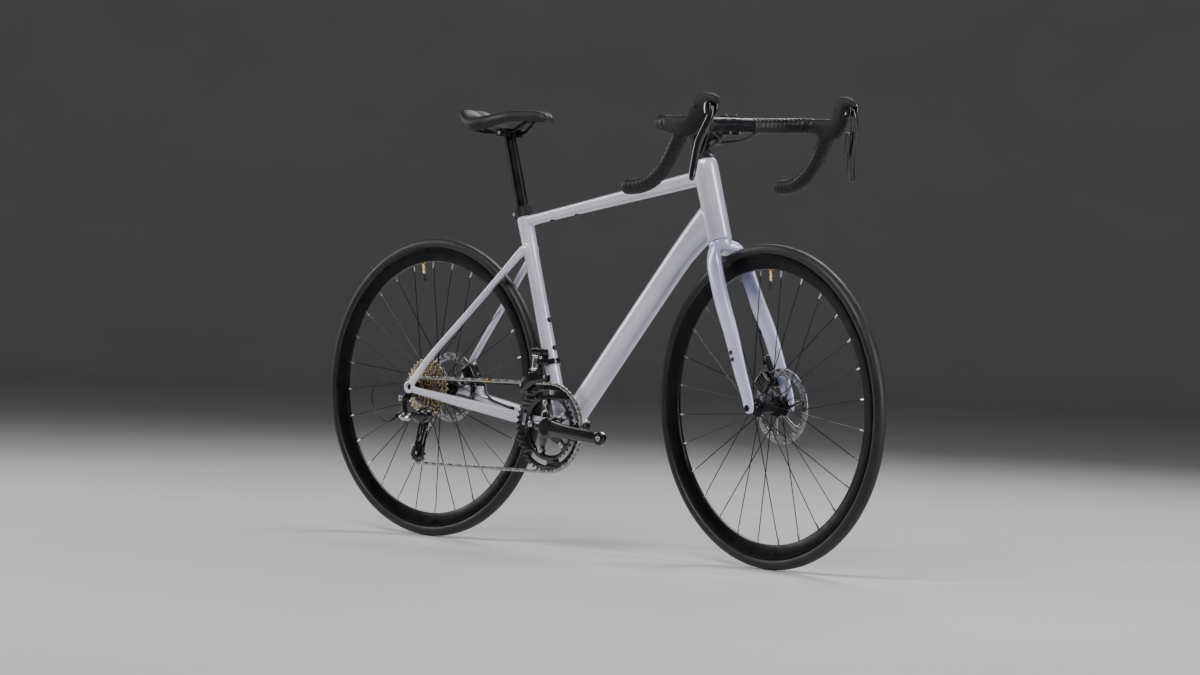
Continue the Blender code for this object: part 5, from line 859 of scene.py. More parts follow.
class BIKE_OT_frame_fittings(bpy.types.Operator):
    """Model the hanger, seat collar, bracket cups, headset and axles"""

    bl_idname = "bike.frame_fittings"
    bl_label = "Frame fittings"

    def execute(self, context):
        self.hanger()
        self.collar()
        for side, word in SIDES:
            self.cup(side, word)
        self.headset()
        self.axles()
        return {"FINISHED"}

    def hanger(self):
        outline = capsule(ORIGIN, HANGER_BOLT, 0.0113, 0.0083)
        body = plate([outline, circle((0.0, 0.0), 0.0064)], -0.07245, 0.0016, 0.0004)
        finished(
            body, "derailleur_hanger_plate", "satin_black", "frame", "derailleur_hanger"
        )

    def collar(self):
        profile = [
            (0.505, 0.014), (0.505, 0.019), (0.5042, 0.0198), (0.4832, 0.0198), (0.4824, 0.019),
            (0.4824, 0.0172), (0.4922, 0.0172), (0.4922, 0.014)
        ]
        band = turned(profile, BRACKET, SEAT_AXIS, 56, closed=True)
        lug = block(seat_point(COLLAR_MIDDLE, COLLAR_LUG), (0.008, 0.015, 0.0185), lean(SEAT_AXIS), 0.0022)
        # Band and lug overlap, so each is slit by itself: one cut through both leaves nothing
        halves = []
        for solid in (band, lug):
            slit = block(seat_point(COLLAR_MIDDLE, -0.024), (0.016, 0.0012, 0.03), lean(SEAT_AXIS))
            halves.append(drilled(solid, [slit]))
        piece = joined(halves)
        finished(piece, "seat_collar_band", "bead_black", "frame", "seat_collar")
        place = seat_point(COLLAR_MIDDLE, COLLAR_LUG) - LEFT * 0.0072
        bolted("seat_collar_bolt", "frame", place, -LEFT, 0.004, 0.003)

    def cup(self, side, word):
        profile = [
            (0.045, 0.0123), (0.045, 0.0172), (0.0446, 0.0176), (0.0446, 0.0198), (0.044, 0.0208),
            (0.0418, 0.021), (0.0412, 0.0206), (0.0349, 0.0206), (0.0343, 0.0202), (0.0343, 0.0168),
            (0.012, 0.0168), (0.012, 0.0123)
        ]
        cup = turned(profile, BRACKET, LEFT * side, 64, closed=True)
        notch = block(BRACKET + LEFT * side * 0.0385 + UP * 0.0212, (0.003, 0.0085, 0.0022), edge=0.0004)
        piece = drilled(cup, [around(notch, 16, BRACKET)])
        finished(
            piece, f"bracket_cup_{word}", "bead_black", "frame", f"bottom_bracket_cup_{word}"
        )

    def headset(self):
        profile = [
            (0.5762, 0.0147), (0.5762, 0.0178), (0.5757, 0.0181), (0.57, 0.0182), (0.5696, 0.0179),
            (0.5692, 0.0182), (0.563, 0.0183), (0.5622, 0.018), (0.5616, 0.0186), (0.559, 0.0205),
            (0.556, 0.0222), (0.5542, 0.0231), (0.5533, 0.0232), (0.5533, 0.0147)
        ]
        cover = turned(profile, HEAD_FOOT, HEAD_AXIS, 64, closed=True)
        finished(
            cover, "headset_cover_and_spacers", "bead_black", "steering", "headset_cover"
        )
        for word, bottom, radius in (("lower", 0.3748, 0.0229), ("upper", 0.5447, 0.0204)):
            ring = [
                (bottom, 0.0146), (bottom, radius - 0.0008), (bottom + 0.0008, radius),
                (bottom + 0.0072, radius), (bottom + 0.008, radius - 0.0008), (bottom + 0.008, 0.0146)
            ]
            bearing = turned(ring, HEAD_FOOT, HEAD_AXIS, 48, closed=True)
            finished(bearing, f"bearing_{word}", "steel", "frame", f"headset_bearing_{word}")

    def axles(self):
        for word, foot, reach, body, start in (
            ("rear", ORIGIN, 0.0833, "frame", -0.0785), ("front", FRONT_AXLE, 0.0609, "steering", -0.0569)
        ):
            profile = rounded_profile(
                [
                    (start, 0.0), (start, 0.006), (reach, 0.006), (reach, 0.0099), (reach + 0.0045, 0.0092),
                    (reach + 0.0045, 0.0042)
                ],
                0.0009
            )
            profile += [(reach + 0.0012, 0.004), (reach + 0.0012, 0.0)]
            axle = turned(profile, foot, LEFT, 36)
            finished(axle, f"{word}_through_axle", "satin_black", body, f"{word}_axle")


class BIKE_OT_fork(bpy.types.Operator):
    """Model the fork with its crown, tapered blades and dropouts"""

    bl_idname = "bike.fork"
    bl_label = "Fork"

    def execute(self, context):
        shapes = [fork_crown(), turned(drum(0.358, 0.3739, 0.0256), HEAD_FOOT, HEAD_AXIS, 64)]
        for side in (-1.0, 1.0):
            rows = [(x, side * y, z, w, d) for x, z, y, w, d in FORK_BLADE]
            shapes.append(swept(rows, 6, 40, 2.3, rounded=0.002))
        skin_of_fork = fused(shapes, 0.0016, 8)
        room = turned(drum(-0.0235, 0.0235, 0.346), FRONT_AXLE, LEFT, 160)
        bore = crosswise(FRONT_AXLE, -0.1, 0.1, 0.0064, 32)
        bored(skin_of_fork, room, bore)
        finished(
            skin_of_fork, "fork_blades_and_crown", "fork_paint", "steering", "fork", 40.0
        )
        steerer = rod(head_point(0.37), head_point(0.6145), 0.0143, 48)
        finished(steerer, "steerer_tube", "satin_black", "steering")
        for i, (x, z) in enumerate(((0.954, 0.1137), (0.9595, 0.0996))):
            hole = turned(
                [
                    (-0.002, 0.0), (-0.002, 0.0047), (0.0007, 0.0047), (0.0012, 0.0037), (0.0005, 0.0026),
                    (0.0005, 0.0)
                ],
                Vector((x, -0.0648 - 0.0002 * i, z)), -LEFT, 28
            )
            finished(hole, f"fork_grommet_{i + 1}", "plastic_black", "steering")
        ring = turned(
            [
                (-0.0005, 0.0), (-0.0005, 0.0062), (0.0012, 0.007), (0.0018, 0.0058), (0.0008, 0.005),
                (0.0006, 0.0)
            ],
            Vector((1.0034, -0.0636, 0.0)), -LEFT, 32
        )
        finished(ring, "fork_axle_eye", "satin_black", "steering")
        port = turned(
            [(0.0, 0.0), (0.0, 0.0048), (0.002, 0.0044), (0.0026, 0.003), (0.0026, 0.0)],
            Vector((0.9195, 0.05, 0.156)), Vector((-0.95, 0.0, -0.3)), 28
        )
        finished(port, "fork_hose_port", "plastic_black", "steering")
        return {"FINISHED"}


# The wheels

SPOKES = 28
SPOKE_TWIST = math.radians(50.0)
SPOKE_END = 0.274
# The distance from the axle where the slick crown meets the sidewall
TREAD_EDGE = 0.3338
# The right halves of the wheel's sections: (distance from the wheel's middle, distance from the axle)
TYRE_PROFILE = (
    (0.008, 0.3112), (0.0083, 0.315), (0.0085, 0.3168), (0.0104, 0.3184), (0.0124, 0.3204),
    (0.0136, 0.3232), (0.014, 0.3262), (0.0138, 0.3292), (0.0131, 0.3318), (0.0122, 0.3335),
    (0.0117, 0.3341), (0.0103, 0.3356), (0.0083, 0.3371), (0.006, 0.3381), (0.003, 0.3388), (0.0, 0.339)
)
TYRE_BORE = (
    (0.0, 0.3355), (0.006, 0.3342), (0.0095, 0.3305), (0.0105, 0.3262), (0.009, 0.3215), (0.0064, 0.315),
    (0.006, 0.3112)
)
RIM_PROFILE = (
    (0.0, 0.2868), (0.003, 0.287), (0.0052, 0.2878), (0.0068, 0.2905), (0.0085, 0.2965), (0.01, 0.303),
    (0.0109, 0.308), (0.0113, 0.312), (0.0114, 0.316), (0.0112, 0.3168), (0.0102, 0.3169), (0.0096, 0.3166),
    (0.0093, 0.3155), (0.0088, 0.311), (0.006, 0.31), (0.0, 0.3092)
)


def both_sides(profile):
    """A closed loop from its right half and the mirror image of it."""
    return [*profile, *[(-y, r) for y, r in reversed(profile) if y > 0.0]]


def wheel_uv(obj, centre):
    """A UV map round the axle: U is the share of a turn and V the distance from the axle, in decimetres."""
    layer = obj.data.uv_layers.new(name="round_the_axle")
    for face in obj.data.polygons:
        near = None
        for corner in face.loop_indices:
            point = obj.data.vertices[obj.data.loops[corner].vertex_index].co - centre
            share = math.atan2(point.z, point.x) / (2.0 * math.pi)
            if near is not None:
                share += round(near - share)
            near = share
            layer.data[corner].uv = (share, math.hypot(point.x, point.z) * 10.0 + abs(point.y) * 10.0)
    return obj


def spun_wheel_part(profile, centre, steps):
    """A closed section beside the axle, swept right round it with the spin operator."""
    deselect()
    bpy.ops.mesh.primitive_circle_add(vertices=len(profile), radius=0.01, fill_type="NOTHING")
    obj = bpy.context.active_object
    for point, (y, r) in zip(obj.data.vertices, profile):
        point.co = centre + Vector((r, y, 0.0))
    bpy.ops.object.transform_apply(location=True, rotation=True, scale=True)
    bpy.ops.object.mode_set(mode="EDIT")
    bpy.ops.mesh.select_all(action="SELECT")
    bpy.ops.mesh.spin(steps=steps, angle=2.0 * math.pi, center=centre, axis=LEFT)
    bpy.ops.object.mode_set(mode="OBJECT")
    return tidy_mesh(obj, 0.00001)


def tyre(centre):
    outside = [*TYRE_PROFILE, *[(-y, r) for y, r in reversed(TYRE_PROFILE[:-1])]]
    inside = [*[(-y, r) for y, r in reversed(TYRE_BORE)], *TYRE_BORE[1:]]
    obj = spun_wheel_part([*outside, *inside], centre, 168)
    obj.data.materials.append(LOOKS["tread"])
    obj.data.materials.append(LOOKS["sidewall"])
    for face in obj.data.polygons:
        offset = face.center - centre
        face.material_index = 0 if math.hypot(offset.x, offset.z) > TREAD_EDGE else 1
    return wheel_uv(obj, centre)


def nipple_angle(phase, index):
    return phase - 2.0 * math.pi * index / SPOKES


def spoke(centre, index, phase, flanges, radius):
    """One spoke: a hooked head in the flange, its wire, and its end just inside the nipple."""
    rim_angle = nipple_angle(phase, index)
    leading = (index // 2) % 2
    flange_y, flange_radius = flanges[1] if index % 2 else flanges[0]
    angle = rim_angle + (SPOKE_TWIST if leading else -SPOKE_TWIST)
    side = -1.0 if leading else 1.0
    hole = centre + outward(angle) * (flange_radius - 0.0026) + LEFT * flange_y
    end = centre + outward(rim_angle) * SPOKE_END
    end.y += flange_y * 0.05
    start = hole + LEFT * side * 0.0022
    along = (end - start).normalized()
    bend = start + along * 0.004
    return tube(
        [hole - LEFT * side * 0.002, start.lerp(hole, 0.4), start + along * 0.0008, bend, end], radius, 8
    )


def nipple(centre, index, phase):
    profile = [
        (0.273, 0.0), (0.273, 0.0015), (0.2738, 0.00175), (0.2868, 0.00185), (0.2872, 0.0026),
        (0.2882, 0.0024), (0.2882, 0.0)
    ]
    return turned(profile, centre, outward(nipple_angle(phase, index)), 8)


def flange_edge(y, radius):
    """The outer part of a hub flange, as a piece of the shell's profile."""
    return [
        (y - 0.0014, radius - 0.007), (y - 0.0014, radius - 0.0006), (y - 0.0008, radius),
        (y + 0.0008, radius), (y + 0.0014, radius - 0.0006), (y + 0.0014, radius - 0.007)
    ]


def hub_shell(centre, ends, flanges, waist, rotor_y):
    """The hub's shell: end caps, flanges that swell from a slim waist, and the rotor's seat."""
    (right_y, right_r), (left_y, left_r) = flanges
    profile = [
        (ends[0], 0.0064), (ends[0], 0.0079), (ends[0] + 0.0008, 0.0085), (right_y - 0.006, 0.0085),
        (right_y - 0.0022, right_r - 0.0085), *flange_edge(right_y, right_r),
        (right_y + 0.004, waist + 0.0012), (right_y + 0.01, waist), (left_y - 0.01, waist),
        (left_y - 0.004, waist + 0.0012), *flange_edge(left_y, left_r), (left_y + 0.005, 0.015),
        (rotor_y - 0.0038, 0.0155), (rotor_y - 0.0034, 0.0174), (rotor_y + 0.003, 0.0174),
        (rotor_y + 0.0034, 0.0168), (rotor_y + 0.0036, 0.01), (rotor_y + 0.004, 0.0085),
        (ends[1] - 0.0008, 0.0085), (ends[1], 0.0079), (ends[1], 0.0064)
    ]
    return turned(profile, centre, LEFT, 64, closed=True)


def polar(centre, distance, angle):
    """A point of an outline, by its distance and angle from an axle."""
    return (centre.x + distance * math.cos(angle), centre.z + distance * math.sin(angle))


def rotor(centre, y):
    """A rotor: a track drilled in slanting rows, six curved arms and the ring on the hub."""
    rim = []
    for i in range(180):
        angle = 2.0 * math.pi * i / 180
        rim.append(polar(centre, 0.0797 + 0.0003 * math.cos(18 * angle), angle))
    outlines = [rim, circle((centre.x, centre.z), 0.0178, 48)]
    # One window between two arms: (distance, share of the sixth of a turn)
    inner = [(0.0235, share) for share in (0.13, 0.3, 0.5, 0.7, 0.87)]
    outer = [
        (0.064 if 0.4 < share < 1.1 else 0.063, share) for share in (1.18, 1.02, 0.86, 0.7, 0.54, 0.4, 0.34)
    ]
    window = [*inner, (0.036, 1.02), (0.05, 1.12), *outer, (0.05, 0.27), (0.036, 0.17)]
    for arm in range(6):
        outlines.append([
            polar(centre, reach, 2.0 * math.pi / 6 * (arm + share)) for reach, share in window
        ])
    for row in range(18):
        for i, distance in enumerate((0.0668, 0.07, 0.0733, 0.0765)):
            if (row + i) % 3 == 0 and i in (0, 3):
                continue
            hole = polar(centre, distance, 2.0 * math.pi * (row + 0.18 * i) / 18)
            outlines.append(circle(hole, 0.00155 if i % 2 else 0.0013, 9))
    return plate(outlines, y, 0.0009, 0.0002)


def lockring(centre, y):
    """The notched ring that clamps the rotor."""
    ring = [
        (y + 0.0009, 0.0086), (y + 0.0009, 0.0212), (y + 0.0014, 0.0217), (y + 0.003, 0.0214),
        (y + 0.0038, 0.019), (y + 0.0038, 0.0086)
    ]
    made = turned(ring, centre, LEFT, 64, closed=True)
    notch = block(centre + LEFT * (y + 0.0036) + UP * 0.0222, (0.0026, 0.004, 0.003))
    return drilled(made, [around(notch, 16, centre)])


def valve(centre, angle):
    """The long brass valve stem with its nut and cap."""
    out = -outward(angle)
    foot = centre - out * 0.288
    stem = [(0.0, 0.0), (0.0, 0.0031)]
    for i in range(22):
        stem += [(0.002 + i * 0.0011, 0.0029), (0.0025 + i * 0.0011, 0.0031)]
    stem += [(0.027, 0.0031), (0.027, 0.0)]
    nut = turned(rounded_profile(drum(-0.001, 0.003, 0.0052), 0.0006), foot, out, 18)
    cap = turned(
        [(0.0262, 0.0), (0.0262, 0.0034), (0.03, 0.0037), (0.042, 0.0031), (0.044, 0.0024), (0.0445, 0.0)],
        foot, out, 20
    )
    return turned(stem, foot, out, 16), nut, cap


# (name, axle, angle of the first nipple, the flanges as (Y, radius), the hub's ends, its waist, the disc's Y,
# angle of the valve)
WHEELS = (
    (
        "front", FRONT_AXLE, 3.02042, ((-0.0335, 0.019), (0.0205, 0.0215)), (-0.0497, 0.0497), 0.0118,
        FRONT_ROTOR_Y, math.radians(89.5)
    ),
    (
        "rear", ORIGIN, 3.19786, ((-0.0165, 0.0235), (0.034, 0.0215)), (-0.0704, 0.0742), 0.014,
        REAR_ROTOR_Y, math.radians(99.7)
    )
)


class BIKE_OT_wheels(bpy.types.Operator):
    """Model both wheels: tyres, rims, hubs, spokes, nipples, valves and rotors"""

    bl_idname = "bike.wheels"
    bl_label = "Wheels"

    def execute(self, context):
        thick = context.scene.bike_sizes.spoke_radius
        for word, centre, phase, flanges, ends, waist, rotor_y, valve_angle in WHEELS:
            body = f"{word}_wheel"
            made = tyre(centre)
            finished(made, f"{word}_tyre_casing", None, body, f"{word}_tyre", 25.0)
            made = spun_wheel_part(both_sides(RIM_PROFILE), centre, 168)
            finished(
                wheel_uv(made, centre), f"{word}_rim_hoop", "rim_black", body, f"{word}_rim"
            )
            shell = hub_shell(centre, ends, flanges, waist, rotor_y)
            spokes = joined([spoke(centre, i, phase, flanges, thick) for i in range(SPOKES)])
            hub = joined([shell, spokes])
            finished(
                hub, f"{word}_hub_with_spokes", "spoke_black", body, f"{word}_hub_and_spokes"
            )
            nipples = joined([nipple(centre, i, phase) for i in range(SPOKES)])
            finished(nipples, f"{word}_nipples", "bolt_steel", body)
            finished(
                rotor(centre, rotor_y), f"{word}_disc", f"{word}_rotor", body, f"{word}_rotor",
            )
            finished(lockring(centre, rotor_y), f"{word}_lockring", "bead_black", body)
            for name, made, finish in zip(
                ("stem", "nut", "cap"), valve(centre, valve_angle), ("brass", "brass", "plastic_black")
            ):
                finished(made, f"{word}_valve_{name}", finish, body)
        return {"FINISHED"}


# Hoses and cable: each route repeats its solid's points

HOSE_RADIUS = 0.0025
CABLE_RADIUS = 0.002
BAR_HOSE_ROUTE = (
    (0.011, 0.061, -0.015), (0.012, 0.05, -0.0215), (0.006, 0.034, -0.029), (-0.008, 0.02, -0.033),
    (-0.023, 0.011, -0.0345), (-0.039, 0.006, -0.0366)
)
FRONT_HOSE_ROUTE = (
    (0.934, 0.05, 0.084), (0.929, 0.051, 0.1), (0.922, 0.0515, 0.12), (0.918, 0.051, 0.14),
    (0.9208, 0.0502, 0.1573)
)
REAR_HOSE_ROUTE = (
    (0.0885, 0.067, 0.0117), (0.098, 0.064, 0.0085), (0.108, 0.058, 0.0), (0.118, 0.0505, -0.009),
    (0.133, 0.045, -0.0185), (0.16, 0.041, -0.027), (0.195, 0.0355, -0.0345), (0.22, 0.0332, -0.0385)
)
GEAR_CABLE_ROUTE = (
    (-0.0147, -0.0788, -0.002), (-0.0215, -0.08, -0.0005), (-0.032, -0.0825, 0.0035),
    (-0.056, -0.086, 0.0085), (-0.082, -0.089, 0.0085), (-0.101, -0.092, -0.0025),
    (-0.1075, -0.094, -0.022), (-0.1025, -0.095, -0.044), (-0.088, -0.0952, -0.064),
    (-0.068, -0.0945, -0.0775), (-0.05, -0.0935, -0.0805), (-0.04, -0.0922, -0.0768),
    (-0.0313, -0.09056, -0.07025)
)


def hose(name, route, radius, body, stands_for=()):
    """A hose or cable housing fixed at both ends, a tube along its route."""
    points = [Vector(point) for point in finer(route, 5)]
    obj = tube(points, radius, 16)
    finished(obj, name, "hose_black", body, stands_for)
    if body == "steering":
        points = [STEERED @ point for point in points]
    return obj


class BIKE_OT_hoses(bpy.types.Operator):
    """Run the brake hoses and the gear cable where their solids lie"""

    bl_idname = "bike.hoses"
    bl_label = "Hoses and cable"

    def execute(self, context):
        for side, word in SIDES:
            route = [bar_point(x, side * y, z) for x, y, z in BAR_HOSE_ROUTE]
            hose(f"bar_hose_{word}", route, HOSE_RADIUS, "steering", "bar_hoses" if side < 0.0 else ())
        hose("front_brake_line", FRONT_HOSE_ROUTE, HOSE_RADIUS, "steering", "front_brake_hose")
        hose("rear_brake_line", REAR_HOSE_ROUTE, HOSE_RADIUS, "frame", "rear_brake_hose")
        hose("gear_cable_housing", GEAR_CABLE_ROUTE, CABLE_RADIUS, "frame", "gear_cable")
        guide = block(
            BAR_CENTRE - HEAD_FORWARD * 0.048 - HEAD_AXIS * 0.0216, (0.011, 0.022, 0.016),
            lean(HEAD_FORWARD), 0.003
        )
        finished(guide, "bar_hose_guide", "plastic_black", "steering")
        self.ferrules()
        return {"FINISHED"}

    def ferrules(self):
        for name, route, radius, body in (
            ("front_hose_lower", FRONT_HOSE_ROUTE, 0.0036, "steering"),
            ("front_hose_upper", FRONT_HOSE_ROUTE[::-1], 0.0034, "steering"),
            ("rear_hose_outer", REAR_HOSE_ROUTE, 0.0036, "frame"),
            ("rear_hose_inner", REAR_HOSE_ROUTE[::-1], 0.0036, "frame"),
            ("cable_upper", GEAR_CABLE_ROUTE, 0.0028, "frame"),
            ("cable_lower", GEAR_CABLE_ROUTE[::-1], 0.0028, "frame")
        ):
            start, following = Vector(route[0]), Vector(route[1])
            profile = [
                (-0.001, 0.0), (-0.001, radius), (0.006, radius), (0.0066, radius * 0.86),
                (0.0096, radius * 0.8), (0.01, 0.0)
            ]
            sleeve = turned(profile, start, following - start, 20)
            finished(sleeve, f"{name}_ferrule", "satin_black", body)


# The brakes

PISTON_DISTANCE = 0.07
FRONT_CALIPER_ANGLE = math.radians(137.0)
REAR_CALIPER_ANGLE = math.radians(30.0)


def caliper_body(rotor_y, low, high):
    """A caliper in wheel coordinates: two rounded halves astride the rotor, with pistons' bulges."""
    inner, outer = rotor_y - 0.0135, rotor_y + 0.014
    middle = (low + high) / 2.0
    shapes = [
        block(
            (0.0722, (inner + outer) / 2.0, middle), (0.0325, outer - inner, high - low), edge=0.0045,
            segments=4
        ),
        rod(
            (PISTON_DISTANCE, inner + 0.001, 0.0), (PISTON_DISTANCE, outer - 0.001, 0.0), 0.0138, 40,
            edge=0.002
        )
    ]
    body = fused(shapes, 0.0007, 3)
    slot = block((0.0636, rotor_y, middle), (0.0357, 0.0118, high - low + 0.02))
    return bored(body, slot)


class BIKE_OT_brakes(bpy.types.Operator):
    """Model both calipers with their feet, bolts and pads"""

    bl_idname = "bike.brakes"
    bl_label = "Brakes"

    def execute(self, context):
        rear = Matrix.Rotation(-REAR_CALIPER_ANGLE, 4, "Y")
        front = Matrix.Translation(FRONT_AXLE) @ Matrix.Rotation(-FRONT_CALIPER_ANGLE, 4, "Y")
        self.caliper("rear", "frame", REAR_ROTOR_Y, rear, (-0.02, 0.018))
        self.caliper("front", "steering", FRONT_ROTOR_Y, front, (-0.02, 0.02))
        for word, rotor_y, place in (("front", FRONT_ROTOR_Y, front), ("rear", REAR_ROTOR_Y, rear)):
            for side, hand in SIDES:
                self.pad(word, hand, side, rotor_y, place)
        return {"FINISHED"}

    def caliper(self, word, body, rotor_y, place, span):
        shape = caliper_body(rotor_y, *span)
        shape.data.transform(place)
        feet = self.rear_foot() if word == "rear" else self.front_foot()
        piece = joined([shape, *feet])
        finished(piece, f"{word}_caliper_body", "gloss_black", body, f"{word}_caliper")
        for i, z in enumerate((-0.0135, 0.0125)):
            bolt = socket_bolt((0.088, rotor_y + 0.0005, z), (1.0, 0.0, 0.0), 0.0028, 0.0018)
            bolt.data.transform(place)
            finished(bolt, f"{word}_caliper_pin_{i + 1}", "bolt_steel", body)
        cover = turned(
            rounded_profile([(-0.0004, 0.0), (-0.0004, 0.01), (0.0014, 0.0092), (0.0014, 0.0)], 0.0008),
            Vector((PISTON_DISTANCE, rotor_y + 0.0138, 0.0)), LEFT, 40
        )
        cover.data.transform(place)
        finished(cover, f"{word}_piston_cover", "satin_black", body)

    def rear_foot(self):
        foot = block((0.055, 0.06725, 0.0113), (0.065, 0.0125, 0.01), edge=0.0028)
        bolts = [socket_bolt((x, 0.0675, 0.016), UP, 0.0042, 0.0034) for x in (0.0275, 0.0825)]
        return [foot, *bolts]

    def front_foot(self):
        low, high = Vector((0.98692, 0.0, 0.046)), Vector((0.95955, 0.0, 0.112))
        back = quarter_turn(high - low).normalized()
        centre = (low + high) / 2.0 + back * 0.0205
        foot = block((centre.x, 0.0512, centre.z), (0.01, 0.015, 0.0712), lean(high - low), 0.0028)
        along = (high - low).normalized()
        middle = Vector((centre.x, 0.0512, centre.z))
        bolts = [
            socket_bolt(middle + along * reach + back * 0.0046, back, 0.0042, 0.0034)
            for reach in (-0.027, 0.027)
        ]
        return [foot, *bolts]

    def pad(self, word, hand, side, rotor_y, place):
        near = rotor_y + side * 0.0017
        far = near + side * 0.004
        middle = (PISTON_DISTANCE, near + side * 0.00115, 0.0)
        lining = block(middle, (0.0186, 0.0023, 0.0236), edge=0.001)
        backing = block((0.0712, far - side * 0.0009, 0.0), (0.018, 0.0018, 0.0238), edge=0.0006)
        lining.data.transform(place)
        backing.data.transform(place)
        name = f"{word}_pad_{hand}"
        finished(lining, f"{name}_lining", "lining", name, name)
        finished(backing, f"{name}_backing", "steel", name)


# The seat

SEATPOST_HEAD = 0.678
RAIL_ROUTE = (
    (0.108, 0.022, 0.5895), (0.13, 0.022, 0.5835), (0.165, 0.022, 0.5775), (0.2, 0.022, 0.5775),
    (0.235, 0.022, 0.5775), (0.26, 0.0175, 0.59), (0.28, 0.012, 0.602), (0.298, 0.009, 0.607),
    (0.307, 0.006, 0.609), (0.3105, 0.0, 0.6096)
)
# The saddle from tail to nose: (X, top, half width, foot of the skirt)
SADDLE = (
    (0.09, 0.6265, 0.03, 0.618), (0.101, 0.63, 0.049, 0.606), (0.134, 0.615, 0.066, 0.5885),
    (0.16, 0.6135, 0.07, 0.5815), (0.19, 0.618, 0.064, 0.5825), (0.215, 0.6225, 0.0485, 0.5925),
    (0.248, 0.6265, 0.0315, 0.601), (0.306, 0.625, 0.0222, 0.602), (0.327, 0.62, 0.0188, 0.6),
    (0.335, 0.614, 0.013, 0.602), (0.3385, 0.6095, 0.005, 0.6055)
)


def saddle_ring(x, top, half_width, foot):
    """One section of the padded cover: channel, crown, side, and the edge where it wraps under."""
    depth = top - foot
    channel = 0.0022 * max(0.0, min(1.0, (x - 0.105) / 0.03, (0.325 - x) / 0.03))
    half = [
        (0.0, top - 0.0012 - channel), (0.07, top - 0.001 - channel * 0.8), (0.15, top - 0.0002),
        (0.3, top + 0.0004), (0.48, top + 0.0001), (0.66, top - depth * 0.035), (0.8, top - depth * 0.1),
        (0.9, top - depth * 0.21), (0.965, top - depth * 0.36), (0.995, top - depth * 0.54),
        (0.995, top - depth * 0.72), (0.975, top - depth * 0.88), (0.955, foot + 0.0006), (0.935, foot),
        (0.91, foot + 0.001), (0.86, foot + depth * 0.22), (0.74, top - min(0.0185, depth * 0.86)),
        (0.4, top - min(0.0188, depth * 0.88)), (0.0, top - min(0.019, depth * 0.9))
    ]
    points = [Vector((x, half_width * share, z)) for share, z in half]
    return [*points, *[Vector((p.x, -p.y, p.z)) for p in reversed(points[1:-1])]]


class BIKE_OT_seat(bpy.types.Operator):
    """Model the seatpost, the rail clamp, the rails and the padded saddle"""

    bl_idname = "bike.seat"
    bl_label = "Seat"

    def execute(self, context):
        self.post()
        self.clamp()
        route = finer(RAIL_ROUTE, 6)
        rails = [Vector((x, -y, z)) for x, y, z in route]
        rails += [Vector(place) for place in reversed(route[:-1])]
        finished(
            tube(rails, 0.0035, 20), "saddle_rail_wire", "satin_black", "seat", "saddle_rails"
        )
        self.saddle()
        return {"FINISHED"}

    def post(self):
        profile = rounded_profile([(0.255, 0.0118), (0.255, 0.0136), (0.668, 0.0136)], 0.0008)
        post = turned([*profile, (0.668, 0.0)], BRACKET, SEAT_AXIS, 56)
        head = seat_point(SEATPOST_HEAD)
        barrel = turned(rounded_profile(drum(-0.016, 0.016, 0.0105), 0.0012), head, LEFT, 48)
        neck = turned(
            [(0.64, 0.0), (0.64, 0.0135), (0.655, 0.0137), (0.668, 0.0128), (0.676, 0.0112), (0.676, 0.0)],
            BRACKET, SEAT_AXIS, 48
        )
        piece = fused([barrel, neck], 0.0008, 6)
        finished(joined([post, piece]), "seatpost_tube", "satin_black", "seat", "seatpost")

    def clamp(self):
        head = seat_point(SEATPOST_HEAD)
        pieces = []
        for side in (-1.0, 1.0):
            centre = head + LEFT * side * 0.0229
            lower = block(centre - UP * 0.0048, (0.03, 0.013, 0.0088), edge=0.0024)
            upper = block(centre + UP * 0.0046, (0.034, 0.0132, 0.0082), edge=0.0026)
            pieces += [lower, upper]
            cap = turned(
                rounded_profile([(0.0, 0.0), (0.0, 0.0062), (0.0024, 0.0056), (0.0024, 0.0)], 0.0008),
                head + LEFT * side * 0.0294, LEFT * side, 32
            )
            pieces.append(cap)
        pieces.append(crosswise(head, -0.03, 0.03, 0.003, 24))
        finished(joined(pieces), "rail_clamp", "bead_black", "seat", "saddle_clamp")
        for side, word in SIDES:
            place = head + LEFT * side * 0.0316
            bolted(f"rail_clamp_bolt_{word}", "seat", place, LEFT * side, 0.0036, 0.0014)

    def saddle(self):
        rows = finer(SADDLE, 6)
        cover = rounder(skin([saddle_ring(*row) for row in rows]))
        lugs = [
            block((0.1095, side * 0.022, 0.601), (0.018, 0.013, 0.022), edge=0.003) for side in (-1.0, 1.0)
        ]
        nose = block((0.306, 0.0, 0.6075), (0.022, 0.018, 0.009), edge=0.003)
        piece = finished(
            cover, "saddle_cover_and_padding", "saddle_cover", "seat", "saddle", sharp=60.0
        )
        finished(joined([*lugs, nose]), "saddle_rail_sockets", "plastic_black", "seat")
        self.seam(rows)

    def seam(self, rows):
        """The edge where the cover's side panel meets its top, as a fine raised line."""
        for side, word in SIDES:
            line = []
            for x, top, half_width, foot in rows[3:-2]:
                line.append(Vector((x, side * half_width * 0.9975, top - (top - foot) * 0.62)))
            finished(tube(line, 0.0006, 8), f"saddle_seam_{word}", "plastic_black", "seat")


# Stem, handlebar and tape

BAR_ROUTE = (
    (0.0, 0.06, 0.0), (0.0015, 0.172, 0.002), (0.009, 0.195, 0.0025), (0.026, 0.206, 0.0015),
    (0.045, 0.207, -0.0012), (0.061, 0.207, -0.007), (0.071, 0.207, -0.017), (0.0735, 0.207, -0.03),
    (0.061, 0.2075, -0.05), (0.042, 0.208, -0.077), (0.018, 0.2092, -0.101), (-0.012, 0.211, -0.119),
    (-0.042, 0.2132, -0.1275), (-0.079, 0.2157, -0.13)
)
BAR_CLAMP_RADIUS = 0.0159
BAR_RADIUS = 0.0119


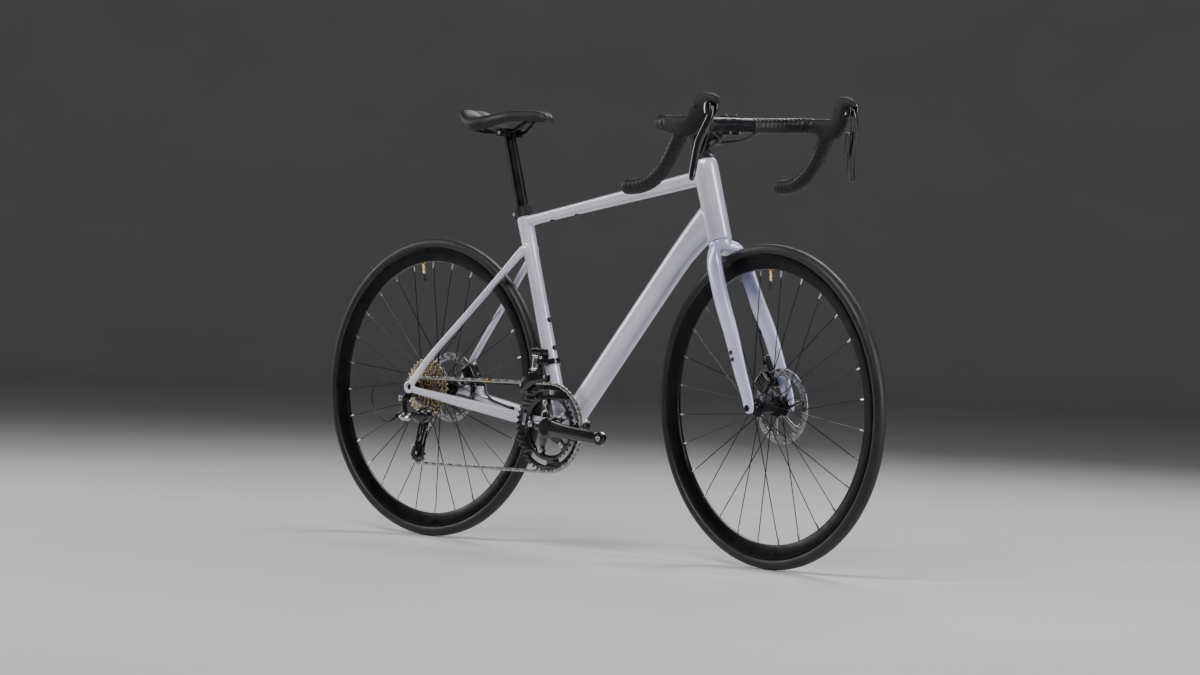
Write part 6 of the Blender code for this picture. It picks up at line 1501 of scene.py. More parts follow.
def even_path(points, step):
    """Points at even distances along a path."""
    made = [points[0]]
    left = step
    for start, end in zip(points, points[1:]):
        length = (end - start).length
        while left <= length:
            made.append(start.lerp(end, left / length))
            left += step
        left -= length
    return [*made, points[-1]]


def bar_line(side):
    return [bar_point(x, side * y, z) for x, y, z in finer(BAR_ROUTE, 6)]


# The stem's sections: (distance ahead of the steerer's axis, half width, half height)
STEM_SECTIONS = (
    (0.008, 0.0165, 0.0162), (0.03, 0.016, 0.0158), (0.07, 0.0165, 0.015), (0.086, 0.0195, 0.016)
)


def clamp_barrel():
    return turned(rounded_profile(drum(-0.0225, 0.0225, 0.0206), 0.0016), BAR_CENTRE, LEFT, 64)


class BIKE_OT_cockpit(bpy.types.Operator):
    """Model the stem, its faceplate and cap, the handlebar, its tape and end plugs"""

    bl_idname = "bike.cockpit"
    bl_label = "Stem, bar and tape"

    def execute(self, context):
        self.stem()
        self.faceplate()
        self.cap()
        self.bar()
        for side, word in SIDES:
            self.tape(side, word, context.scene.bike_sizes)
        return {"FINISHED"}

    def stem(self):
        middle = head_point(STEM_MIDDLE)
        rows = [(*(middle + HEAD_FORWARD * reach), width, height) for reach, width, height in STEM_SECTIONS]
        edge = rounded_profile(drum(COVER_TOP, COVER_TOP + STEM_HEIGHT, 0.0192), 0.0018)
        shapes = [
            swept(rows, 5, 40, 3.0), turned(edge, HEAD_FOOT, HEAD_AXIS, 64), clamp_barrel(),
            block(middle - HEAD_FORWARD * 0.0195, (0.012, 0.015, 0.033), lean(HEAD_AXIS), 0.003)
        ]
        body = fused(shapes, 0.0009, 5)
        face = block(BAR_CENTRE + HEAD_FORWARD * 0.03, (0.0597, 0.06, 0.06), lean(HEAD_AXIS))
        bored(body, face)
        bored(body, crosswise(BAR_CENTRE, -0.04, 0.04, BAR_CLAMP_RADIUS + GAP, 64))
        bored(body, rod(head_point(0.565), head_point(0.64), 0.0146, 64))
        bored(body, block(middle - HEAD_FORWARD * 0.0235, (0.013, 0.0012, 0.05), lean(HEAD_AXIS)))
        finished(body, "stem_body", "satin_black", "steering", "stem")
        for i, reach in enumerate((-0.01, 0.01)):
            place = middle - HEAD_FORWARD * 0.02 + HEAD_AXIS * reach - LEFT * 0.0072
            bolted(f"stem_clamp_bolt_{i + 1}", "steering", place, -LEFT, 0.0038, 0.0026, "dark_steel")

    def faceplate(self):
        shapes = [clamp_barrel()]
        for rise in (-1.0, 1.0):
            shapes.append(block(
                BAR_CENTRE + HEAD_FORWARD * 0.0058 + HEAD_AXIS * rise * 0.0192, (0.0104, 0.0365, 0.0078),
                lean(HEAD_AXIS), 0.0024
            ))
        body = fused(shapes, 0.0008, 4)
        bored(body, block(BAR_CENTRE - HEAD_FORWARD * 0.03, (0.0606, 0.06, 0.08), lean(HEAD_AXIS)))
        bored(body, crosswise(BAR_CENTRE, -0.04, 0.04, BAR_CLAMP_RADIUS + GAP, 64))
        window = block(BAR_CENTRE + HEAD_FORWARD * 0.02, (0.02, 0.015, 0.02), lean(HEAD_AXIS), 0.004)
        bored(body, window)
        finished(body, "stem_faceplate_shell", "satin_black", "steering", "stem_faceplate")
        for i, (across, rise) in enumerate(((-1, -1), (-1, 1), (1, -1), (1, 1))):
            place = BAR_CENTRE + HEAD_FORWARD * 0.0106 + HEAD_AXIS * rise * 0.0192 + LEFT * across * 0.0135
            bolted(f"faceplate_bolt_{i + 1}", "steering", place, HEAD_FORWARD, 0.0036, 0.0028, "dark_steel")

    def cap(self):
        top = COVER_TOP + STEM_HEIGHT
        profile = [
            (top + 0.0022, 0.0), (top + 0.0022, 0.0052), (top + 0.0036, 0.0058), (top + 0.0042, 0.0072),
            (top + 0.0042, 0.015), (top + 0.0038, 0.0164), (top + 0.003, 0.0171), (top + 0.0003, 0.0172),
            (top + 0.0003, 0.012), (top - 0.0016, 0.0118), (top - 0.0016, 0.0)
        ]
        finished(
            turned(profile, HEAD_FOOT, HEAD_AXIS, 64), "stem_cap", "satin_black", "steering",
            "stem_top_cap"
        )
        bolted("stem_cap_bolt", "steering", head_point(top + 0.0022), HEAD_AXIS, 0.0042, 0.0018)

    def bar(self):
        """The bare bar: wide in the clamp, tapering to the grips under the tape."""
        line = [
            *reversed(bar_line(-1.0)), *[BAR_CENTRE + LEFT * y for y in (-0.045, -0.03, 0.0, 0.03, 0.045)],
            *bar_line(1.0)
        ]
        line = even_path(line, 0.004)
        middle = sum((b - a).length for a, b in zip(line, line[1:])) / 2.0

        def taper(travelled, angle):
            share = max(0.0, min(1.0, (abs(travelled - middle) - 0.05) / 0.045))
            share = share * share * (3.0 - 2.0 * share)
            return BAR_CLAMP_RADIUS + (BAR_RADIUS - BAR_CLAMP_RADIUS) * share

        finished(
            tube(line, BAR_RADIUS, 32, taper), "handlebar_tube", "satin_black", "steering", "handlebar",
        )
        for side, word in SIDES:
            end = bar_line(side)
            out = (end[-1] - end[-2]).normalized()
            profile = [
                (0.0, 0.0), (0.0, 0.0142), (0.0012, 0.015), (0.003, 0.0145), (0.0042, 0.012), (0.0045, 0.0)
            ]
            finished(turned(profile, end[-1], out, 40), f"bar_end_plug_{word}", "plastic_black", "steering")

    def tape(self, side, word, sizes):
        """Bar tape wound in overlapping turns, thick in the middle of each and thin at its edge."""
        line = even_path(bar_line(side), 0.001)
        total = sum((b - a).length for a, b in zip(line, line[1:]))

        def wrapped(travelled, angle):
            turn = (travelled / sizes.tape_wrap + side * angle / (2.0 * math.pi)) % 1.0
            lift = sizes.tape_step * (
                math.sin(math.pi * turn / 1.64) ** 0.7 if turn < 0.82 else (1.0 - turn) / 0.18
            )
            fade = min(1.0, travelled / 0.004, (total - travelled) / 0.003)
            swell = 0.001 * math.exp(-(((travelled - 0.01) / 0.006) ** 2))
            narrow = 0.0014 * max(0.0, min(1.0, (0.006 - travelled) / 0.006))
            return 0.0145 + (lift + swell) * max(0.2, fade) - narrow

        finished(
            tube(line, 0.0152, 40, wrapped), f"wound_tape_{word}", "tape", "steering", f"bar_tape_{word}",
            24.0
        )
        start = line[0]
        out = (line[1] - line[0]).normalized()
        band = turned(
            [
                (0.0, 0.0146), (0.0, 0.0158), (0.0008, 0.0162), (0.009, 0.0162), (0.0098, 0.0158),
                (0.0098, 0.0146)
            ],
            start - out * 0.001, out, 48, closed=True
        )
        finished(band, f"tape_finish_band_{word}", "hose_black", "steering")


# Hoods, levers and paddles

# A hood from its rear edge to its horn: (foot X, foot Z, top X, top Z, distance from the middle, half width)
HOOD = (
    (0.046, -0.012, 0.05, 0.0172, 0.207, 0.0182), (0.066, -0.025, 0.07, 0.016, 0.2072, 0.0182),
    (0.085, -0.031, 0.091, 0.015, 0.2068, 0.0178), (0.108, -0.027, 0.107, 0.018, 0.2045, 0.0165),
    (0.123, -0.017, 0.113, 0.035, 0.2015, 0.0155), (0.14, 0.002, 0.119, 0.053, 0.1975, 0.0145),
    (0.1525, 0.02, 0.129, 0.059, 0.194, 0.014), (0.161, 0.0365, 0.144, 0.061, 0.192, 0.0135),
    (0.173, 0.0385, 0.16, 0.059, 0.1905, 0.012), (0.176, 0.043, 0.17, 0.053, 0.19, 0.008)
)
HOOD_POWER = 0.78
# A blade from its pivot to its tip: (X, Z, distance from the middle plane, half width, half depth)
LEVER = (
    (0.1655, 0.033, 0.197, 0.005, 0.0048), (0.1655, 0.018, 0.201, 0.006, 0.0072),
    (0.1605, -0.004, 0.208, 0.006, 0.0085), (0.15, -0.028, 0.214, 0.006, 0.0088),
    (0.1435, -0.045, 0.2165, 0.006, 0.0088), (0.136, -0.085, 0.2205, 0.0058, 0.0078),
    (0.135, -0.108, 0.2245, 0.0055, 0.007), (0.137, -0.116, 0.226, 0.0035, 0.004)
)
PADDLE = (
    (0.1505, -0.015, 0.197, 0.0028, 0.0045), (0.1485, -0.024, 0.1985, 0.003, 0.0062),
    (0.144, -0.042, 0.2015, 0.003, 0.0066), (0.139, -0.058, 0.204, 0.0028, 0.006),
    (0.1375, -0.064, 0.205, 0.002, 0.003)
)


def curved_blade(stations, side, squareness=2.8):
    """A blade as in the solids, drawn finer: its face is slightly flat and its ends are domed."""
    rows = [(*bar_point(x, side * y, z), w, d) for x, z, y, w, d in stations]
    return swept(rows, 6, 28, squareness, rounded=0.0018)


def lever_pivot(side):
    return bar_point(0.162, side * 0.197, 0.028)


def hood_shape(side):
    rings = []
    for foot_x, foot_z, top_x, top_z, y, half_width in finer(HOOD, 6):
        foot, top = bar_point(foot_x, side * y, foot_z), bar_point(top_x, side * y, top_z)
        rings.append(oval((foot + top) / 2.0, LEFT * half_width, (top - foot) / 2.0, 40, HOOD_POWER))
    return skin(rings)


class BIKE_OT_controls(bpy.types.Operator):
    """Model the rubber hoods, brake levers and shift paddles"""

    bl_idname = "bike.controls"
    bl_label = "Hoods, levers and paddles"

    def execute(self, context):
        for side, word in SIDES:
            self.hood(side, word)
            self.lever(side, word)
            self.paddle(side, word)
        return {"FINISHED"}

    def hood(self, side, word):
        cover = fused([hood_shape(side)], 0.001, 4)
        line = [bar_point(x, side * y, z) for x, y, z in finer(BAR_ROUTE, 4)]
        drilled(cover, [tube(line, 0.0161, 32)])
        finished(
            cover, f"hood_cover_{word}", "hood_rubber", "steering", f"hood_{word}", 50.0
        )
        for name, x, z, out in (("outer", 0.13, 0.033, side), ("inner", 0.13, 0.033, -side)):
            place = bar_point(x, side * 0.1975 + out * 0.0136, z)
            dot = turned(
                [
                    (0.0, 0.0), (0.0, 0.003), (0.0014, 0.0027), (0.0016, 0.0018), (0.0009, 0.0014),
                    (0.0009, 0.0)
                ],
                place, LEFT * out, 24
            )
            finished(dot, f"hood_plug_{name}_{word}", "satin_black", "steering")
        self.ribs(side, word)
        self.bracket(side, word)

    def bracket(self, side, word):
        """The moulded cheeks either side of the lever's pivot."""
        pivot = lever_pivot(side)
        cheeks = []
        for out in (-1.0, 1.0):
            outline = [
                (0.0085, 0.006), (0.0075, -0.004), (0.0035, -0.012), (-0.0035, -0.013), (-0.008, -0.007),
                (-0.0095, 0.003), (-0.007, 0.012), (0.001, 0.016), (0.007, 0.013)
            ]
            points = finer([*outline, outline[0]], 4)[:-1]
            cheek = plate([points], 0.0, 0.0019, 0.0008)
            cheek.data.transform(Matrix.Translation(pivot + LEFT * out * 0.01))
            cheeks.append(cheek)
        finished(joined(cheeks), f"lever_bracket_{word}", "gloss_black", "steering")

    def ribs(self, side, word):
        """Fine grip ribs across the hood's upper face."""
        ribs = []
        for foot_x, foot_z, top_x, top_z, y, half_width in finer(HOOD, 6)[5:20:2]:
            foot, top = bar_point(foot_x, side * y, foot_z), bar_point(top_x, side * y, top_z)
            middle, half = (foot + top) / 2.0, (top - foot) / 2.0
            line = []
            for i in range(9):
                angle = math.radians(50.0 + 80.0 * i / 8)
                across = LEFT * half_width * signed_power(math.cos(angle), HOOD_POWER)
                line.append(middle + across + half * signed_power(math.sin(angle), HOOD_POWER) * 0.992)
            ribs.append(tube(line, 0.0006, 6))
        finished(joined(ribs), f"hood_ribs_{word}", "hood_rubber", "steering")

    def lever(self, side, word):
        blade = curved_blade(LEVER, side)
        pivot = lever_pivot(side)
        barrel = crosswise(pivot, -0.0075, 0.0075, 0.0044, 32, edge=0.0006)
        name = f"brake_lever_{word}"
        finished(joined([blade, barrel]), f"{name}_blade", "gloss_black", name, name, 50.0)
        for end in (-1.0, 1.0):
            pin = turned(
                [(0.0, 0.0), (0.0, 0.0024), (0.0005, 0.0022), (0.0005, 0.0)], pivot + LEFT * end * 0.0073,
                LEFT * end, 20
            )
            finished(pin, f"{name}_pin_{'outer' if end == side else 'inner'}", "bolt_steel", name)

    def paddle(self, side, word):
        blade = curved_blade(PADDLE, side, 2.4)
        foot = bar_point(0.152, side * 0.1975, -0.018)
        boss = rod(foot, Vector((foot.x, side * 0.205, foot.z)), 0.004, 24, 0.0012, edge=0.0003)
        name = f"shift_paddle_{word}"
        finished(joined([blade, boss]), f"{name}_blade", "gloss_black", name, name, 50.0)


# The drivetrain

PITCH = 0.0127
LARGE_TEETH = 48
SMALL_TEETH = 34
PULLEY_TEETH = 11
SPROCKET_TEETH = (11, 12, 14, 16, 18, 20, 22, 25, 28, 32)
LARGE_RING_Y = -0.047
SMALL_RING_Y = -0.0395
OUTER_SPROCKET_Y = -0.0585
SPROCKET_SPACING = 0.00406
GUIDE_PULLEY = Vector((0.034, 0.0, -0.067))
TENSION_PULLEY = Vector((0.014, 0.0, -0.149))
ROLLER_RADIUS = 0.0039
TOOTH_HEIGHT = 0.003
BOLT_CIRCLE = 0.055
FIRST_BOLT_ANGLE = math.radians(30.1)
CRANK_LENGTH = 0.1725
CRANK_INNER_FACE = 0.0454
CRANK_BOSS_RADIUS = 0.0212
PEDAL_HOLE_RADIUS = 0.0071
CRANK_ANGLE = math.radians(-5.1)
JOINING_LINK_X = 0.24
# Each wheel on the chain's way: (centre, teeth, turning sense, its plane's Y)
CHAIN_WHEELS = (
    (BRACKET, LARGE_TEETH, 1.0, LARGE_RING_Y), (ORIGIN, SPROCKET_TEETH[0], 1.0, OUTER_SPROCKET_Y),
    (GUIDE_PULLEY, PULLEY_TEETH, -1.0, OUTER_SPROCKET_Y),
    (TENSION_PULLEY, PULLEY_TEETH, 1.0, OUTER_SPROCKET_Y)
)


def pitch_radius(teeth):
    return PITCH / (2.0 * math.sin(math.pi / teeth))


def run_angle(wheel, following):
    """The direction of the straight run of chain from one wheel to the next."""
    across = following[0] - wheel[0]
    offset = pitch_radius(wheel[1]) * wheel[2] - pitch_radius(following[1]) * following[2]
    return math.atan2(across.z, across.x) + math.asin(offset / math.hypot(across.x, across.z))


def chain_legs():
    """The chain's way as legs: wraps round wheels, counted in teeth, and straight runs between them."""
    count = len(CHAIN_WHEELS)
    runs = [run_angle(CHAIN_WHEELS[i], CHAIN_WHEELS[(i + 1) % count]) for i in range(count)]
    legs = []
    for i, (centre, teeth, sense, y) in enumerate(CHAIN_WHEELS):
        arrival = runs[i - 1] - sense * math.pi / 2.0
        sweep = ((runs[i] - runs[i - 1]) * sense) % (2.0 * math.pi)
        legs.append((
            "wrap", sweep * teeth / (2.0 * math.pi), centre, pitch_radius(teeth), sense, arrival, sweep, y
        ))
        following = CHAIN_WHEELS[(i + 1) % count]
        side = outward(runs[i] - math.pi / 2.0)
        start = centre + side * pitch_radius(teeth) * sense + LEFT * y
        end = following[0] + side * pitch_radius(following[1]) * following[2] + LEFT * following[3]
        legs.append(("run", (end - start).length / PITCH, start, end, side))
    return legs


def chain_joints():
    """Every pin of the chain: (place, outward direction), one tooth apart on the wheels."""
    legs = chain_legs()
    wrapped = sum(leg[1] for leg in legs if leg[0] == "wrap")
    straight = sum(leg[1] for leg in legs if leg[0] == "run")
    links = 2 * round((wrapped + straight) / 2.0)
    stretch = (links - wrapped) / straight
    joints = []
    travelled = 0.0
    for leg in legs:
        length = leg[1] if leg[0] == "wrap" else leg[1] * stretch
        step = math.ceil(travelled - 1e-9)
        while step < travelled + length - 1e-9:
            joints.append(chain_joint(leg, (step - travelled) / length))
            step += 1
        travelled += length
    return joints[:links]


def chain_joint(leg, share):
    if leg[0] == "wrap":
        _, _, centre, radius, sense, arrival, sweep, y = leg
        out = outward(arrival + sense * sweep * share)
        return centre + out * radius + LEFT * y, out * sense
    _, _, start, end, side = leg
    place = start.lerp(end, share)
    drift = share * share * (3.0 - 2.0 * share)
    place.y = start.y + (end.y - start.y) * drift
    return place, side


def teeth_phase(centre, y_plane, joints):
    """The angle of the first chain pin that lies on a wheel."""
    for place, _ in joints:
        if abs(place.y - y_plane) < 1e-6:
            across = place - centre
            for wheel_centre, teeth, _, y in CHAIN_WHEELS:
                near = abs(math.hypot(across.x, across.z) - pitch_radius(teeth)) < 2e-4
                if (wheel_centre - centre).length < 1e-6 and y == y_plane and near:
                    return math.atan2(across.z, across.x)
    return 0.0


def toothed(centre, teeth, phase=0.0):
    """A chainwheel's outline: round seats for the rollers and tapering teeth between them."""
    radius = pitch_radius(teeth)
    step = 2.0 * math.pi / teeth
    half_tooth = (
        (0.0, -ROLLER_RADIUS), (0.12, -0.0035), (0.21, -0.0024), (0.27, -0.0008), (0.325, 0.0009),
        (0.38, 0.0021), (0.44, 0.0028), (0.5, TOOTH_HEIGHT)
    )
    tooth = [*half_tooth, *[(1.0 - share, rise) for share, rise in reversed(half_tooth[1:-1])]]
    points = []
    for i in range(teeth):
        for share, rise in tooth:
            points.append(centre + outward(phase + step * (i + share)) * (radius + rise))
    return flat(points)


def ring_points(centre, radius, sides):
    points = [centre + outward(2.0 * math.pi * i / sides) * radius for i in range(sides)]
    return flat(points)


def bolt_angles():
    return [FIRST_BOLT_ANGLE + 2.0 * math.pi * i / 5.0 for i in range(5)]


def ring_inside(inner_radius):
    """The inner edge of a chainring: a circle with five rounded tabs that reach in to the bolts."""
    points = []
    tab_half = 0.0085
    spread = math.asin(tab_half / inner_radius)
    for angle in bolt_angles():
        rows = [(-spread * 1.1, inner_radius), (-spread * 0.93, inner_radius - 0.0012)]
        for i in range(9):
            turn = math.radians(-90.0 + 180.0 * i / 8)
            along = BOLT_CIRCLE - tab_half * 0.66 * math.cos(turn)
            rows.append((tab_half * 0.86 * math.sin(turn) / along, along))
        rows += [(spread * 0.93, inner_radius - 0.0012), (spread * 1.1, inner_radius)]
        for i in range(1, 10):
            rows.append((spread * 1.1 + (2.0 * math.pi / 5.0 - 2.2 * spread) * i / 10, inner_radius))
        points += [BRACKET + outward(angle + turn) * distance for turn, distance in rows]
    return flat(points)


def ring_windows():
    """Five long windows with round ends in the large ring's web."""
    windows = []
    for angle in bolt_angles():
        window = []
        for turn in [-0.33 + 0.066 * i for i in range(11)]:
            window.append((turn, 0.0722))
        for i in range(1, 8):
            round_turn = math.radians(-90.0 + 180.0 * i / 8)
            window.append((0.34 + 0.052 * math.cos(round_turn), 0.0775 + 0.0053 * math.sin(round_turn)))
        for turn in [0.34 - 0.068 * i for i in range(11)]:
            window.append((turn, 0.0828))
        for i in range(1, 8):
            round_turn = math.radians(90.0 + 180.0 * i / 8)
            window.append((-0.34 + 0.052 * math.cos(round_turn), 0.0775 + 0.0053 * math.sin(round_turn)))
        points = [BRACKET + outward(angle + turn) * distance for turn, distance in window]
        windows.append(flat(points))
    return windows


# The crank arms' sections: (share of the length, distance from the middle plane, half width, half height)
RIGHT_ARM = (
    (0.0, 0.053, 0.0068, 0.019), (0.12, 0.0545, 0.007, 0.0185), (0.35, 0.0595, 0.0072, 0.0155),
    (0.65, 0.0645, 0.0068, 0.0138), (0.88, 0.0665, 0.0066, 0.014), (1.0, 0.0668, 0.0067, 0.0145)
)
LEFT_ARM = (
    (0.0, 0.056, 0.009, 0.02), (0.12, 0.0575, 0.008, 0.018), (0.35, 0.0615, 0.0072, 0.015),
    (0.65, 0.065, 0.0068, 0.0135), (0.88, 0.0665, 0.0066, 0.014), (1.0, 0.0668, 0.0067, 0.0145)
)
# A spider arm's sections: (radius, distance from the middle plane, half thickness, half width)
SPIDER_ARM = (
    (0.015, 0.053, 0.006, 0.0118), (0.035, 0.05, 0.0046, 0.0098), (0.0455, 0.04405, 0.0025, 0.008),
    (0.0485, 0.04325, 0.00245, 0.0078), (0.0605, 0.04325, 0.00245, 0.0062)
)


class BIKE_OT_cranks(bpy.types.Operator):
    """Model both cranks, the chainrings with their bolts, and the cassette"""

    bl_idname = "bike.cranks"
    bl_label = "Cranks and cassette"

    def execute(self, context):
        joints = chain_joints()
        self.rings(joints)
        self.cassette(joints)
        self.right_crank()
        self.left_crank()
        return {"FINISHED"}

    def rings(self, joints):
        phase = teeth_phase(BRACKET, LARGE_RING_Y, joints)
        large = [toothed(BRACKET, LARGE_TEETH, phase), ring_inside(0.064), *ring_windows()]
        finished(
            plate(large, LARGE_RING_Y, 0.001, 0.0004), "large_chainring", "gloss_black", "crankset",
            "chainring_large", sharp=30.0
        )
        small = [toothed(BRACKET, SMALL_TEETH, phase), ring_inside(0.061)]
        finished(
            plate(small, SMALL_RING_Y, 0.001, 0.0004), "small_chainring", "satin_black", "crankset",
            "chainring_small", sharp=30.0
        )
        for i, angle in enumerate(bolt_angles()):
            place = BRACKET + outward(angle) * BOLT_CIRCLE + LEFT * -0.0483
            head = turned(
                [
                    (-0.01, 0.0), (-0.01, 0.0046), (-0.0092, 0.0052), (0.0, 0.0052), (0.0003, 0.0066),
                    (0.0013, 0.0064), (0.0018, 0.0054), (0.0018, 0.0032), (0.0008, 0.0029), (0.0008, 0.0)
                ],
                place, -LEFT, 28
            )
            finished(head, f"chainring_bolt_{i + 1}", "bolt_steel", "crankset")
        pin = rod(
            BRACKET + outward(FIRST_BOLT_ANGLE - 0.33) * 0.088 - LEFT * 0.048,
            BRACKET + outward(FIRST_BOLT_ANGLE - 0.33) * 0.088 - LEFT * 0.0515, 0.0022, 20, edge=0.0004
        )
        finished(pin, "chain_catch_pin", "bolt_steel", "crankset")

    def cassette(self, joints):
        """Ten sprockets on one core: the larger ones on thin spiders, the smallest clear of the lockring."""
        pieces = []
        last = len(SPROCKET_TEETH) - 1
        phase = teeth_phase(ORIGIN, OUTER_SPROCKET_Y, joints)
        for i, teeth in enumerate(SPROCKET_TEETH):
            radius = pitch_radius(teeth)
            y = OUTER_SPROCKET_Y + SPROCKET_SPACING * i
            outlines = [
                toothed(ORIGIN, teeth, phase if i == 0 else phase + 0.11 * i),
                ring_points(ORIGIN, 0.016, 36)
            ]
            if teeth >= 18:
                slots = 5 if teeth < 25 else 7
                outlines += self.windows(slots, 0.0205, radius - 0.0095, 0.5 * i)
            pieces.append(plate(outlines, y, 0.0009, 0.0003))
            if i < last:
                spacer = turned(
                    drum(y + 0.0009, y + SPROCKET_SPACING - 0.0009, 0.0176, 0.0162), ORIGIN, LEFT, 40,
                    closed=True
                )
                pieces.append(spacer)
        first = OUTER_SPROCKET_Y - 0.004
        core = turned(
            [
                (first + 0.0008, 0.0098), (first + 0.0008, 0.016),
                (OUTER_SPROCKET_Y + SPROCKET_SPACING * last + 0.0008, 0.016),
                (OUTER_SPROCKET_Y + SPROCKET_SPACING * last + 0.0008, 0.0098)
            ],
            ORIGIN, LEFT, 48, closed=True
        )
        pieces.append(core)
        finished(joined(pieces), "sprockets", "nickel", "cassette", "cassette", sharp=30.0)
        ring = turned(
            rounded_profile(drum(first, first + 0.003, 0.0158, 0.0096), 0.0004), ORIGIN, LEFT, 60,
            closed=True
        )
        notches = [
            block(
                outward(2.0 * math.pi * k / 12) * 0.0104 + LEFT * first, (0.0034, 0.003, 0.0018),
                Matrix.Rotation(-2.0 * math.pi * k / 12, 4, "Y")
            )
            for k in range(12)
        ]
        finished(bored(ring, joined(notches)), "cassette_lockring", "satin_black", "cassette")

    def windows(self, count, near, far, turn):
        shapes = []
        for k in range(count):
            centre = 2.0 * math.pi * k / count + turn
            half = math.pi / count * 0.62
            points = [centre + half * share for share in (-1.0, -0.5, 0.0, 0.5, 1.0)]
            outline = [outward(angle) * near for angle in points]
            outline += [outward(centre + half * 1.12) * (near + (far - near) * 0.5)]
            outline += [outward(angle) * far for angle in reversed(points)]
            outline += [outward(centre - half * 1.12) * (near + (far - near) * 0.5)]
            shapes.append(flat(outline))
        return shapes

    def arm(self, side, stations):
        along = outward(CRANK_ANGLE if side < 0.0 else CRANK_ANGLE + math.pi)
        rise = quarter_turn(along)
        rings = []
        for share, y, half_width, half_height in finer(stations, 6):
            centre = BRACKET + along * CRANK_LENGTH * share + LEFT * side * y
            rings.append(oval(centre, LEFT * half_width, rise * half_height, 36, 0.62))
        end = BRACKET + along * CRANK_LENGTH
        boss = rod(end + LEFT * side * 0.0605, end + LEFT * side * 0.0735, 0.0156, 48, edge=0.0022)
        return [skin(rings), boss], end

    def right_crank(self):
        arm, end = self.arm(-1.0, RIGHT_ARM)
        boss = crosswise(BRACKET, -CRANK_INNER_FACE, -0.0605, CRANK_BOSS_RADIUS, 56, edge=0.0026)
        shapes = [*arm, boss, *[self.spider(angle) for angle in bolt_angles()]]
        crank = fused(shapes, 0.0012, 6)
        bored(crank, crosswise(end, -0.055, -0.09, PEDAL_HOLE_RADIUS, 32))
        bored(crank, turned(drum(0.0, 0.02, 0.0088), BRACKET - LEFT * 0.0575, -LEFT, 40))
        finished(
            crank, "right_crank_arm", "gloss_black", "crankset", "crank_right", sharp=55.0
        )
        cap = turned(
            [
                (0.0, 0.0), (0.0, 0.0085), (0.0014, 0.0082), (0.0016, 0.0074), (0.001, 0.0052),
                (-0.0006, 0.0048), (-0.0006, 0.0)
            ],
            BRACKET - LEFT * 0.058, -LEFT, 40
        )
        finished(cap, "crank_axle_cap", "satin_black", "crankset")
        spindle = turned(
            [
                (-0.0452, 0.0), (-0.0452, 0.012), (0.064, 0.012), (0.064, 0.0088), (0.06, 0.0084),
                (0.06, 0.0)
            ],
            BRACKET, LEFT, 40
        )
        finished(spindle, "crank_spindle", "steel", "crankset")
        self.threads("right", -1.0, end)

    def spider(self, angle):
        out = outward(angle)
        across = quarter_turn(out)
        rings = []
        for distance, y, half_thick, half_width in finer(SPIDER_ARM, 3):
            centre = BRACKET + out * distance - LEFT * y
            rings.append(oval(centre, LEFT * half_thick, across * half_width, 20, 0.5))
        return skin(rings)

    def left_crank(self):
        arm, end = self.arm(1.0, LEFT_ARM)
        boss = crosswise(BRACKET, CRANK_INNER_FACE, 0.0665, CRANK_BOSS_RADIUS, 56, edge=0.0024)
        crank = fused([*arm, boss], 0.0012, 6)
        slot = block(
            BRACKET + outward(CRANK_ANGLE) * 0.018 + LEFT * 0.056, (0.03, 0.03, 0.0016),
            Matrix.Rotation(-CRANK_ANGLE, 4, "Y")
        )
        bored(crank, crosswise(end, 0.055, 0.09, PEDAL_HOLE_RADIUS, 32))
        bored(crank, crosswise(BRACKET, 0.03, 0.08, 0.0123, 48))
        bored(crank, slot)
        finished(
            crank, "left_crank_arm", "gloss_black", "crankset", "crank_left", sharp=55.0
        )
        cap = turned(
            [
                (0.0, 0.0), (0.0, 0.01), (0.0012, 0.0112), (0.0022, 0.011), (0.0026, 0.0096),
                (0.0016, 0.007), (0.0016, 0.0)
            ],
            BRACKET + LEFT * 0.0642, LEFT, 40
        )
        finished(cap, "crank_preload_cap", "satin_black", "crankset")
        back = outward(CRANK_ANGLE)
        rise = quarter_turn(back)
        for i, y in enumerate((0.05, 0.061)):
            place = BRACKET + back * 0.016 + LEFT * y + rise * 0.0135
            bolted(f"crank_pinch_bolt_{i + 1}", "crankset", place, rise, 0.0036, 0.0028)
        self.threads("left", 1.0, end)

    def threads(self, word, side, end):
        """A bright threaded sleeve in the pedal hole."""
        profile = [(0.0, PEDAL_HOLE_RADIUS)]
        for i in range(9):
            profile += [(0.0008 + 0.00125 * i, 0.0066), (0.0014 + 0.00125 * i, 0.007)]
        profile += [(0.0128, 0.0074), (0.0, 0.0074)]
        finished(
            turned(profile, end + LEFT * side * 0.0606, LEFT * side, 40, closed=True),
            f"pedal_thread_{word}", "bolt_steel", "crankset"
        )


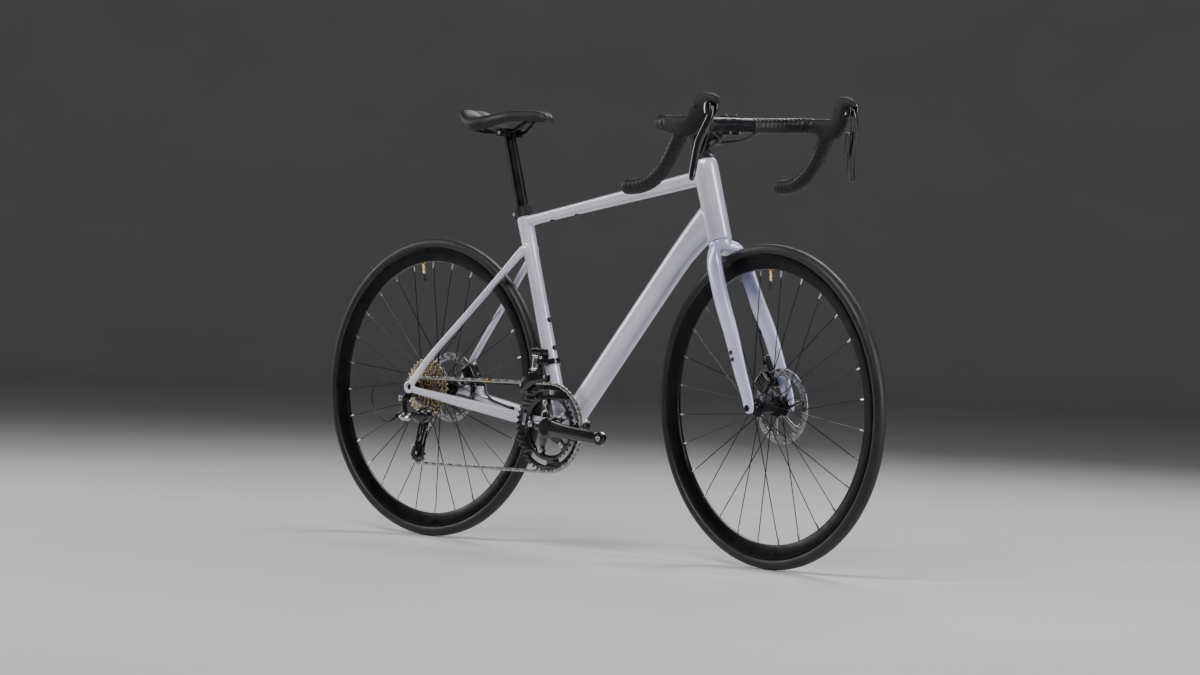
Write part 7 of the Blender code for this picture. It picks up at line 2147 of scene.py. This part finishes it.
class BIKE_OT_chain(bpy.types.Operator):
    """Lay the chain link by link round the rings, the sprocket and the pulleys"""

    bl_idname = "bike.chain"
    bl_label = "Chain"

    def execute(self, context):
        joints = chain_joints()
        joining = self.upper_link(joints)
        outer = self.link(0.00235, 0.00285, True)
        inner = self.link(0.0015, 0.002, False)
        links = []
        for i, (place, out) in enumerate(joints):
            following, next_out = joints[(i + 1) % len(joints)]
            along = (following - place).normalized()
            side = (out + next_out).normalized()
            across = side.cross(along).normalized()
            turn = Matrix((along, across, across.cross(along) * -1.0)).transposed().to_4x4()
            place_at = Matrix.Translation((place + following) / 2.0) @ turn
            made = copied(inner if i % 2 else outer, place_at)
            if i == joining:
                finished(made, "joining_link", "gold", "frame")
            else:
                links.append(made)
        bpy.data.objects.remove(outer)
        bpy.data.objects.remove(inner)
        finished(joined(links), "chain_links", "chain_steel", "frame", "chain", sharp=30.0)
        return {"FINISHED"}

    def upper_link(self, joints):
        """The outer link of the upper run where the photo shows the coloured joining link."""
        return min(
            range(0, len(joints), 2),
            key=lambda i: abs(joints[i][0].x - JOINING_LINK_X) + (1.0 if joints[i][0].z < 0.0 else 0.0)
        )

    def link(self, near, far, with_pins):
        """One link about its own middle: two waisted side plates, and pins or rollers."""
        half = PITCH / 2.0
        outline = []
        for i in range(9):
            angle = math.radians(-110.0 + 220.0 * i / 8)
            outline.append((half + 0.004 * math.cos(angle), 0.004 * math.sin(angle)))
        outline.append((0.0, 0.0026))
        for i in range(9):
            angle = math.radians(70.0 + 220.0 * i / 8)
            outline.append((-half + 0.004 * math.cos(angle), 0.004 * math.sin(angle)))
        outline.append((0.0, -0.0026))
        middle, thick = (near + far) / 2.0, (far - near) / 2.0
        pieces = [plate([outline], side * middle, thick, 0.00012) for side in (-1.0, 1.0)]
        if with_pins:
            for x in (-half, half):
                pieces.append(rod((x, -0.0031, 0.0), (x, 0.0031, 0.0), 0.0017, 14))
        else:
            for x in (-half, half):
                pieces.append(rod((x, -0.0015, 0.0), (x, 0.0015, 0.0), ROLLER_RADIUS - 0.0001, 18))
        return joined(pieces)


# The rear derailleur

UPPER_PIVOT = Vector((-0.008, -0.088, -0.066))
LINK_REST = Vector((0.038, -0.0185, 0.0))
LINK_AXIS = LINK_REST.cross(Vector((0.026, 0.018, -0.028))).normalized()
LOWER_PIVOT = UPPER_PIVOT + LINK_REST
CAGE_PIVOT = Vector((0.04, -0.0645, -0.063))
HANGER_BOLT = Vector((-0.0125, 0.0, -0.026))
CABLE_ARM_ROOT = Vector((-0.011, -0.0865, -0.054))
CABLE_ARM_TIP = Vector((-0.031, -0.0905, -0.07))
CAGE_HALF = 0.0046
KNUCKLE_LENGTH = 0.028


def capsule(start, end, start_radius, end_radius, sides=24):
    """A flat outline round two points of unlike radius."""
    across = end - start
    along = math.atan2(across.z, across.x)
    outline = []
    for centre, radius, first in (
        (end, end_radius, along - math.pi / 2.0), (start, start_radius, along + math.pi / 2.0)
    ):
        for i in range(sides + 1):
            place = centre + outward(first + math.pi * i / sides) * radius
            outline.append((place.x, place.z))
    return outline


class BIKE_OT_rear_derailleur(bpy.types.Operator):
    """Model the rear derailleur: knuckles, outer link, cage and pulleys"""

    bl_idname = "bike.rear_derailleur"
    bl_label = "Rear derailleur"

    def execute(self, context):
        self.upper_knuckle()
        self.outer_link()
        self.lower_knuckle()
        self.cage()
        joints = chain_joints()
        self.pulley("guide_pulley", GUIDE_PULLEY, joints)
        self.pulley("tension_pulley", TENSION_PULLEY, joints)
        return {"FINISHED"}

    def layer(self, pivot, near, far, radius, sides=32, edge=0.0006):
        return rod(pivot + LINK_AXIS * near, pivot + LINK_AXIS * far, radius, sides, edge=edge)

    def pivot_pin(self, pivot):
        return self.layer(pivot, -0.008, 0.003, 0.0029, 24, 0.0002)

    def upper_knuckle(self):
        shapes = [
            crosswise(HANGER_BOLT, -0.0748, -0.0932, 0.0095, 40, edge=0.0014),
            self.layer(UPPER_PIVOT, -0.001, 0.0095, 0.007),
            rod(HANGER_BOLT - LEFT * 0.085, UPPER_PIVOT + LINK_AXIS * 0.0068, 0.008, 36, 0.0063, 0.0008),
            rod(CABLE_ARM_ROOT, CABLE_ARM_TIP, 0.0036, 28, edge=0.0006)
        ]
        body = joined([fused(shapes, 0.0007, 5), self.pivot_pin(UPPER_PIVOT)])
        finished(
            body, "upper_knuckle_body", "gloss_black", "frame", "rear_derailleur_upper_knuckle",
            sharp=55.0
        )
        bolted("hanger_bolt", "frame", HANGER_BOLT - LEFT * 0.093, -LEFT, 0.006, 0.0022)
        down = (CABLE_ARM_TIP - CABLE_ARM_ROOT).normalized()
        rings = []
        for k in range(9):
            rings += [(0.0012 * k, 0.0036), (0.0012 * k + 0.0006, 0.0042)]
        barrel = turned(
            [(0.0, 0.0), *rings, (0.0112, 0.0034), (0.0112, 0.0)], CABLE_ARM_TIP - down * 0.0128, down, 28
        )
        finished(barrel, "cable_adjuster", "satin_black", "frame")

    def outer_link(self):
        middle = (UPPER_PIVOT + LOWER_PIVOT) / 2.0 - LINK_AXIS * 0.005
        along = LINK_REST.normalized()
        turn = Matrix((along, LINK_AXIS.cross(along), LINK_AXIS)).transposed().to_4x4()
        web = block(middle, (LINK_REST.length, 0.0112, 0.0066), turn, 0.0012)
        ends = [self.layer(pivot, -0.0085, -0.0015, 0.007, 36) for pivot in (UPPER_PIVOT, LOWER_PIVOT)]
        body = fused([web, *ends], 0.0006, 4)
        drilled(
            body, [self.layer(pivot, -0.02, 0.01, 0.0032, 28, 0.0) for pivot in (UPPER_PIVOT, LOWER_PIVOT)],
            "FAST"
        )
        face = block(middle - LINK_AXIS * 0.0034, (LINK_REST.length * 0.46, 0.0062, 0.0016), turn, 0.0006)
        bored(body, face)
        finished(
            body, "derailleur_link_body", "bolt_steel", "rear_derailleur_link", "rear_derailleur_link",
            sharp=50.0
        )

    def lower_knuckle(self):
        origin = CAGE_PIVOT + Vector((0.001, 0.0, 0.001))
        length = KNUCKLE_LENGTH
        profile = rounded_profile(
            [
                (length, 0.0), (length, 0.0106), (length - 0.004, 0.0158), (length - 0.012, 0.0179),
                (0.004, 0.0179), (0.0, 0.0165), (0.0, 0.0)
            ],
            0.0016
        )
        body = turned(profile, ORIGIN, -LEFT, 64)
        body.data.transform(Matrix.Translation(origin) @ Matrix.Diagonal((1.25, 1.0, 1.0, 1.0)))
        shapes = [
            body, self.layer(LOWER_PIVOT, -0.001, 0.008, 0.007),
            rod(
                LOWER_PIVOT + LINK_AXIS * 0.0062, origin - LEFT * (length - 0.006), 0.0068, 32, 0.01, 0.0006
            )
        ]
        knuckle = fused(shapes, 0.0008, 5)
        groove = turned(drum(0.0, 0.003, 0.0066), origin - LEFT * (length - 0.0022), -LEFT, 40)
        bored(knuckle, groove)
        bored(knuckle, crosswise(CAGE_PIVOT, 0.004, -0.0125, 0.0043, 32))
        finished(
            joined([knuckle, self.pivot_pin(LOWER_PIVOT)]), "lower_knuckle_body", "gloss_black",
            "rear_derailleur_lower_knuckle", "rear_derailleur_lower_knuckle", sharp=55.0
        )
        cap = turned(
            rounded_profile(
                [
                    (0.0, 0.0), (0.0, 0.006), (0.0024, 0.0056), (0.0024, 0.003), (0.0014, 0.0026),
                    (0.0014, 0.0)
                ],
                0.0004
            ),
            origin - LEFT * (length - 0.002), -LEFT, 32
        )
        finished(cap, "cage_pivot_cap", "satin_black", "rear_derailleur_lower_knuckle")
        for i, z in enumerate((-0.01, -0.005)):
            place = origin + Vector((-0.0212, -0.014, z + 0.001))
            name = f"limit_screw_{i + 1}"
            bolted(name, "rear_derailleur_lower_knuckle", place, (-1.0, 0.0, 0.0), 0.0017, 0.0012)

    def cage(self):
        plates = []
        for side in (-1.0, 1.0):
            outline = capsule(GUIDE_PULLEY, TENSION_PULLEY, 0.0122, 0.0097)
            along = (TENSION_PULLEY - GUIDE_PULLEY).normalized()
            low, high = GUIDE_PULLEY + along * 0.02, TENSION_PULLEY - along * 0.02
            holes = []
            if side < 0.0:
                centre = (low + high) / 2.0
                holes = [
                    capsule(low, centre - along * 0.0045, 0.0055, 0.0048, 10),
                    capsule(centre + along * 0.0045, high, 0.0046, 0.0042, 10)
                ]
            else:
                holes = [capsule(low, high, 0.0062, 0.005, 12)]
            plates.append(plate([outline, *holes], OUTER_SPROCKET_Y + side * CAGE_HALF, 0.0006, 0.0002))
            for wheel in (GUIDE_PULLEY, TENSION_PULLEY):
                collar = turned(
                    [(0.0, 0.0), (0.0, 0.0058), (0.0004, 0.0054), (0.0004, 0.0)],
                    wheel + LEFT * (OUTER_SPROCKET_Y + side * (CAGE_HALF + 0.0006)), LEFT * side, 28
                )
                plates.append(collar)
        reach = 0.006
        for wheel in (GUIDE_PULLEY, TENSION_PULLEY):
            middle = wheel + LEFT * OUTER_SPROCKET_Y
            plates.append(crosswise(middle, -reach, reach, 0.0025, 24, edge=0.0003))
        plates.append(rod(
            Vector((CAGE_PIVOT.x, -0.0629, CAGE_PIVOT.z)), Vector((CAGE_PIVOT.x, -0.0764, CAGE_PIVOT.z)),
            0.004, 32, edge=0.0003
        ))
        finished(
            joined(plates), "pulley_cage", "satin_black", "rear_derailleur_cage", "rear_derailleur_cage",
        )
        for wheel, word in ((GUIDE_PULLEY, "guide"), (TENSION_PULLEY, "tension")):
            place = wheel - LEFT * 0.0644
            bolted(f"{word}_pulley_bolt", "rear_derailleur_cage", place, -LEFT, 0.003, 0.001)

    def pulley(self, name, centre, joints):
        phase = teeth_phase(centre, OUTER_SPROCKET_Y, joints)
        outlines = [toothed(centre, PULLEY_TEETH, phase), ring_points(centre, 0.0062, 32)]
        for k in range(5):
            spot = centre + outward(phase + 2.0 * math.pi * k / 5) * 0.0112
            outlines.append(ring_points(spot, 0.0022, 14))
        wheel = plate(outlines, OUTER_SPROCKET_Y, 0.0009, 0.0003)
        reach = 0.0036
        hub = turned(
            rounded_profile(
                [
                    (-reach, 0.0029), (-reach, 0.0058), (-0.0012, 0.0064), (0.0012, 0.0064),
                    (reach, 0.0058), (reach, 0.0029)
                ],
                0.0004
            ),
            centre + LEFT * OUTER_SPROCKET_Y, LEFT, 36, closed=True
        )
        finished(
            joined([wheel, hub]), f"{name}_wheel", "pulley_plastic", name, name, sharp=30.0
        )


# The front derailleur

FRONT_UPPER_PIVOT = Vector((0.349, -0.03, 0.082))
FRONT_LOWER_PIVOT = Vector((0.349, -0.03386, 0.05225))
FRONT_LINK_HALF = 0.0077
FRONT_LINK_LEAN = math.radians(-7.4)
# The cage's two plates: (radius of the lower edge about the crank axle, the plate's Y)
FRONT_CAGE_PLATES = ((0.0945, -0.0421), (0.1036, -0.0519))
FORWARD = Vector((1.0, 0.0, 0.0))


class BIKE_OT_front_derailleur(bpy.types.Operator):
    """Model the front derailleur: band, housing, link and cage"""

    bl_idname = "bike.front_derailleur"
    bl_label = "Front derailleur"

    def execute(self, context):
        self.mount()
        self.link()
        self.cage()
        return {"FINISHED"}

    def ears(self, pivot, lift):
        pieces = []
        for side in (-1.0, 1.0):
            near, far = pivot + FORWARD * side * 0.008, pivot + FORWARD * side * 0.013
            pieces.append(rod(near, far, 0.0052, 32, edge=0.0006))
            pieces.append(block(
                (near + far) / 2.0 + UP * lift / 2.0, ((far - near).length, 0.009, abs(lift)), edge=0.0006
            ))
        return pieces

    def mount(self):
        band = turned(
            rounded_profile(drum(0.1412, 0.1532, 0.0198, 0.0182), 0.0005), BRACKET, SEAT_AXIS, 72,
            closed=True
        )
        shapes = [
            block((0.356, -0.0275, 0.094), (0.04, 0.017, 0.0124), edge=0.0026),
            block((0.3688, -0.0266, 0.083), (0.0118, 0.0186, 0.0338), edge=0.0018),
            *self.ears(FRONT_UPPER_PIVOT, 0.008)
        ]
        body = fused(shapes, 0.0008, 4)
        reach = FORWARD * 0.012
        pin = rod(FRONT_UPPER_PIVOT - reach, FRONT_UPPER_PIVOT + reach, 0.0025, 24)
        finished(
            joined([band, body, pin]), "front_derailleur_body", "gloss_black", "frame",
            "front_derailleur_mount", sharp=50.0
        )
        bolted("band_bolt", "frame", (0.369, -0.0356, 0.08), -LEFT, 0.0036, 0.0018)
        for i, x in enumerate((0.343, 0.35)):
            bolted(f"front_limit_screw_{i + 1}", "frame", (x, -0.03, 0.1), UP, 0.0018, 0.001)

    def link(self):
        upper, lower = FRONT_UPPER_PIVOT, FRONT_LOWER_PIVOT
        reach = FORWARD * FRONT_LINK_HALF
        ends = [rod(point - reach, point + reach, 0.0048, 32, edge=0.0005) for point in (upper, lower)]
        turn = Matrix.Rotation(FRONT_LINK_LEAN, 4, "X")
        web = block((upper + lower) / 2.0, (FRONT_LINK_HALF * 2 - 0.001, 0.007, 0.03), turn, 0.0012)
        body = fused([web, *ends], 0.0006, 4)
        wide = FORWARD * 0.02
        drilled(body, [rod(point - wide, point + wide, 0.0027, 24) for point in (upper, lower)], "FAST")
        finished(
            body, "front_derailleur_arm", "bolt_steel", "front_derailleur_link", "front_derailleur_link",
            sharp=50.0
        )

    def cage_outline(self, radius):
        rows = [BRACKET + outward(math.radians(93.0 + 5.0 * i)) * radius for i in range(10)]
        outline = flat(rows)
        tail = finer(((0.3235, 0.003), (0.325, 0.022), (0.334, 0.037), (0.36, 0.042), (0.404, 0.043)), 3)
        return outline + [tuple(row) for row in tail]

    def cage(self):
        pieces = [plate([self.cage_outline(radius)], y, 0.0006, 0.0002) for radius, y in FRONT_CAGE_PLATES]
        for x, z in ((0.396, 0.039), (0.33, 0.007)):
            pieces.append(rod((x, -0.0523, z), (x, -0.0418, z), 0.002, 20, edge=0.0002))
        finished(
            joined(pieces), "front_shift_cage", "gloss_black", "front_derailleur_cage",
            "front_derailleur_cage"
        )
        reach = FORWARD * 0.012
        carrier = [
            block((0.349, -0.0372, 0.041), (0.026, 0.0104, 0.012), edge=0.0016),
            *self.ears(FRONT_LOWER_PIVOT, -0.0085),
            rod(FRONT_LOWER_PIVOT - reach, FRONT_LOWER_PIVOT + reach, 0.0025, 24)
        ]
        finished(joined(carrier), "front_cage_carrier", "gloss_black", "front_derailleur_cage")
        screw = rod((0.396, -0.0533, 0.039), (0.396, -0.0524, 0.039), 0.0034, 24, edge=0.0004)
        finished(screw, "front_cage_screw", "bolt_steel", "front_derailleur_cage")


# The stage

CAMERA_PLACE = Vector((5.51479, -5.40688, 0.21892))
CAMERA_YAW = math.radians(42.7865)
CAMERA_DIP = math.radians(0.6965)
CAMERA_ROLL = math.radians(1.8191)
CAMERA_LENS = 101.41
FLOOR = -0.339
PAPER_RADIUS = 12.0
PAPER_BEND = 6.0
PAPER_TOP = 11.0
# The lights: (name, place, what it aims at, width and height, watts, colour)
LIGHTS = (
    ("key_light", (1.2, -3.0, 3.6), (0.5, 0.0, 0.1), (3.0, 1.4), 175.0, (1.0, 0.99, 0.97)),
    ("front_strip", (4.4, 1.0, 1.5), (0.7, 0.0, 0.1), (0.7, 3.0), 95.0, (0.96, 0.98, 1.0)),
    ("rear_strip", (-3.0, -1.2, 1.6), (0.2, 0.0, 0.1), (0.7, 3.0), 60.0, (1.0, 0.98, 0.96)),
    ("back_light", (-0.4, 3.2, 2.8), (0.5, 0.0, 0.2), (3.0, 1.2), 95.0, (0.98, 0.99, 1.0))
)


def area_light(name, place, aim, size, power, colour):
    data = bpy.data.lights.new(name, "AREA")
    data.shape = "RECTANGLE"
    data.size, data.size_y = size
    data.energy = power
    data.color = colour
    lamp = bpy.data.objects.new(name, data)
    bpy.context.collection.objects.link(lamp)
    lamp.location = place
    lamp.visible_camera = False
    lamp.rotation_euler = (Vector(aim) - Vector(place)).to_track_quat("-Z", "Y").to_euler()
    return lamp


class BIKE_OT_stage(bpy.types.Operator):
    """Add the plain floor, the soft studio lights and the camera"""

    bl_idname = "bike.stage"
    bl_label = "Floor, lights and camera"

    def execute(self, context):
        deselect()
        self.floor(context.scene.bike_colours)
        power = context.scene.bike_sizes.light
        for name, place, aim, size, watts, colour in LIGHTS:
            area_light(name, place, aim, size, watts * power, colour)
        world = bpy.data.worlds.new("studio")
        world.use_nodes = True
        world.node_tree.nodes["Background"].inputs["Color"].default_value = (0.86, 0.87, 0.89, 1.0)
        world.node_tree.nodes["Background"].inputs["Strength"].default_value = 0.22
        context.scene.world = world
        self.camera(context)
        return {"FINISHED"}

    def floor(self, colours):
        """Paper that lies flat under the bike and curves up all round, farther out than any camera."""
        bends = [math.radians(90.0 * i / 40) for i in range(41)]
        profile = [(0.0, 0.0), (0.0, 3.0)]
        profile += [
            (PAPER_BEND * (1.0 - math.cos(t)), PAPER_RADIUS + PAPER_BEND * math.sin(t)) for t in bends
        ]
        profile.append((PAPER_TOP, PAPER_RADIUS + PAPER_BEND))
        sheet = turned(profile, Vector((0.5, 0.0, FLOOR - 0.0004)), UP, 128)
        sheet.name = "floor_paper"
        sheet.data.shade_smooth()
        finish = look("floor_paper", tuple(colours.floor), 0.62)
        cloudy(finish, 1.2, shade(colours.floor, 0.97), shade(colours.floor, 1.03))
        sheet.data.materials.append(finish)

    def camera(self, context):
        data = bpy.data.cameras.new("photo_camera")
        data.sensor_width = 36.0
        data.lens = CAMERA_LENS
        data.clip_end = 100.0
        camera = bpy.data.objects.new("photo_camera", data)
        context.collection.objects.link(camera)
        a, e = CAMERA_YAW, CAMERA_DIP
        ahead = Vector((-math.sin(a) * math.cos(e), math.cos(a) * math.cos(e), -math.sin(e)))
        level = Vector((math.cos(a), math.sin(a), 0.0))
        above = level.cross(ahead)
        right = level * math.cos(CAMERA_ROLL) + above * math.sin(CAMERA_ROLL)
        up = above * math.cos(CAMERA_ROLL) - level * math.sin(CAMERA_ROLL)
        turn = Matrix((right, up, -ahead)).transposed().to_4x4()
        camera.matrix_world = Matrix.Translation(CAMERA_PLACE) @ turn
        context.scene.camera = camera


# The add-on


class BikeSizes(bpy.types.PropertyGroup):
    """Sizes a user may change"""

    frame_voxel: bpy.props.FloatProperty(
        name="Frame detail", description="Edge of the frame skin's cells", default=0.0021, unit="LENGTH"
    )
    tape_wrap: bpy.props.FloatProperty(
        name="Tape wrap", description="Distance from one wrap of the bar tape to the next", default=0.012,
        unit="LENGTH"
    )
    tape_step: bpy.props.FloatProperty(
        name="Tape step", description="Height of the tape's overlapping edge", default=0.0018, unit="LENGTH"
    )
    spoke_radius: bpy.props.FloatProperty(
        name="Spoke radius", description="Half the spoke wire's diameter", default=0.001, unit="LENGTH"
    )
    light: bpy.props.FloatProperty(
        name="Light", description="Strength of the studio lights", default=1.0, min=0.0, subtype="FACTOR"
    )


class BikeColours(bpy.types.PropertyGroup):
    """Colours a user may change"""

    frame: bpy.props.FloatVectorProperty(
        name="Frame", description="The frame's pearl paint", default=(0.74, 0.735, 0.85), subtype="COLOR"
    )
    frame_shade: bpy.props.FloatVectorProperty(
        name="Frame shade", description="The darker side of the pearl", default=(0.55, 0.545, 0.68),
        subtype="COLOR"
    )
    fork: bpy.props.FloatVectorProperty(
        name="Fork", description="The fork's lilac pearl", default=(0.66, 0.67, 0.88), subtype="COLOR"
    )
    fork_shade: bpy.props.FloatVectorProperty(
        name="Fork shade", description="The darker side of the lilac", default=(0.48, 0.49, 0.74),
        subtype="COLOR"
    )
    paint_roughness: bpy.props.FloatProperty(
        name="Paint roughness", description="Roughness under the clear coat", default=0.3, subtype="FACTOR"
    )
    floor: bpy.props.FloatVectorProperty(
        name="Floor", description="The studio floor", default=(0.6, 0.6, 0.61), subtype="COLOR"
    )


class BIKE_PT_panel(bpy.types.Panel):
    """The pieces of the bike, in the order they are made"""

    bl_label = "Road Bike"
    bl_idname = "BIKE_PT_panel"
    bl_space_type = "VIEW_3D"
    bl_region_type = "UI"
    bl_category = "Road Bike"

    def draw(self, context):
        for group in (context.scene.bike_sizes, context.scene.bike_colours):
            for name in group.__annotations__:
                self.layout.prop(group, name)
        for operator in OPERATORS:
            self.layout.operator(operator.bl_idname)


OPERATORS = (
    BIKE_OT_stage, BIKE_OT_hoses, BIKE_OT_frame, BIKE_OT_frame_fittings, BIKE_OT_fork, BIKE_OT_wheels,
    BIKE_OT_brakes, BIKE_OT_seat, BIKE_OT_cockpit, BIKE_OT_controls, BIKE_OT_cranks, BIKE_OT_chain,
    BIKE_OT_rear_derailleur, BIKE_OT_front_derailleur
)
CLASSES = (BikeSizes, BikeColours, *OPERATORS, BIKE_PT_panel)


def register():
    for made in CLASSES:
        bpy.utils.register_class(made)
    bpy.types.Scene.bike_sizes = bpy.props.PointerProperty(type=BikeSizes)
    bpy.types.Scene.bike_colours = bpy.props.PointerProperty(type=BikeColours)


def unregister():
    del bpy.types.Scene.bike_colours
    del bpy.types.Scene.bike_sizes
    for made in reversed(CLASSES):
        bpy.utils.unregister_class(made)


def main():
    register()
    make_looks()
    for operator in OPERATORS:
        group, name = operator.bl_idname.split(".")
        getattr(getattr(bpy.ops, group), name)()


if __name__ == "__main__":
    main()
